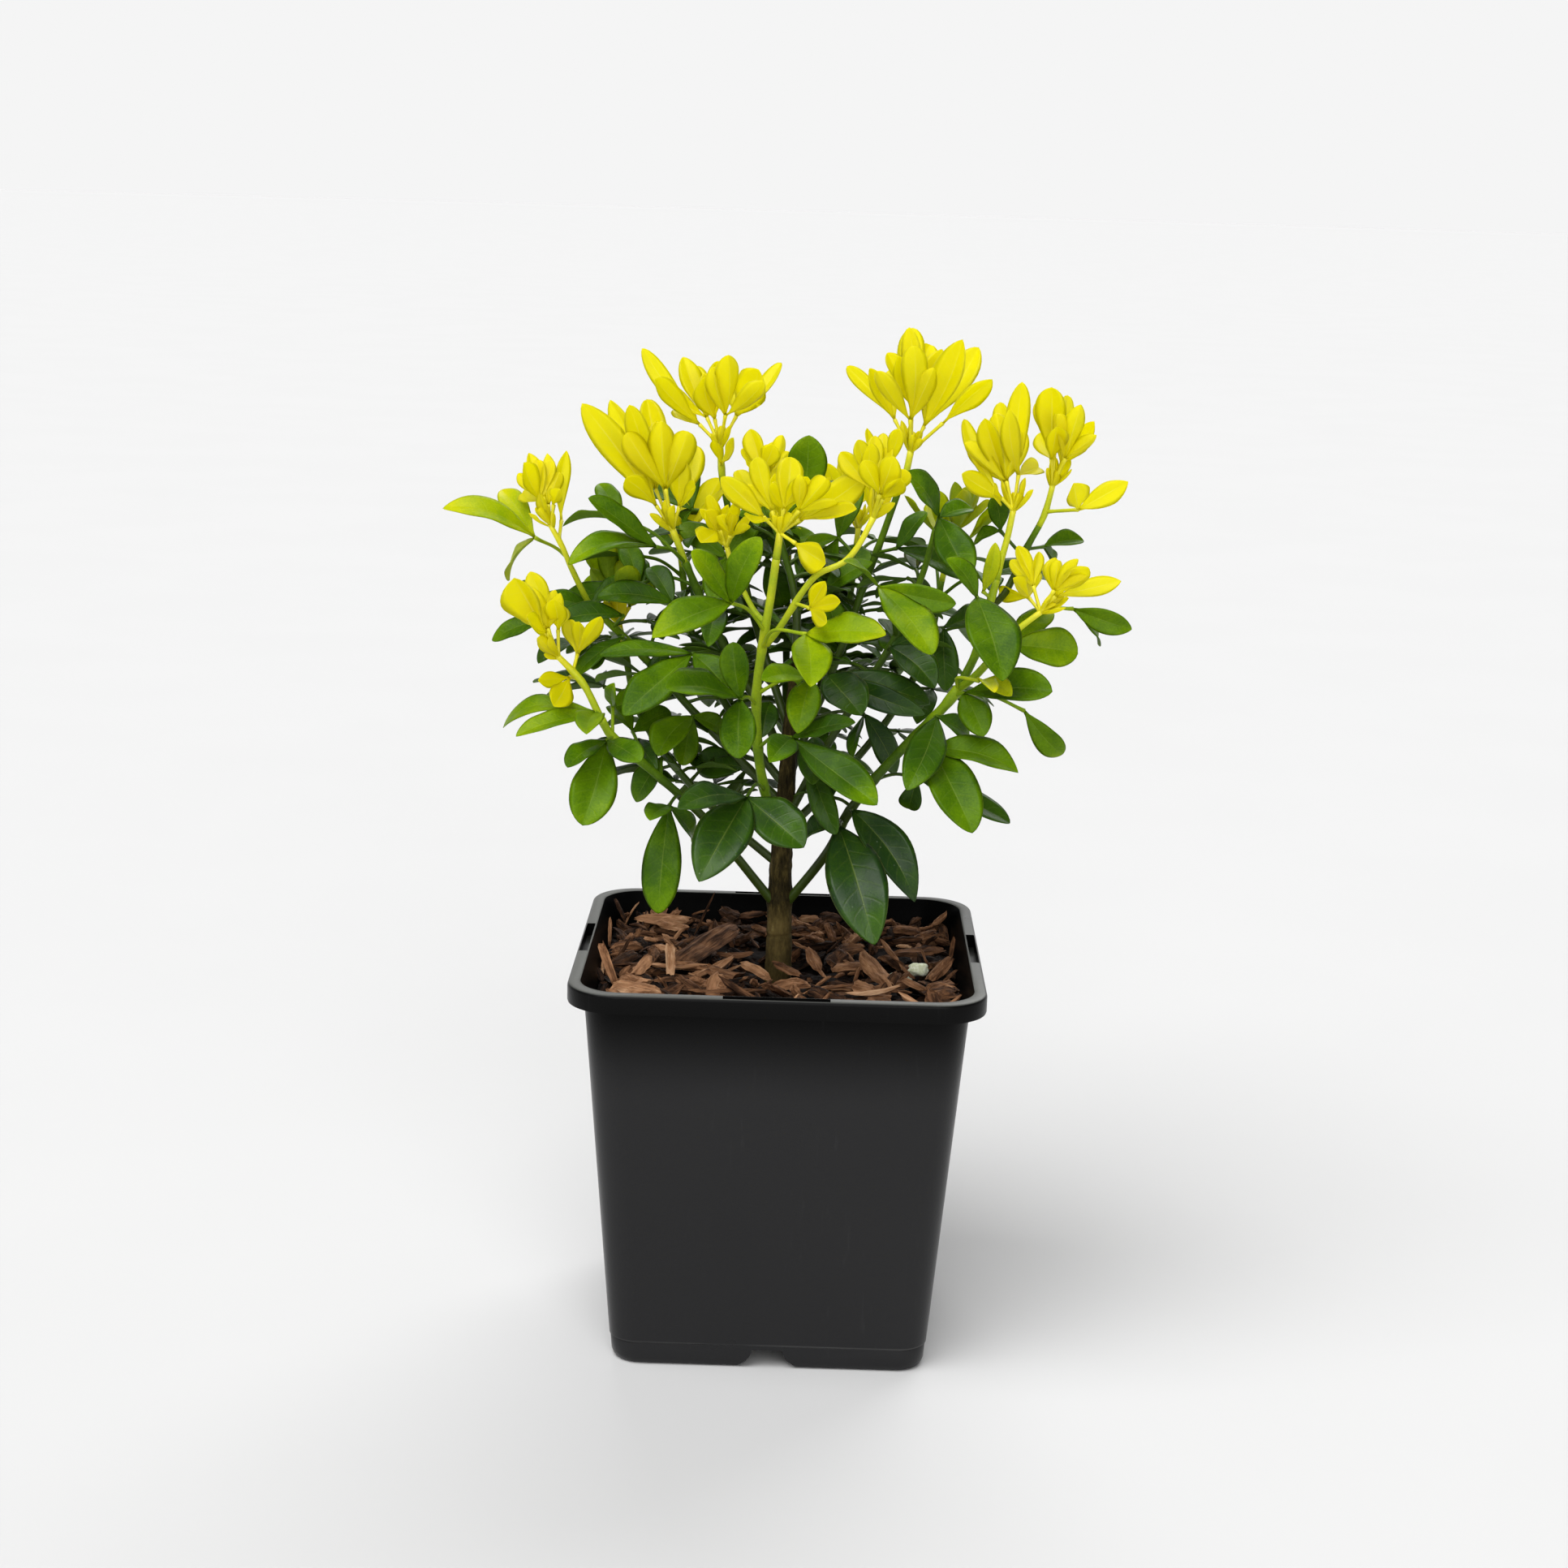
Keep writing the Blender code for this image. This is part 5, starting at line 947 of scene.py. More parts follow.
def grown_shoots():
    """Every shoot with its stem, stalks and leaflets, where the CAD has them."""
    rule = random.Random(11)
    shoots = visible_shoots()
    for row in BACK_SHOOTS:
        carrier = back_shoot(*row)
        shoots += [carrier, back_spray(row[0], carrier)]
    carriers = {"trunk": (TRUNK_PATH, TRUNK_RADII)}
    for item in shoots:
        if item["name"] in STRAIGHTER:
            item["path"] = [Vector((x, y, z)) * MM for x, y, z in STRAIGHTER[item["name"]]]
        stem = smooth_path(item["path"], STEM_STEP)
        start = clear_start(stem, item["radii"][0], carriers[item["parent"]])
        item["stem"] = path_after(stem, start + GAP)
        first, last = item["radii"]
        count = len(item["stem"]) - 1
        taper = [first + (last - first) * n / count for n in range(count + 1)]
        carriers[item["name"]] = (item["stem"], taper)
    for item in shoots:
        name = item["name"]
        dense = smooth_path(item["stem"], FINE_STEP)
        corners = cad_corners(name)
        item["leaves"] = []
        for number, leaves in enumerate(item["fans"]):
            joint = leaves["joint"]
            nearest = min(dense, key=lambda point: (joint - point).length)
            seat = STRAIGHT_SEAT if name in STRAIGHTER else PETIOLE_NEEDED
            seated = (joint - nearest).length < seat
            if seated and joint != dense[-1]:
                joint = nearest
            tips = [cad_tip(corners, joint, leaflet["tip"]) for leaflet in leaves["leaflets"]]
            if (name, number) != BARE_STALK and not any(tips):
                continue
            if seated:
                stalk = None
            elif (name, number) == CROWDED_STALK:
                stalk = petiole_path(dense, joint, BENDS[CROWDED_BEND])
            else:
                stalk = cad_stalk(corners, dense, joint)
            for leaflet in leaves["leaflets"]:
                set_habit(item["colour"], leaflet, rule)
            kept = [(leaflet, tip) for leaflet, tip in zip(leaves["leaflets"], tips) if tip]
            item["leaves"].append((joint, stalk, kept))
    return shoots


# The fine foliage

MARKS = ("along", "across", "age", "seed", "under", "leaf")


def placed(name, data):
    """A new object with this data, in the scene."""
    item = bpy.data.objects.new(name, data)
    bpy.context.scene.collection.objects.link(item)
    return item


class Skin:
    """Points, faces and marks of a piece that is put together from many closed skins."""

    def __init__(self, marks=MARKS):
        self.points = []
        self.faces = []
        self.marks = {mark: [] for mark in marks}
        self.count = 0

    def add(self, points, faces, **marks):
        self.faces += [[corner + self.count for corner in face] for face in faces]
        self.points.append(points)
        for mark, values in self.marks.items():
            given = np.asarray(marks.get(mark, 0.0), np.float32)
            values.append(np.broadcast_to(given, len(points)))
        self.count += len(points)

    def piece(self, name, finish, smooth=True):
        mesh = bpy.data.meshes.new(name)
        mesh.from_pydata(np.concatenate(self.points).tolist(), [], self.faces)
        for mark, values in self.marks.items():
            layer = mesh.attributes.new(mark, "FLOAT", "POINT")
            layer.data.foreach_set("value", np.concatenate(values).astype(np.float32))
        mesh.polygons.foreach_set("use_smooth", [smooth] * len(mesh.polygons))
        mesh.materials.append(finish)
        mesh.update()
        return placed(name, mesh)


def pillow_faces(rows, columns, pointed):
    """Faces of a thin closed skin: two grids of rows x columns that share their border.

    A pointed skin ends in a single point.
    """
    wide = columns + 1
    last = rows if pointed else rows + 1
    end = last * wide

    def upper(row, column):
        return end if row == last and pointed else row * wide + column

    def lower(row, column):
        if row in (0, rows) or column in (0, columns):
            return upper(row, column)
        return end + pointed + (row - 1) * (columns - 1) + column - 1

    faces = []
    for row in range(rows):
        for column in range(columns):
            corners = ((row, column), (row, column + 1), (row + 1, column + 1), (row + 1, column))
            for place, turned in ((upper, 1), (lower, -1)):
                face = [place(*corner) for corner in corners][::turned]
                faces.append(list(dict.fromkeys(face)))
    return faces


def pillow_points(top, bottom, pointed):
    """The points of such a skin, from grids of places on its two sides."""
    rows = top.shape[0] - 1
    upper = top[:-1].reshape(-1, 3) if pointed else top.reshape(-1, 3)
    lower = bottom[1:rows, 1:-1].reshape(-1, 3)
    return np.concatenate([upper, top[-1, :1], lower] if pointed else [upper, lower])


def pillow_values(values, under_value=None):
    """Values of a mark in the order of a pointed skin's points; the lower side takes its own."""
    rows = values.shape[0] - 1
    lower = values[1:rows, 1:-1]
    if under_value is not None:
        lower = np.full_like(lower, under_value)
    return np.concatenate([values[:-1].ravel(), values[-1, :1], lower.ravel()])


GREEN_COLUMNS = (-1.0, -0.76, -0.44, -0.13, 0.0, 0.13, 0.44, 0.76, 1.0)
YOUNG_COLUMNS = (-1.0, -0.62, -0.16, 0.0, 0.16, 0.62, 1.0)
GREEN_ROWS = 18
YOUNG_ROWS = 13


def add_leaflet(skin, leaflet, base, tip, age, colour, rule):
    """A leaflet with its own outline, channel along the midrib, waved edges, twist and bow."""
    young = colour == "yellow"
    columns = np.array(YOUNG_COLUMNS if young else GREEN_COLUMNS)
    rows = YOUNG_ROWS if young else GREEN_ROWS
    along = tip - base
    length = along.length
    along.normalize()
    face = facing(leaflet, along)
    if young:
        roll = math.radians(rule.uniform(-YOUNG_ROLL, YOUNG_ROLL))
        face = Matrix.Rotation(roll, 3, along) @ face
    side = along.cross(face)
    u = 1.0 - (1.0 - np.linspace(0.0, 1.0, rows + 1)) ** ROW_GATHER
    rise = rule.uniform(*(YOUNG_RISE if young else GREEN_RISE))
    close = rule.uniform(*(YOUNG_CLOSE if young else TIP_CLOSE))
    peak = rise / (rise + close)
    fullness = u**rise * (1.0 - u) ** close / (peak**rise * (1.0 - peak) ** close)
    full = leaflet["width"] / 2 * (YOUNG_WIDEN if young else 1.0)
    half = np.maximum(full * fullness, LEAF_FOOT * (1.0 - u) ** 0.5)
    u, half = u[:, None], half[:, None]
    v = columns[None, :]
    least, most = CHANNEL_SOFT**0.5, (1.0 + CHANNEL_SOFT) ** 0.5
    channel = (np.sqrt(v**2 + CHANNEL_SOFT) - least) / (most - least)
    fold = math.tan(leaflet["fold"] * rule.uniform(*(YOUNG_FOLDS if young else GREEN_FOLDS)))
    lift = half * fold * channel - half * rule.uniform(*DISH) * v**4
    waves = rule.uniform(*WAVES)
    for way in (-1, 1):
        wave = np.sin(2 * math.pi * waves * u + rule.uniform(0.0, TURN)) * np.sin(math.pi * u)
        edge = np.clip(way * v, 0.0, 1.0) ** WAVE_EDGE
        lift = lift + half * rule.uniform(*WAVE_HEIGHTS) * wave * edge
    groove = YOUNG_GROOVE if young else RIB_GROOVE
    lift = lift - groove * np.exp(-((v / GROOVE_REACH) ** 2)) * (1.0 - u)
    bow = 4 * leaflet["arch"] * length * u * (1 - u) * (1.0 + 0.5 * (u - 0.5))
    sway = rule.uniform(-SWAY, SWAY) * length * np.sin(math.pi * u)
    turn = math.radians(rule.uniform(-TWIST, TWIST)) * (u - 0.5) * 2
    reach = half * v
    x = reach * np.cos(turn) - lift * np.sin(turn) + sway
    z = reach * np.sin(turn) + lift * np.cos(turn) + bow
    middle = np.array(base)
    for reach_of, axis in ((u * length, along), (x, side), (z, face)):
        middle = middle + reach_of[..., None] * np.array(axis)
    thick = LEAF_THICKNESS / 2 * np.sqrt(np.clip(1.0 - v**2, 0.0, 1.0))
    thick = thick * np.minimum(1.0, 6 * (1.0 - u)) ** 0.5
    rib = RIB_RISE * np.exp(-((v / RIB_REACH) ** 2)) * (1.0 - u) ** 0.7
    top = middle + thick[..., None] * np.array(face)
    bottom = middle - (thick + rib)[..., None] * np.array(face)
    shape = np.broadcast(u, v).shape
    seed = rule.random()
    skin.add(
        pillow_points(top, bottom, True),
        LEAF_FACES[young],
        along=pillow_values(np.broadcast_to(u, shape)),
        across=pillow_values(np.broadcast_to(v, shape)),
        under=pillow_values(np.zeros(shape), 1.0),
        age=age + rule.uniform(-AGE_SPREAD, AGE_SPREAD),
        seed=seed,
        leaf=1.0,
    )


def add_tube(skin, path, radii, sides, **marks):
    """A closed round tube along a path; a mark may be one value or one for each place."""
    count = len(path)
    nearby = [(path[max(n - 1, 0)], path[min(n + 1, count - 1)]) for n in range(count)]
    tangents = [(after - before).normalized() for before, after in nearby]
    side = tangents[0].cross(STALK_UP).normalized()
    rings = []
    for place, run, radius in zip(path, tangents, map(float, radii)):
        side = (side - side.project(run)).normalized()
        other = run.cross(side)
        for corner in range(sides):
            angle = 2 * math.pi * corner / sides
            rings.append(place + radius * (side * math.cos(angle) + other * math.sin(angle)))
    foot = path[0] - tangents[0] * radii[0] * TUBE_FOOT
    tip = path[-1] + tangents[-1] * radii[-1] * TUBE_TIP
    faces = []
    for ring in range(count - 1):
        for corner in range(sides):
            after = (corner + 1) % sides
            near, far = ring * sides, (ring + 1) * sides
            faces.append((near + corner, near + after, far + after, far + corner))
    start, end = count * sides, count * sides + 1
    for corner in range(sides):
        after = (corner + 1) % sides
        faces.append((start, after, corner))
        faces.append((end, (count - 1) * sides + corner, (count - 1) * sides + after))
    spread = {}
    for mark, values in marks.items():
        values = np.broadcast_to(values, count)
        spread[mark] = np.concatenate([np.repeat(values, sides), values[:1], values[-1:]])
    skin.add(np.array([*rings, foot, tip]), faces, **spread)


def add_petiole(skin, stalk, ages, rule):
    """A leaf's stalk, a little thicker at both ends, between its ages at foot and tip."""
    path = smooth_path(stalk, PETIOLE_STEP)
    share = np.linspace(0.0, 1.0, len(path))
    foot = FOOT_SWELL[0] * np.exp(-((share / FOOT_SWELL[1]) ** 2))
    tip = TIP_SWELL[0] * np.exp(-(((share - 1) / TIP_SWELL[1]) ** 2))
    radii = PETIOLE_FINE * (1.0 + foot + tip)
    age = ages[0] + (ages[1] - ages[0]) * share
    add_tube(skin, path, radii, PETIOLE_SIDES, age=age, seed=rule.random(), along=share)


def stem_radii(path, first, last, nodes):
    """A stem's thickness along its path, a little more where leaves leave it."""
    radii = []
    for index, place in enumerate(path):
        radius = first + (last - first) * index / (len(path) - 1)
        swell = sum(math.exp(-(((place - node).length / NODE_REACH) ** 2)) for node in nodes)
        radii.append(radius * (1.0 + NODE_SWELL * min(swell, MOST_SWELL)))
    return radii


def leaf_age(item, number, joint):
    """The age of a compound leaf of this shoot or spray."""
    if item["colour"] == "yellow":
        return YOUNG_TONES.get(item["name"], YOUNG_AGE)
    if item["name"] in TONES:
        return TONES[item["name"]][number]
    return min(OLDEST, BACK_AGE - BACK_AGE_FALL * (joint.z / MM - BACK_AGE_FROM))


def make_foliage(item, finish):
    """One shoot or spray as a piece: its stem, stalks and leaflets."""
    name, colour = item["name"], item["colour"]
    rule = random.Random(name + " leaves")
    skin = Skin()
    path = smooth_path(item["path"], STEM_STEP_FINE)
    low, high, power = STEM_AGES.get(name, YOUNG_STEM if colour == "yellow" else OLD_STEM)
    roots = [stalk[0] for _, stalk, _ in item["leaves"] if stalk]
    nodes = [min(path, key=lambda point: (root - point).length) for root in roots]
    share = np.linspace(0.0, 1.0, len(path))
    stem_age = low + (high - low) * share**power
    first, last = (radius * STEM_FINE for radius in item["radii"])
    radii = stem_radii(path, first, last, nodes)
    add_tube(skin, path, radii, STEM_SIDES, age=stem_age, seed=rule.random(), along=share)
    for number, (joint, stalk, kept) in enumerate(item["leaves"]):
        age = leaf_age(item, number, joint)
        if stalk:
            root = min(range(len(path)), key=lambda index: (path[index] - stalk[0]).length)
            add_petiole(skin, stalk, (stem_age[root], 0.5 * stem_age[root] + 0.5 * age), rule)
        tuft = len(kept) > TRIO
        for fork, group in trios(joint, kept, rule) if tuft else ((joint, kept),):
            if fork != joint:
                add_petiole(skin, [joint, joint.lerp(fork, 0.5), fork], FORK_AGES, rule)
            for leaflet, tip in group:
                add_leaflet(skin, leaflet, fork, tip, age, colour, rule)
        if tuft:
            add_inner_leaves(skin, joint, kept, age, rule)
    if colour == "yellow":
        add_buds(skin, path, rule)
    else:
        add_shade_leaves(skin, path, rule)
    piece = skin.piece(name + "_leaves", finish)
    return dress(piece, name)


def trios(joint, kept, rule):
    """The leaflets of a tuft by threes, neighbours together, each three with their own fork."""
    turned = sorted(kept, key=lambda pair: math.atan2(pair[1].x - joint.x, pair[1].z - joint.z))
    forked = []
    for first in range(0, len(turned), TRIO):
        group = turned[first : first + TRIO]
        reach = min((tip - joint).length for _, tip in group) * rule.uniform(*FORK_SHARE)
        ahead = sum(((tip - joint).normalized() for _, tip in group), Vector()).normalized()
        forked.append((joint + ahead * reach, group))
    return forked


def add_inner_leaves(skin, joint, kept, age, rule):
    """Smaller compound leaves that fill a tuft behind and before its long ones."""
    ways = [tip - joint for _, tip in kept]
    middle = sum((way.normalized() for way in ways), Vector()).normalized()
    reach = sum(way.length for way in ways) / len(ways)
    for index in range(INNER_LEAVES):
        way = ways[index * len(ways) // INNER_LEAVES].normalized()
        toward = Vector((0.0, -1.0 if index % 2 else 1.0, 0.0))
        ahead = way * 0.55 + middle * 0.45 + toward * rule.uniform(*INNER_TOWARD)
        ahead.normalize()
        fork = joint + ahead * reach * rule.uniform(*INNER_FORKS)
        add_petiole(skin, [joint, joint.lerp(fork, 0.5), fork], FORK_AGES, rule)
        side = ahead.cross(toward).normalized()
        for turn, share in INNER_TURNS:
            angle = turn + rule.uniform(-INNER_SPREAD, INNER_SPREAD)
            along = ahead * math.cos(angle) + side * math.sin(angle)
            length = reach * share * rule.uniform(*INNER_LENGTHS)
            leaflet = {
                "width": length * rule.uniform(*INNER_WIDTHS),
                "roll": 0.0,
                "arch": INNER_ARCH,
                "fold": YOUNG_FOLD,
                "face": middle * 0.5 - toward,
            }
            add_leaflet(skin, leaflet, fork, fork + along * length, age, "yellow", rule)


def add_shade_leaves(skin, path, rule):
    """Small dark leaves inside the plant, behind the ones that the light reaches."""
    for _ in range(SHADE_LEAVES):
        place = on_path(path, rule.uniform(*SHADE_STRETCH))
        angle = math.radians(rule.uniform(*SHADE_ANGLES))
        out = level_way(angle)
        way = out + upward(rule.uniform(*SHADE_LIFTS))
        joint = place + way * rule.uniform(*SHADE_STALKS) * MM
        size = rule.uniform(*SHADE_LENGTHS) * MM
        leaflets = compound_leaf(rule, joint, out, size, rule.uniform(*SHADE_DROOPS))["leaflets"]
        if not all(inside_shade(corner) for corner in (joint, *(one["tip"] for one in leaflets))):
            continue
        bend = place.lerp(joint, 0.5) + upward(0.8 * MM)
        add_petiole(skin, [place, bend, joint], SHADE_STALK_AGES, rule)
        for leaflet in leaflets:
            set_habit("green", leaflet, rule)
            age = rule.uniform(*SHADE_AGES)
            add_leaflet(skin, leaflet, joint, leaflet["tip"], age, "green", rule)


def inside_shade(point):
    """Whether a place is well inside the plant: not before its stems and not near its outline."""
    x, y, z = (value / MM for value in point)
    low, high = SHADE_HEIGHTS
    return y > SHADE_FRONT and math.hypot(x, y) < SHADE_REACH and low < z < high


def add_buds(skin, path, rule):
    """The smallest leaves, still folded, round the tip of a spray."""
    ahead = (path[-1] - path[-3]).normalized()
    for index in range(BUDS):
        angle = index * TUFT_TURN + rule.uniform(-0.4, 0.4)
        out = level_way(angle)
        out = (out - out.project(ahead)).normalized()
        lean = math.radians(rule.uniform(*BUD_LEANS) + BUD_LEAN_STEP * index)
        length = rule.uniform(*BUD_LENGTHS) * MM
        way = ahead * math.cos(lean) + out * math.sin(lean)
        bud = {
            "width": length * rule.uniform(*BUD_WIDTHS),
            "roll": 0.0,
            "arch": BUD_ARCH,
            "fold": BUD_FOLD,
            "face": -out,
        }
        base = path[-1] - ahead * rule.uniform(0.0, BUD_DROP) * MM
        add_leaflet(skin, bud, base, base + way * length, BUD_AGE, "yellow", rule)


def dress(piece, node):
    """The piece stands for this CAD node and rides on the object's only body."""
    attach(piece, "root")
    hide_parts(node)
    return piece


# Materials


class Graph:
    """A node material, built link by link."""

    def __init__(self, name):
        self.material = bpy.data.materials.new(name)
        self.material.use_nodes = True
        self.nodes = self.material.node_tree.nodes
        self.links = self.material.node_tree.links
        self.shader = self.nodes["Principled BSDF"]
        self.output = self.nodes["Material Output"]

    def feed(self, socket, value):
        if isinstance(value, bpy.types.NodeSocket):
            self.links.new(value, socket)
        elif value is not None:
            socket.default_value = value

    def add(self, kind, output, **inputs):
        """A node of this kind with its inputs given by name; one output of it is returned."""
        node = self.nodes.new("ShaderNode" + kind)
        for name, value in inputs.items():
            self.feed(node.inputs[name], value)
        return node.outputs[output]

    def attribute(self, name, kind="Fac"):
        node = self.nodes.new("ShaderNodeAttribute")
        node.attribute_name = name
        return node.outputs[kind]

    def places(self):
        return self.add("TexCoord", "Object")

    def math(self, operation, first, second=None, third=None, clamp=False):
        node = self.nodes.new("ShaderNodeMath")
        node.operation = operation
        node.use_clamp = clamp
        for socket, value in zip(node.inputs, (first, second, third)):
            self.feed(socket, value)
        return node.outputs[0]

    def times(self, first, second, clamp=False):
        return self.math("MULTIPLY", first, second, clamp=clamp)

    def times_plus(self, value, factor, plus):
        return self.math("MULTIPLY_ADD", value, factor, plus)

    def swing(self, value, factor, start):
        """The start plus the value's swing about a half."""
        return self.times_plus(self.math("SUBTRACT", value, 0.5), factor, start)

    def span(self, value, low, high, to_low=0.0, to_high=1.0, smooth=True):
        """The value's range low to high laid onto another range, and held at its ends."""
        node = self.nodes.new("ShaderNodeMapRange")
        node.interpolation_type = "SMOOTHSTEP" if smooth else "LINEAR"
        for index, given in enumerate((value, low, high, to_low, to_high)):
            self.feed(node.inputs[index], given)
        return node.outputs[0]

    def stretch(self, vector, scale):
        return self.add("Mapping", 0, Vector=vector, Scale=scale)

    def noise(self, vector, scale, detail=3.0, roughness=0.5, distortion=0.0):
        return self.add(
            "TexNoise", "Fac",
            Vector=vector, Scale=scale, Detail=detail, Roughness=roughness, Distortion=distortion,
        )

    def spots(self, vector, scale):
        return self.add("TexVoronoi", "Distance", Vector=vector, Scale=scale)

    def ramp(self, value, stops):
        node = self.nodes.new("ShaderNodeValToRGB")
        self.feed(node.inputs[0], value)
        band = node.color_ramp.elements
        while len(band) < len(stops):
            band.new(0.5)
        for element, (place, colour) in zip(band, stops):
            element.position = place
            element.color = (*colour, 1.0)
        return node.outputs[0]

    def mix(self, share, first, second):
        node = self.nodes.new("ShaderNodeMix")
        node.data_type = "RGBA"
        self.feed(node.inputs[0], share)
        for socket, value in ((node.inputs[6], first), (node.inputs[7], second)):
            self.feed(socket, (*value, 1.0) if isinstance(value, tuple) else value)
        return node.outputs[2]

    def bump(self, height, strength, distance):
        return self.add("Bump", 0, Height=height, Strength=strength, Distance=distance)

    def principled(self, colour, roughness, normal, specular):
        names = ("Base Color", "Roughness", "Normal", "Specular IOR Level")
        for name, value in zip(names, (colour, roughness, normal, specular)):
            self.feed(self.shader.inputs[name], value)


# Colours from the darkest or youngest to the lightest or oldest, by their place on a ramp
BARK_COLOURS = (
    (0.25, (0.007, 0.0045, 0.001)),
    (0.5, (0.028, 0.020, 0.004)),
    (0.72, (0.078, 0.056, 0.014)),
    (0.95, (0.18, 0.145, 0.05)),
)
CHIP_COLOURS = (
    (0.0, (0.005, 0.002, 0.001)),
    (0.25, (0.042, 0.018, 0.008)),
    (0.48, (0.165, 0.075, 0.034)),
    (0.75, (0.37, 0.19, 0.095)),
    (1.0, (0.58, 0.36, 0.21)),
)
LEAF_COLOURS = (
    (0.0, (0.95, 0.845, 0.004)),
    (0.14, (0.90, 0.815, 0.004)),
    (0.3, (0.61, 0.65, 0.003)),
    (0.47, (0.30, 0.435, 0.002)),
    (0.64, (0.122, 0.24, 0.002)),
    (0.8, (0.045, 0.115, 0.002)),
    (1.0, (0.013, 0.041, 0.006)),
)
# Leaf: pale veins of green and of yellow leaves, also laid on the margins as painted light, flecks,
# underside, old and green wood, light through it
GREEN_VEIN = (0.42, 0.52, 0.10)
YOUNG_VEIN = (1.0, 1.0, 0.5)
LEAF_FLECK = (0.35, 0.42, 0.3)
LEAF_BACK = (0.16, 0.26, 0.04)
OLD_WOOD = (0.045, 0.05, 0.010)
GREEN_WOOD = (0.25, 0.27, 0.04)
LEAF_GLOW = (0.86, 0.97, 0.01)
# Noise scales are in waves to the metre
LEAF_BLOTCH = 85.0
LEAF_GRAIN = 1500.0
LEAF_SPECKS = 420.0
# Side veins to a leaflet's length, and how they curve to the tip on their way to the edge
VEINS = 7.5
VEIN_CURVE = 1.25
VEIN_TURNS = 0.25
BARK_STRETCH = (900.0, 900.0, 240.0)
BARK_PATCH = 110.0
BARK_WORN = (0.20, 0.14, 0.045)
# The heights of the trunk between which its worn foot ends
WORN_SPAN = (0.143, 0.152)
CHIP_FIBRE = (90.0, 700.0, 700.0)
BED_GRAIN = (160.0, 160.0, 160.0)
CHIP_PATCH = 170.0
# the mix's own dark brown, darkened nearly to black as painted shade deep in the gaps
BED_COLOUR_AND_SHADE = (0.003, 0.0015, 0.001)
PERLITE_PORE = (0.70, 0.74, 0.48)
PERLITE_FACE = (0.98, 0.99, 0.84)
PERLITE_PORES = 900.0
# Plastic: clean; dusted and painted lighter lower down the outside of the body, which leaves painted shade
# under the rim and inside; scuffed; painted highlights along its seams; and the top of the rim paler with
# dusting and a painted sheen
PLASTIC_CLEAN = (0.0028, 0.0028, 0.0028)
PLASTIC_DUST_AND_LIGHT = (0.0143, 0.0143, 0.0150)
PLASTIC_SCUFF = (0.03, 0.03, 0.031)
PLASTIC_SEAM_HIGHLIGHT = (0.045, 0.045, 0.044)
RIM_DUST_AND_SHEEN = (0.108, 0.110, 0.102)
PLASTIC_CLOUD = 22.0
PLASTIC_SKIN = 1500.0
SCUFF_STRETCH = (420.0, 420.0, 30.0)
SHADE_DEPTH = 34 * MM
SEAM_HEIGHTS = (MOULD_LINE_HEIGHT + 0.5 * MM, BODY_TOP - 0.4 * MM)
SEAM_SPAN = (0.1 * MM, 0.35 * MM)
FLOOR_MOTTLE = 6.0


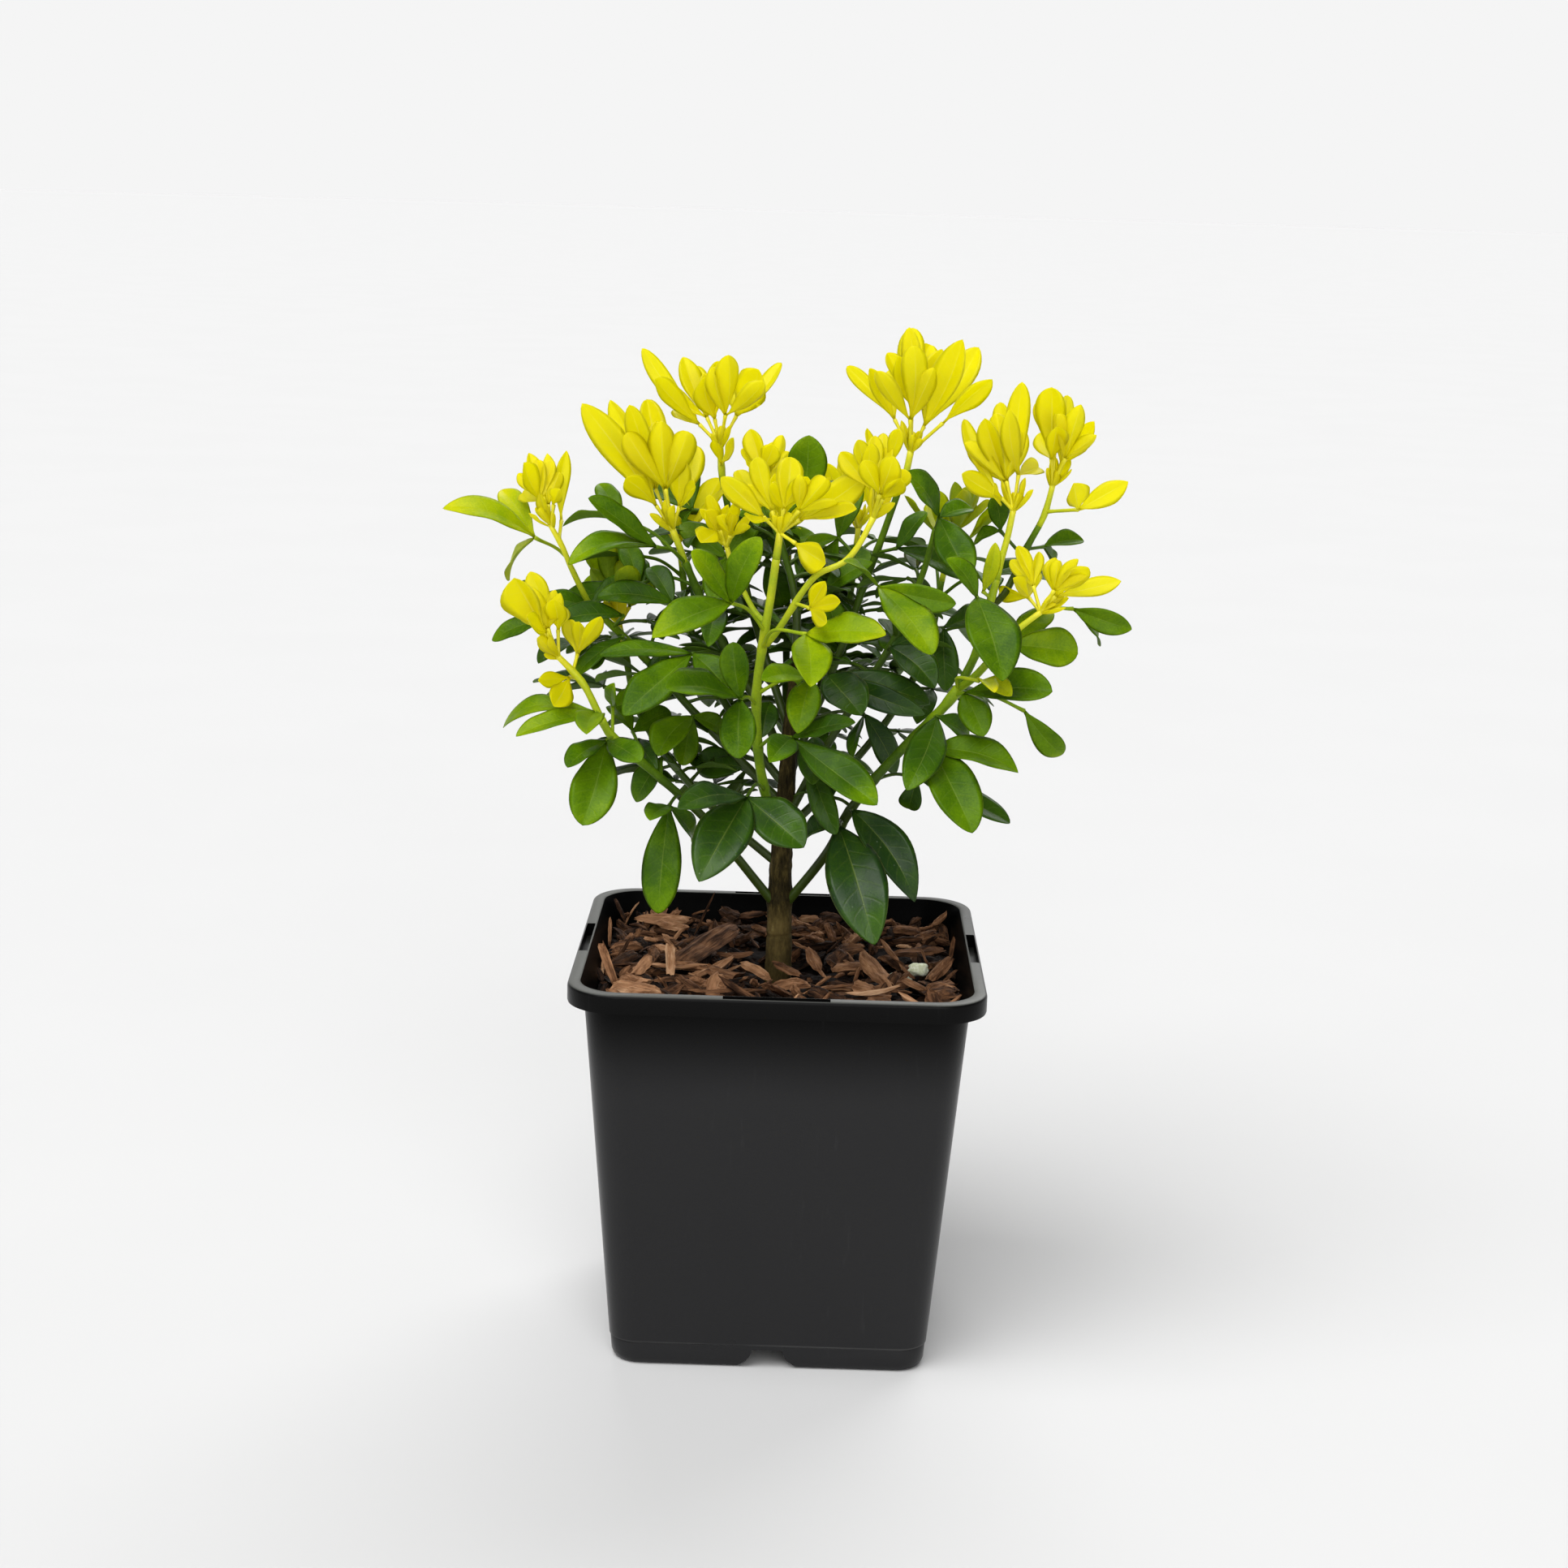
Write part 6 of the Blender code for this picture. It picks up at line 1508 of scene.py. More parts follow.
def foliage_material():
    """Leaves and their stems, from the yellow of the youngest to the dark green of the oldest."""
    g = Graph("foliage")
    along, across, age, seed, under, leaf = (g.attribute(mark) for mark in MARKS)
    places = g.places()
    wide = g.math("ABSOLUTE", across)
    blotch = g.noise(places, LEAF_BLOTCH, 3.0, 0.55)
    grain = g.noise(places, LEAF_GRAIN, 2.0, 0.7)
    drift = g.swing(blotch, 0.36, age)
    drift = g.swing(grain, 0.2, drift)
    tip_glow = g.times(g.span(along, 0.6, 1.0), g.times(leaf, seed))
    drift = g.times_plus(tip_glow, -0.14, drift)
    colour = g.ramp(drift, LEAF_COLOURS)
    young = g.span(age, 0.1, 0.42, 1.0, 0.0)
    firm = g.math("SUBTRACT", 1.0, young)
    old = g.span(age, 0.78, 0.98)
    # the midrib and the side veins, which leave it in turns and curve to the tip
    rib = g.times(g.span(wide, 0.0, 0.05, 1.0, 0.0), g.span(along, 0.6, 1.0, 1.0, 0.05))
    rib = g.times(rib, leaf)
    curve = g.math("POWER", wide, VEIN_CURVE)
    course = g.times_plus(curve, -VEIN_CURVE, g.times(along, VEINS))
    course = g.times_plus(g.math("SIGN", across), VEIN_TURNS, g.math("ADD", course, seed))
    near = g.math("ABSOLUTE", g.math("SUBTRACT", g.math("FRACT", course), 0.5))
    vein = g.times(g.span(near, 0.0, 0.12, 1.0, 0.0), g.span(wide, 0.5, 0.95, 1.0, 0.0))
    vein = g.times(vein, leaf)
    pale = g.mix(0.45, colour, g.mix(young, GREEN_VEIN, YOUNG_VEIN))
    colour = g.mix(g.times(vein, 0.07), colour, pale)
    colour = g.mix(g.times(rib, g.span(age, 0.2, 0.6, 0.5, 0.36)), colour, pale)
    # painted light: the margins are paler, as if lit through their thin edges
    edge = g.times(g.span(wide, 0.94, 1.0), g.times(leaf, 0.4))
    colour = g.mix(edge, colour, pale)
    flecks = g.span(g.spots(places, LEAF_SPECKS), 0.04, 0.15, 1.0, 0.0)
    flecks = g.times(g.times(flecks, g.span(blotch, 0.5, 0.66)), g.times(old, leaf))
    colour = g.mix(g.times(flecks, 0.45), colour, LEAF_FLECK)
    dull = g.mix(young, g.mix(0.3, colour, LEAF_BACK), colour)
    colour = g.mix(under, colour, dull)
    for wood, (low, high, least, most) in (
        (OLD_WOOD, (0.6, 0.95, 0.0, 0.5)),
        (GREEN_WOOD, (0.35, 0.85, 0.3, 0.0)),
    ):
        share = g.times(g.math("SUBTRACT", 1.0, leaf), g.span(age, low, high, least, most))
        colour = g.mix(share, colour, wood)
    height = g.times_plus(rib, -0.5, g.times(vein, -0.35))
    height = g.times(height, firm)
    height = g.times_plus(grain, 0.35, height)
    height = g.times_plus(blotch, 0.9, height)
    roughness = g.times_plus(blotch, 0.16, g.span(age, 0.1, 0.8, 0.30, 0.26))
    roughness = g.times_plus(under, 0.22, roughness)
    normal = g.bump(height, 0.3, 0.0005)
    gloss = g.times_plus(old, 0.16, g.span(age, 0.1, 0.5, 0.4, 0.1))
    g.principled(colour, roughness, normal, gloss)
    glow = g.nodes.new("ShaderNodeBsdfTranslucent")
    lit = g.mix(g.span(age, 0.1, 0.9, 0.4, 0.06), colour, LEAF_GLOW)
    g.feed(glow.inputs["Color"], lit)
    g.feed(glow.inputs["Normal"], normal)
    blend = g.nodes.new("ShaderNodeMixShader")
    share = g.times(leaf, g.span(age, 0.05, 0.85, 0.66, 0.13, False))
    g.feed(blend.inputs[0], share)
    g.links.new(g.shader.outputs[0], blend.inputs[1])
    g.links.new(glow.outputs[0], blend.inputs[2])
    g.links.new(blend.outputs[0], g.output.inputs["Surface"])
    return g.material


def bark_material():
    """The trunk's bark: dark ridges along it, paler with wear at the foot."""
    g = Graph("trunk_bark")
    places = g.places()
    height = g.attribute("height")
    ridge = g.noise(g.stretch(places, BARK_STRETCH), 1.0, 4.0, 0.65, 0.4)
    patch = g.noise(places, BARK_PATCH, 3.0, 0.6)
    colour = g.ramp(g.swing(patch, 0.8, ridge), BARK_COLOURS)
    foot = g.span(height, *WORN_SPAN, 1.0, 0.0)
    paler_share = g.times(foot, g.span(patch, 0.35, 0.65, 0.4, 1.0))
    colour = g.mix(paler_share, colour, g.mix(0.4, colour, BARK_WORN))
    normal = g.bump(ridge, 0.8, 0.0009)
    g.principled(colour, g.span(ridge, 0.3, 0.7, 0.9, 0.7), normal, 0.15)
    return g.material


def chip_material(dark):
    """Bark chips with fibres along them, or the crumbly mix under them, made nearly black with painted
    shade in the gaps.
    """
    g = Graph("bark_mix_dark" if dark else "bark_mix")
    seed = g.attribute("seed")
    if dark:
        grain = g.stretch(g.places(), BED_GRAIN)
    else:
        grain = g.stretch(g.attribute("grain", "Vector"), CHIP_FIBRE)
    fibre = g.noise(grain, 1.0, 4.0, 0.62, 0.25)
    patch = g.noise(g.places(), CHIP_PATCH, 2.0, 0.5)
    tone = g.swing(patch, 0.5, seed)
    tone = g.swing(fibre, 1.1, tone)
    colour = g.ramp(tone, CHIP_COLOURS)
    # painted shade: the mix under the chips is darkened nearly to black
    if dark:
        colour = g.mix(0.9, colour, BED_COLOUR_AND_SHADE)
    normal = g.bump(fibre, 0.9, 0.0012)
    g.principled(colour, g.span(fibre, 0.3, 0.7, 0.95, 0.78), normal, 0.08 if dark else 0.16)
    return g.material


def plastic_material():
    """Satin black plastic: dusting and painted light make the outside of the body paler lower down, leaving
    painted shade under the rim and inside; painted highlights run along its seams, and dusting and a
    painted sheen pale the flat top of the rim.
    """
    g = Graph("black_plastic")
    places = g.places()
    place, facing_way = (g.nodes.new("ShaderNodeSeparateXYZ") for _ in range(2))
    g.feed(place.inputs[0], places)
    normal = g.nodes.new("ShaderNodeNewGeometry").outputs["Normal"]
    g.feed(facing_way.inputs[0], normal)
    height, up = place.outputs["Z"], facing_way.outputs["Z"]
    outward = g.nodes.new("ShaderNodeVectorMath")
    outward.operation = "DOT_PRODUCT"
    g.feed(outward.inputs[0], normal)
    g.feed(outward.inputs[1], g.stretch(places, (1.0, 1.0, 0.0)))
    outside = g.span(outward.outputs["Value"], 0.0, 0.02)
    inside = g.span(outward.outputs["Value"], -0.02, 0.0, 1.0, 0.0)
    cloud = g.noise(places, PLASTIC_CLOUD, 4.0, 0.55)
    skin = g.noise(places, PLASTIC_SKIN, 2.0, 0.5)
    scratch = g.noise(g.stretch(places, SCUFF_STRETCH), 1.0, 3.0, 0.6, 0.3)
    marks = g.times(g.span(scratch, 0.58, 0.8), g.span(cloud, 0.45, 0.7))
    lower = g.span(height, BODY_TOP, BODY_TOP - SHADE_DEPTH)
    # painted shade with cloudy dusting: darker just under the rim and inside, paler lower down the outside
    dust_and_light = g.times(lower, g.times_plus(cloud, 0.3, g.times(outside, 0.85)), clamp=True)
    level = g.times(g.span(up, 0.6, 0.97), g.span(height, BODY_TOP, POT_HEIGHT - 1.0 * MM))
    colour = g.mix(dust_and_light, PLASTIC_CLEAN, PLASTIC_DUST_AND_LIGHT)
    colour = g.mix(g.times(marks, 0.5), colour, PLASTIC_SCUFF)
    # painted highlights: thin paler lines along the mould line and just under the rim
    for seam in SEAM_HEIGHTS:
        off = g.math("ABSOLUTE", g.math("SUBTRACT", height, seam))
        paler_share = g.times(g.span(off, *SEAM_SPAN, 1.0, 0.0), g.span(cloud, 0.35, 0.6, 0.2, 0.9))
        colour = g.mix(g.times(paler_share, outside), colour, PLASTIC_SEAM_HIGHLIGHT)
    # dusting and a painted sheen: the level top of the rim is paler
    rim_dust_and_sheen = g.times(level, g.times_plus(cloud, 0.5, 0.7), clamp=True)
    colour = g.mix(rim_dust_and_sheen, colour, RIM_DUST_AND_SHEEN)
    roughness = g.times_plus(cloud, 0.1, g.times_plus(marks, 0.1, 0.24))
    bumps = g.times_plus(skin, 0.4, g.times(cloud, 1.2))
    sheen = g.times(g.times_plus(lower, 0.115, 0.065), g.times_plus(inside, -0.85, 1.0))
    g.principled(colour, roughness, g.bump(bumps, 0.2, 0.0005), sheen)
    return g.material


def perlite_material():
    """Perlite: white glassy foam with darker pores."""
    g = Graph("perlite")
    places = g.places()
    pores = g.noise(places, PERLITE_PORES, 4.0, 0.6)
    colour = g.mix(g.span(pores, 0.35, 0.7), PERLITE_PORE, PERLITE_FACE)
    g.principled(colour, g.span(pores, 0.3, 0.7, 0.9, 0.7), g.bump(pores, 0.7, 0.0008), 0.3)
    return g.material


def floor_material():
    """The plain pale floor, hardly mottled."""
    g = Graph("pale_floor")
    mottle = g.noise(g.places(), FLOOR_MOTTLE, 2.0, 0.5)
    lighter = tuple(value * 1.01 for value in FLOOR_TINT)
    g.principled(g.mix(g.span(mottle, 0.3, 0.7), FLOOR_TINT, lighter), 0.9, None, 0.0)
    return g.material


# The pot


def square_ring(half, corner):
    """Points of a rounded square in the plane, anticlockwise."""
    points = []
    for quarter in range(4):
        turn = quarter * math.pi / 2
        centre = half - corner
        for step in range(CORNER_STEPS + 1):
            angle = step * math.pi / 2 / CORNER_STEPS
            x = centre + corner * math.cos(angle)
            y = centre + corner * math.sin(angle)
            along, over = math.cos(turn), math.sin(turn)
            points.append((x * along - y * over, x * over + y * along))
    return points


def new_piece(name, shape):
    """An object of this finished shape."""
    mesh = bpy.data.meshes.new(name)
    bmesh.ops.recalc_face_normals(shape, faces=shape.faces)
    shape.to_mesh(mesh)
    shape.free()
    return placed(name, mesh)


def ringed_piece(name, rings):
    """A closed body through rings of places, each with as many as the next."""
    shape = bmesh.new()
    rings = [[shape.verts.new(place) for place in ring] for ring in rings]
    for lower, upper in zip(rings, rings[1:]):
        for index in range(len(lower)):
            after = (index + 1) % len(lower)
            shape.faces.new((lower[index], lower[after], upper[after], upper[index]))
    shape.faces.new(reversed(rings[0]))
    shape.faces.new(rings[-1])
    return new_piece(name, shape)


def prism(name, outline, half_length, turn):
    """A bar with this outline in the upright plane, along Y before it is turned."""
    ends = (-half_length, half_length)
    item = ringed_piece(name, [[(x, y, z) for x, z in outline] for y in ends])
    item.rotation_euler = (0.0, 0.0, turn)
    return item


def rounded(half, corner, height, drawn_in=0.0):
    """A section of the pot, drawn in from these sizes."""
    return (half - drawn_in * MM, corner - drawn_in * MM, height)


def pot_sections():
    """The rounded squares of the pot's skin as (half width, corner radius, height).

    They go up the outside of foot, body and rim, then down inside to the floor.
    """
    line, soft = MOULD_LINE_HEIGHT, RIM_SOFT
    sections = [
        rounded(BODY_BASE_HALF, BODY_BASE_CORNER, 0.0, 2.0),
        rounded(BODY_BASE_HALF, BODY_BASE_CORNER, 0.2 * MM, 1.0),
        rounded(BODY_BASE_HALF, BODY_BASE_CORNER, 0.8 * MM, 0.4),
        (body_half(2.4 * MM), body_corner(2.4 * MM), 2.4 * MM),
        (body_half(line - 0.3 * MM), body_corner(line), line - 0.3 * MM),
        (body_half(line) - 0.12 * MM, body_corner(line), line),
        (body_half(line) + MOULD_LINE_STEP, body_corner(line), line + 0.3 * MM),
    ]
    for step in range(1, BODY_RINGS):
        share = step / BODY_RINGS
        height = line + (BODY_TOP - 0.9 * MM - line) * share
        half = body_half(height) + MOULD_LINE_STEP * (1 - share)
        sections.append((half, body_corner(height), height))
    return [
        *sections,
        (BODY_TOP_HALF, BODY_TOP_CORNER, BODY_TOP - 0.5 * MM),
        rounded(BODY_TOP_HALF, BODY_TOP_CORNER, BODY_TOP, -0.45),
        (RIM_HALF - soft, RIM_CORNER - soft, BODY_TOP),
        (RIM_HALF - 0.25 * soft, RIM_CORNER - 0.25 * soft, BODY_TOP + 0.2 * soft),
        (RIM_HALF, RIM_CORNER, BODY_TOP + soft),
        (RIM_HALF, RIM_CORNER, POT_HEIGHT - 1.2 * MM),
        rounded(RIM_HALF, RIM_CORNER, POT_HEIGHT - 0.75 * MM, 0.1),
        rounded(RIM_HALF, RIM_CORNER, POT_HEIGHT - 0.35 * MM, 0.4),
        rounded(RIM_HALF, RIM_CORNER, POT_HEIGHT - 0.1 * MM, 0.75),
        rounded(RIM_HALF, RIM_CORNER, POT_HEIGHT, 1.2),
        rounded(RIM_INNER_HALF, RIM_INNER_CORNER, POT_HEIGHT, -0.6),
        rounded(RIM_INNER_HALF, RIM_INNER_CORNER, POT_HEIGHT - 0.18 * MM, -0.18),
        (RIM_INNER_HALF, RIM_INNER_CORNER, POT_HEIGHT - 0.6 * MM),
        inner_section(BODY_TOP),
        inner_section(FLOOR_TOP + 1.5 * MM),
        inner_section(FLOOR_TOP, 1.5 * MM),
    ]


def channel_outline():
    """Half of the foot channel's section flares out to the ground, and the other half mirrors it."""
    half = [(CHANNEL_FOOT_HALF, -CUT_OVER)]
    for index in range(CHANNEL_STEPS):
        flare = (1.0 - index / CHANNEL_STEPS) ** 2
        width = CHANNEL_TOP_HALF + (CHANNEL_FOOT_HALF - CHANNEL_TOP_HALF) * flare
        half.append((width, CHANNEL_HEIGHT * (index / CHANNEL_STEPS)))
    half.append((CHANNEL_TOP_HALF, CHANNEL_HEIGHT - 0.5 * MM))
    half.append((CHANNEL_TOP_HALF - 0.3 * MM, CHANNEL_HEIGHT))
    return half + [(-x, z) for x, z in reversed(half)]


def pot_cutters():
    """What is cut from the pot: the channels in its foot, its rim's pockets and the drain holes."""
    outline = channel_outline()
    cutters = [prism(f"channel_{index}", outline, RIM_HALF, index * math.pi / 2) for index in range(2)]
    length, width, depth = FINE_POCKET
    pocket = [(-width / 2, -depth), (width / 2, -depth), (width / 2, depth), (-width / 2, depth)]
    drains = [Vector()]
    for index in range(4):
        turn = index * math.pi / 2
        out = level_way(turn)
        drains.append(out * DRAIN_DISTANCE)
        cutter = prism(f"pocket_{index}", pocket, length / 2, turn)
        cutter.location = out * (RIM_HALF + RIM_INNER_HALF) / 2 + upward(POT_HEIGHT)
        cutters.append(cutter)
    for index, drain in enumerate(drains):
        shape = bmesh.new()
        bmesh.ops.create_cone(
            shape, cap_ends=True, segments=48, radius1=DRAIN_RADIUS, radius2=DRAIN_RADIUS,
            depth=FLOOR_TOP - CHANNEL_HEIGHT + 2 * CUT_OVER,
        )
        cutter = new_piece(f"drain_{index}", shape)
        cutter.location = drain + upward((FLOOR_TOP + CHANNEL_HEIGHT) / 2)
        cutters.append(cutter)
    return cutters


def make_pot():
    """The pot as one moulding."""
    rings = []
    for half, corner, height in pot_sections():
        rings.append([(x, y, height) for x, y in square_ring(half, corner)])
    pot = ringed_piece("pot_shell", rings)
    pot.data.materials.append(plastic_material())
    cutters = pot_cutters()
    holder = bpy.data.collections.new("pot_cuts")
    bpy.context.scene.collection.children.link(holder)
    for cutter in cutters:
        bpy.context.scene.collection.objects.unlink(cutter)
        holder.objects.link(cutter)
    modifier = pot.modifiers.new("cuts", "BOOLEAN")
    modifier.operation = "DIFFERENCE"
    modifier.operand_type = "COLLECTION"
    modifier.collection = holder
    modifier.solver = "EXACT"
    bpy.context.view_layer.update()
    cut_pot = pot.evaluated_get(bpy.context.evaluated_depsgraph_get())
    mesh = bpy.data.meshes.new_from_object(cut_pot)
    pot.modifiers.remove(modifier)
    pot.data = mesh
    for cutter in cutters:
        bpy.data.objects.remove(cutter)
    bpy.data.collections.remove(holder)
    mesh.shade_smooth()
    mesh.set_sharp_from_angle(angle=POT_CREASE)
    return dress(pot, "pot")


# The potting mix


def inside_walls(points, half):
    """The points, with those beyond the pot's rounded inner corners drawn in to them."""
    straight = half - MIX_CORNER
    flat = np.clip(points[..., :2], -half, half)
    over = np.sign(flat) * np.maximum(np.abs(flat) - straight, 0.0)
    far = np.hypot(over[..., 0], over[..., 1])
    drawn = over * np.minimum(1.0, MIX_CORNER / np.maximum(far, 1e-9))[..., None]
    return np.concatenate([flat - over + drawn, points[..., 2:]], axis=-1)


def add_chip(skin, grains, place, size, spin, tilt, tone, rule):
    """One splinter of bark: a thin closed skin with ragged ends, a bow along it and rough faces."""
    length, width, thick = size
    rows, columns = CHIP_GRID
    u = np.linspace(-1.0, 1.0, rows + 1)[:, None]
    v = np.linspace(-1.0, 1.0, columns + 1)[None, :]
    noise_of = np.random.default_rng(rule.randrange(1 << 30))
    taper = rule.uniform(*CHIP_TAPERS)
    skew = rule.uniform(-CHIP_SKEW, CHIP_SKEW)
    full = 1.0 - taper * np.abs(u) ** rule.uniform(*CHIP_TAPER_POWERS)
    full = np.clip(full * (1.0 + 0.35 * skew * u), 0.12, None)
    grid = (rows + 1, columns + 1)
    ends, sides = (noise_of.uniform(-most, most, grid) for most in CHIP_RAGGED)
    x = length / 2 * (u + ends * np.abs(u) ** 3 + 0 * v)
    y = width / 2 * (v * full + sides)
    along, across = (rule.uniform(-most, most) for most in CHIP_BOWS)
    bow = along * length * u**2 + across * width * v**2
    lumps = noise_of.uniform(-CHIP_LUMPS, CHIP_LUMPS, grid) * thick
    body = thick / 2 * np.sqrt(np.clip(1.0 - np.abs(v) ** 7, 0.0, 1.0))
    body = body * (1.0 - 0.5 * np.abs(u) ** 6)
    top = np.stack([x, y, bow + lumps + body], axis=-1)
    bottom = np.stack([x, y, bow + 0.5 * lumps - body], axis=-1)
    rim = np.stack([x, y, bow + 0.5 * lumps], axis=-1)
    for row in (0, rows):
        top[row] = rim[row]
    for column in (0, columns):
        top[:, column] = rim[:, column]
    points = pillow_points(top, bottom, False)
    turn = Matrix.Rotation(spin, 3, "Z") @ Matrix.Rotation(tilt[0], 3, "Y")
    turn = turn @ Matrix.Rotation(tilt[1], 3, "X")
    turned = points @ np.array(turn).T
    limit = MIX_HALF - np.abs(turned[:, :2]).max(axis=0)
    centre = np.array([*np.clip(np.array(place[:2]), -limit, limit), place[2]])
    grains.append(points + noise_of.uniform(-1.0, 1.0, 3))
    seed = tone + rule.uniform(-CHIP_SPREAD, CHIP_SPREAD)
    skin.add(inside_walls(turned + centre, MIX_HALF), CHIP_FACES, seed=seed)


def hollow_at(far):
    """How deep the mix sinks this far from the trunk's bark, as a share."""
    return math.exp(-((far / HOLLOW_REACH) ** 2))


def make_bed():
    """The crumbly mix under the chips, from the pot's floor up, nearly black with painted shade in the
    gaps.
    """
    bed = Skin(("seed",))
    line = np.linspace(-1.0, 1.0, BED_STEPS + 1)
    grid_x, grid_y = np.meshgrid(line, line, indexing="ij")
    top = np.zeros((BED_STEPS + 1, BED_STEPS + 1, 3))
    top[..., 0], top[..., 1] = grid_x * MIX_HALF, grid_y * MIX_HALF
    for row in top:
        for spot in row:
            place = Vector((spot[0], spot[1], 0.0))
            rough = sum(noise.noise(place * waves) * rise for waves, rise in BED_ROUGHNESS)
            sunk = HOLLOW_DEPTH * hollow_at(place.length - TRUNK_RADIUS)
            spot[2] = BED_TOP + (rough - sunk) * MM
    foot = top.copy()
    shrink = inner_section(FLOOR_TOP + GAP, GAP)[0] / MIX_HALF
    foot[..., :2] *= shrink
    foot[..., 2] = FLOOR_TOP + GAP
    sides = inside_walls(top, MIX_HALF), inside_walls(foot, MIX_HALF * shrink)
    faces = pillow_faces(BED_STEPS, BED_STEPS, False)
    bed.add(pillow_points(*sides, False), faces, seed=BED_TONE)
    under = bed.piece("mix_bed", chip_material(True), True)
    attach(under, "root")


def strew_chips(chips, grains, rule):
    """The layers of chips, strewn clear of the trunk and, in the upper ones, of what is laid."""
    laid = [((row[0] + row[2]) / 2 * MM, (row[1] + row[3]) / 2 * MM) for row in LAID_CHIPS]
    laid += [(row[0] * MM, row[1] * MM) for row in PERLITE]
    waves, heave = CHIP_HEAVE
    # the layers' tones darken downwards: painted shade between the chips
    for lift, count, lengths, widths, tone, tilt in CHIP_LAYERS:
        for _ in range(count):
            x, y = rule.uniform(-1, 1) * MIX_HALF, rule.uniform(-1, 1) * MIX_HALF
            length = rule.uniform(*lengths) * MM
            width = min(length * 0.7, rule.uniform(*widths) * MM)
            thick = rule.uniform(*CHIP_THICKNESSES) * MM * min(1.0, width / (CHIP_NARROW * MM))
            far = math.hypot(x, y) - TRUNK_RADIUS
            hollow = hollow_at(far)
            if far < 0.42 * length or rule.random() < hollow * HOLLOW_BARE:
                continue
            if lift > LAID_LIFT and any(math.hypot(x - u, y - v) < LAID_CLEAR for u, v in laid):
                continue
            rise = heave * noise.noise(Vector((x, y, 0.0)) * waves)
            jitter = rule.uniform(-CHIP_JITTER, CHIP_JITTER)
            z = BED_TOP + (lift + rise + jitter - HOLLOW_DEPTH * hollow) * MM
            tilts = [math.radians(rule.gauss(0, share * tilt)) for share in (1, 1.5)]
            size = (length, width, thick + CHIP_THINNEST * MM)
            spin = rule.uniform(0, TURN)
            add_chip(chips, grains, (x, y, z), size, spin, tilts, tone, rule)


def lay_chips(chips, grains, rule):
    """The large chips of the photograph, each from its foot to its head and leaning on its side."""
    for x, y, head_x, head_y, head_z, width, lean, tone in LAID_CHIPS:
        foot = Vector((x, y, LAID_FOOT)) * MM
        head = Vector((head_x, head_y, head_z)) * MM
        run = head - foot
        spin, rise = math.atan2(run.y, run.x), -math.asin(run.z / run.length)
        lean = math.radians(lean)
        turned = Matrix.Rotation(spin, 3, "Z") @ Matrix.Rotation(rise, 3, "Y")
        face = turned.transposed() @ Vector((0.0, -math.sin(lean), math.cos(lean)))
        roll = math.atan2(-face.y, face.z) + rule.uniform(-LAID_TURN, LAID_TURN)
        size = (run.length * LAID_STRETCH, width * MM, min(2.2, 0.7 + 0.2 * width) * MM)
        place = foot.lerp(head, 0.5)
        add_chip(chips, grains, place, size, spin, (rise, roll), tone / 100, rule)


def make_perlite(rule):
    """The few white bits of perlite, lumpy and a little flat."""
    perlite = Skin(())
    for x, y, size in PERLITE:
        shape = bmesh.new()
        bmesh.ops.create_icosphere(shape, subdivisions=3, radius=1.0)
        stretch = Vector([rule.uniform(*PERLITE_STRETCH) for _ in range(3)])
        shift = Vector([rule.uniform(-9, 9) for _ in range(3)])
        points = []
        for corner in shape.verts:
            way = corner.co.copy()
            lumps = (size_of * noise.noise(way * scale + shift) for scale, size_of in PERLITE_LUMPS)
            bulge = sum(lumps, 1.0)
            flat = (way.x * stretch.x, way.y * stretch.y, way.z * PERLITE_FLAT)
            points.append([value * bulge for value in flat])
        faces = [[corner.index for corner in face.verts] for face in shape.faces]
        shape.free()
        place = np.array([x, y, BED_TOP / MM + PERLITE_RISE]) * MM
        perlite.add(np.array(points) * size / 2 * MM + place, faces)
    bits = perlite.piece("perlite_bits", perlite_material())
    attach(bits, "root")


def make_mix():
    """The potting mix: its bed, the bark chips that lie on it and the perlite."""
    rule = random.Random(23)
    chips = Skin(("seed",))
    grains = []
    strew_chips(chips, grains, rule)
    lay_chips(chips, grains, rule)
    piece = chips.piece("bark_chips", chip_material(False), False)
    layer = piece.data.attributes.new("grain", "FLOAT_VECTOR", "POINT")
    layer.data.foreach_set("vector", np.concatenate(grains).astype(np.float32).ravel())
    dress(piece, "soil")
    make_bed()
    make_perlite(rule)


def make_trunk():
    """The trunk with its bark, the scar of an old ring and the swellings under its shoots."""
    path = smooth_path(TRUNK_PATH, TRUNK_STEP)
    heights = [place.z for place in path]
    radii = np.interp(heights, [place.z for place in TRUNK_PATH], TRUNK_RADII)
    skin = Skin(("height",))
    add_tube(skin, path, radii, TRUNK_SIDES, height=heights)
    points = skin.points[0]
    for index in range(len(path) * TRUNK_SIDES):
        ring = index // TRUNK_SIDES
        place = Vector(points[index])
        out = (place - path[ring]).normalized()
        z = place.z / MM
        swirl = Vector((out.x * BARK_ROUND, out.y * BARK_ROUND, z * BARK_ALONG))
        rough = sum(depth * noise.noise(swirl * scale) for scale, depth in BARK_ROUGHNESS)
        for scar, depth in TRUNK_SCARS:
            rough += depth * math.exp(-(((z - scar - SCAR_SLANT * out.x) / SCAR_WIDTH) ** 2))
        for knot, way, size in TRUNK_KNOTS:
            near = (out - level_way(way)).length
            flat = (z - knot) / KNOT_HEIGHT
            rough += size * math.exp(-(flat**2) - (near / KNOT_SPREAD) ** 2)
        points[index] = place + out * rough * MM * min(1.0, radii[ring] / BARK_FULL)
    return dress(skin.piece("trunk_bark", bark_material()), "trunk")


# The studio


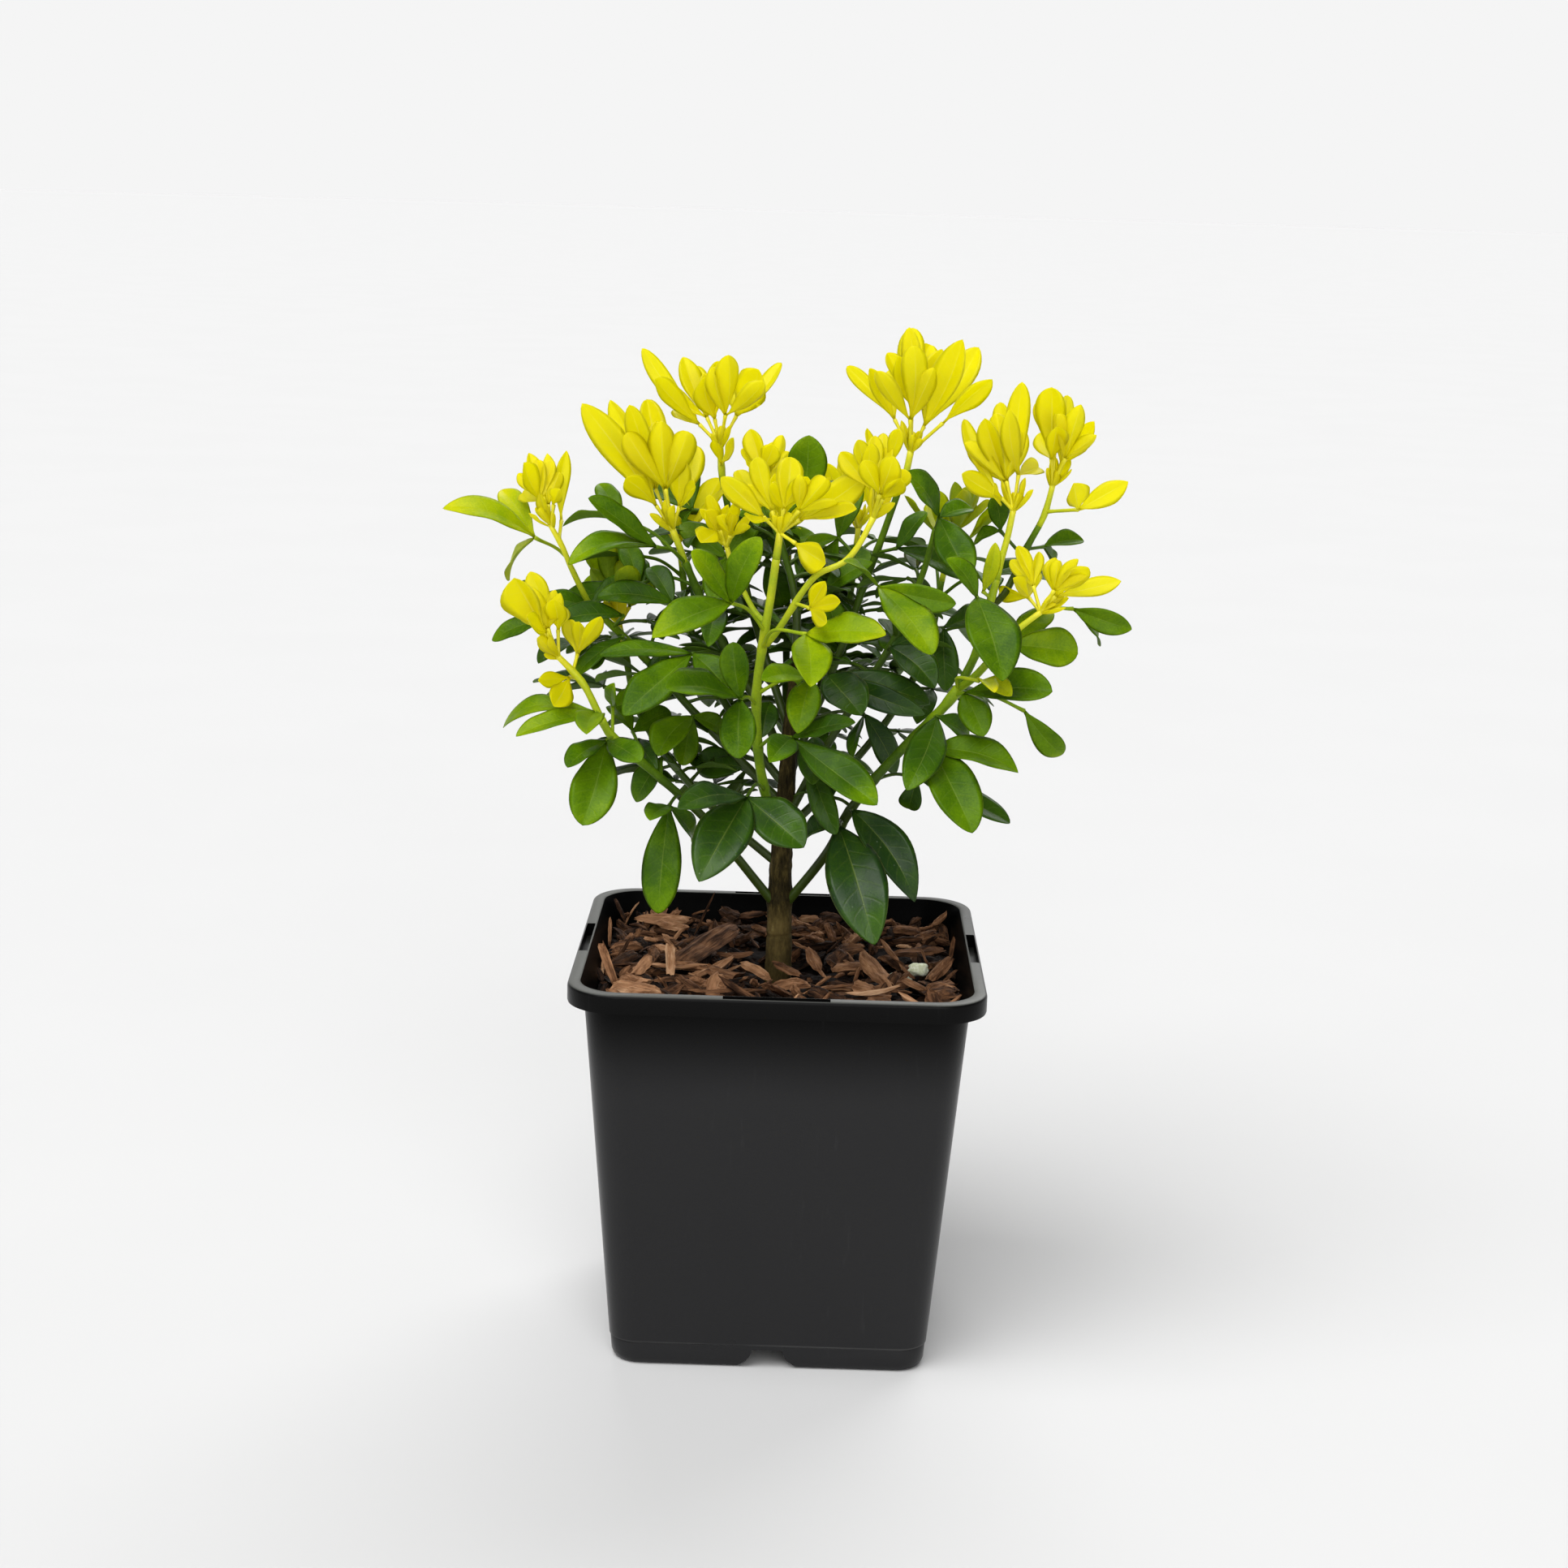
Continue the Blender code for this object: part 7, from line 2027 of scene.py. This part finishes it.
def make_floor():
    """A wide round floor a hair below the object."""
    points, faces = [], []
    for radius in FLOOR_RADII:
        for turn in range(FLOOR_TURNS):
            angle = 2 * math.pi * turn / FLOOR_TURNS
            points.append((radius * math.cos(angle), radius * math.sin(angle), -FLOOR_GAP))
    for row in range(len(FLOOR_RADII) - 1):
        for turn in range(FLOOR_TURNS):
            after = (turn + 1) % FLOOR_TURNS
            near, far = row * FLOOR_TURNS, (row + 1) * FLOOR_TURNS
            faces.append((near + turn, far + turn, far + after, near + after))
    faces.append(tuple(range(FLOOR_TURNS)))
    mesh = bpy.data.meshes.new("studio_floor")
    mesh.from_pydata(points, [], faces)
    mesh.materials.append(floor_material())
    floor = placed("studio_floor", mesh)


def make_lamps():
    """Three wide soft suns."""
    for name, towards, angle, power in SUNS:
        light = bpy.data.lights.new(name, "SUN")
        light.angle = math.radians(angle)
        light.energy = power
        lamp = placed(name, light)
        lamp.rotation_euler = (-Vector(towards)).to_track_quat("-Z", "Y").to_euler()


def make_world():
    """An even white room whose ceiling is dimmer than its walls."""
    world = bpy.data.worlds.new("studio")
    world.use_nodes = True
    nodes, links = world.node_tree.nodes, world.node_tree.links
    parts = nodes.new("ShaderNodeSeparateXYZ")
    links.new(nodes.new("ShaderNodeTexCoord").outputs["Generated"], parts.inputs[0])
    fade = nodes.new("ShaderNodeMapRange")
    fade.interpolation_type = "SMOOTHSTEP"
    links.new(parts.outputs["Z"], fade.inputs[0])
    for index, value in enumerate((*WALL_SPAN, WALL_STRENGTH, CEILING_STRENGTH), 1):
        fade.inputs[index].default_value = value
    links.new(fade.outputs[0], nodes["Background"].inputs["Strength"])
    nodes["Background"].inputs["Color"].default_value = (1.0, 1.0, 1.0, 1.0)
    bpy.context.scene.world = world


def make_camera():
    """The camera of the photograph: it looks down on the pot and is turned a little about its axis."""
    camera = bpy.data.cameras.new("camera")
    camera.sensor_width = 36.0
    camera.lens = CAMERA_LENS
    camera.clip_start = 0.05
    item = placed("camera", camera)
    yaw, pitch, roll = (math.radians(angle) for angle in CAMERA_ANGLES)
    flat = math.cos(pitch)
    ahead = Vector((math.sin(yaw) * flat, math.cos(yaw) * flat, -math.sin(pitch)))
    level = Vector((math.cos(yaw), -math.sin(yaw), 0.0))
    upright = level.cross(ahead)
    right = math.cos(roll) * level + math.sin(roll) * upright
    up = math.cos(roll) * upright - math.sin(roll) * level
    item.matrix_world = Matrix((
        (right.x, up.x, -ahead.x, EYE.x),
        (right.y, up.y, -ahead.y, EYE.y),
        (right.z, up.z, -ahead.z, EYE.z),
        (0.0, 0.0, 0.0, 1.0),
    ))
    bpy.context.scene.camera = item


LEAF_FACES = {
    True: pillow_faces(YOUNG_ROWS, len(YOUNG_COLUMNS) - 1, True),
    False: pillow_faces(GREEN_ROWS, len(GREEN_COLUMNS) - 1, True),
}
CHIP_FACES = pillow_faces(*CHIP_GRID, False)

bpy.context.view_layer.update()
make_pot()
make_mix()
make_trunk()
leaf_finish = foliage_material()
for grown_item in grown_shoots():
    make_foliage(grown_item, leaf_finish)
make_floor()
make_lamps()
make_world()
make_camera()
bpy.context.scene.view_settings.view_transform = "Standard"
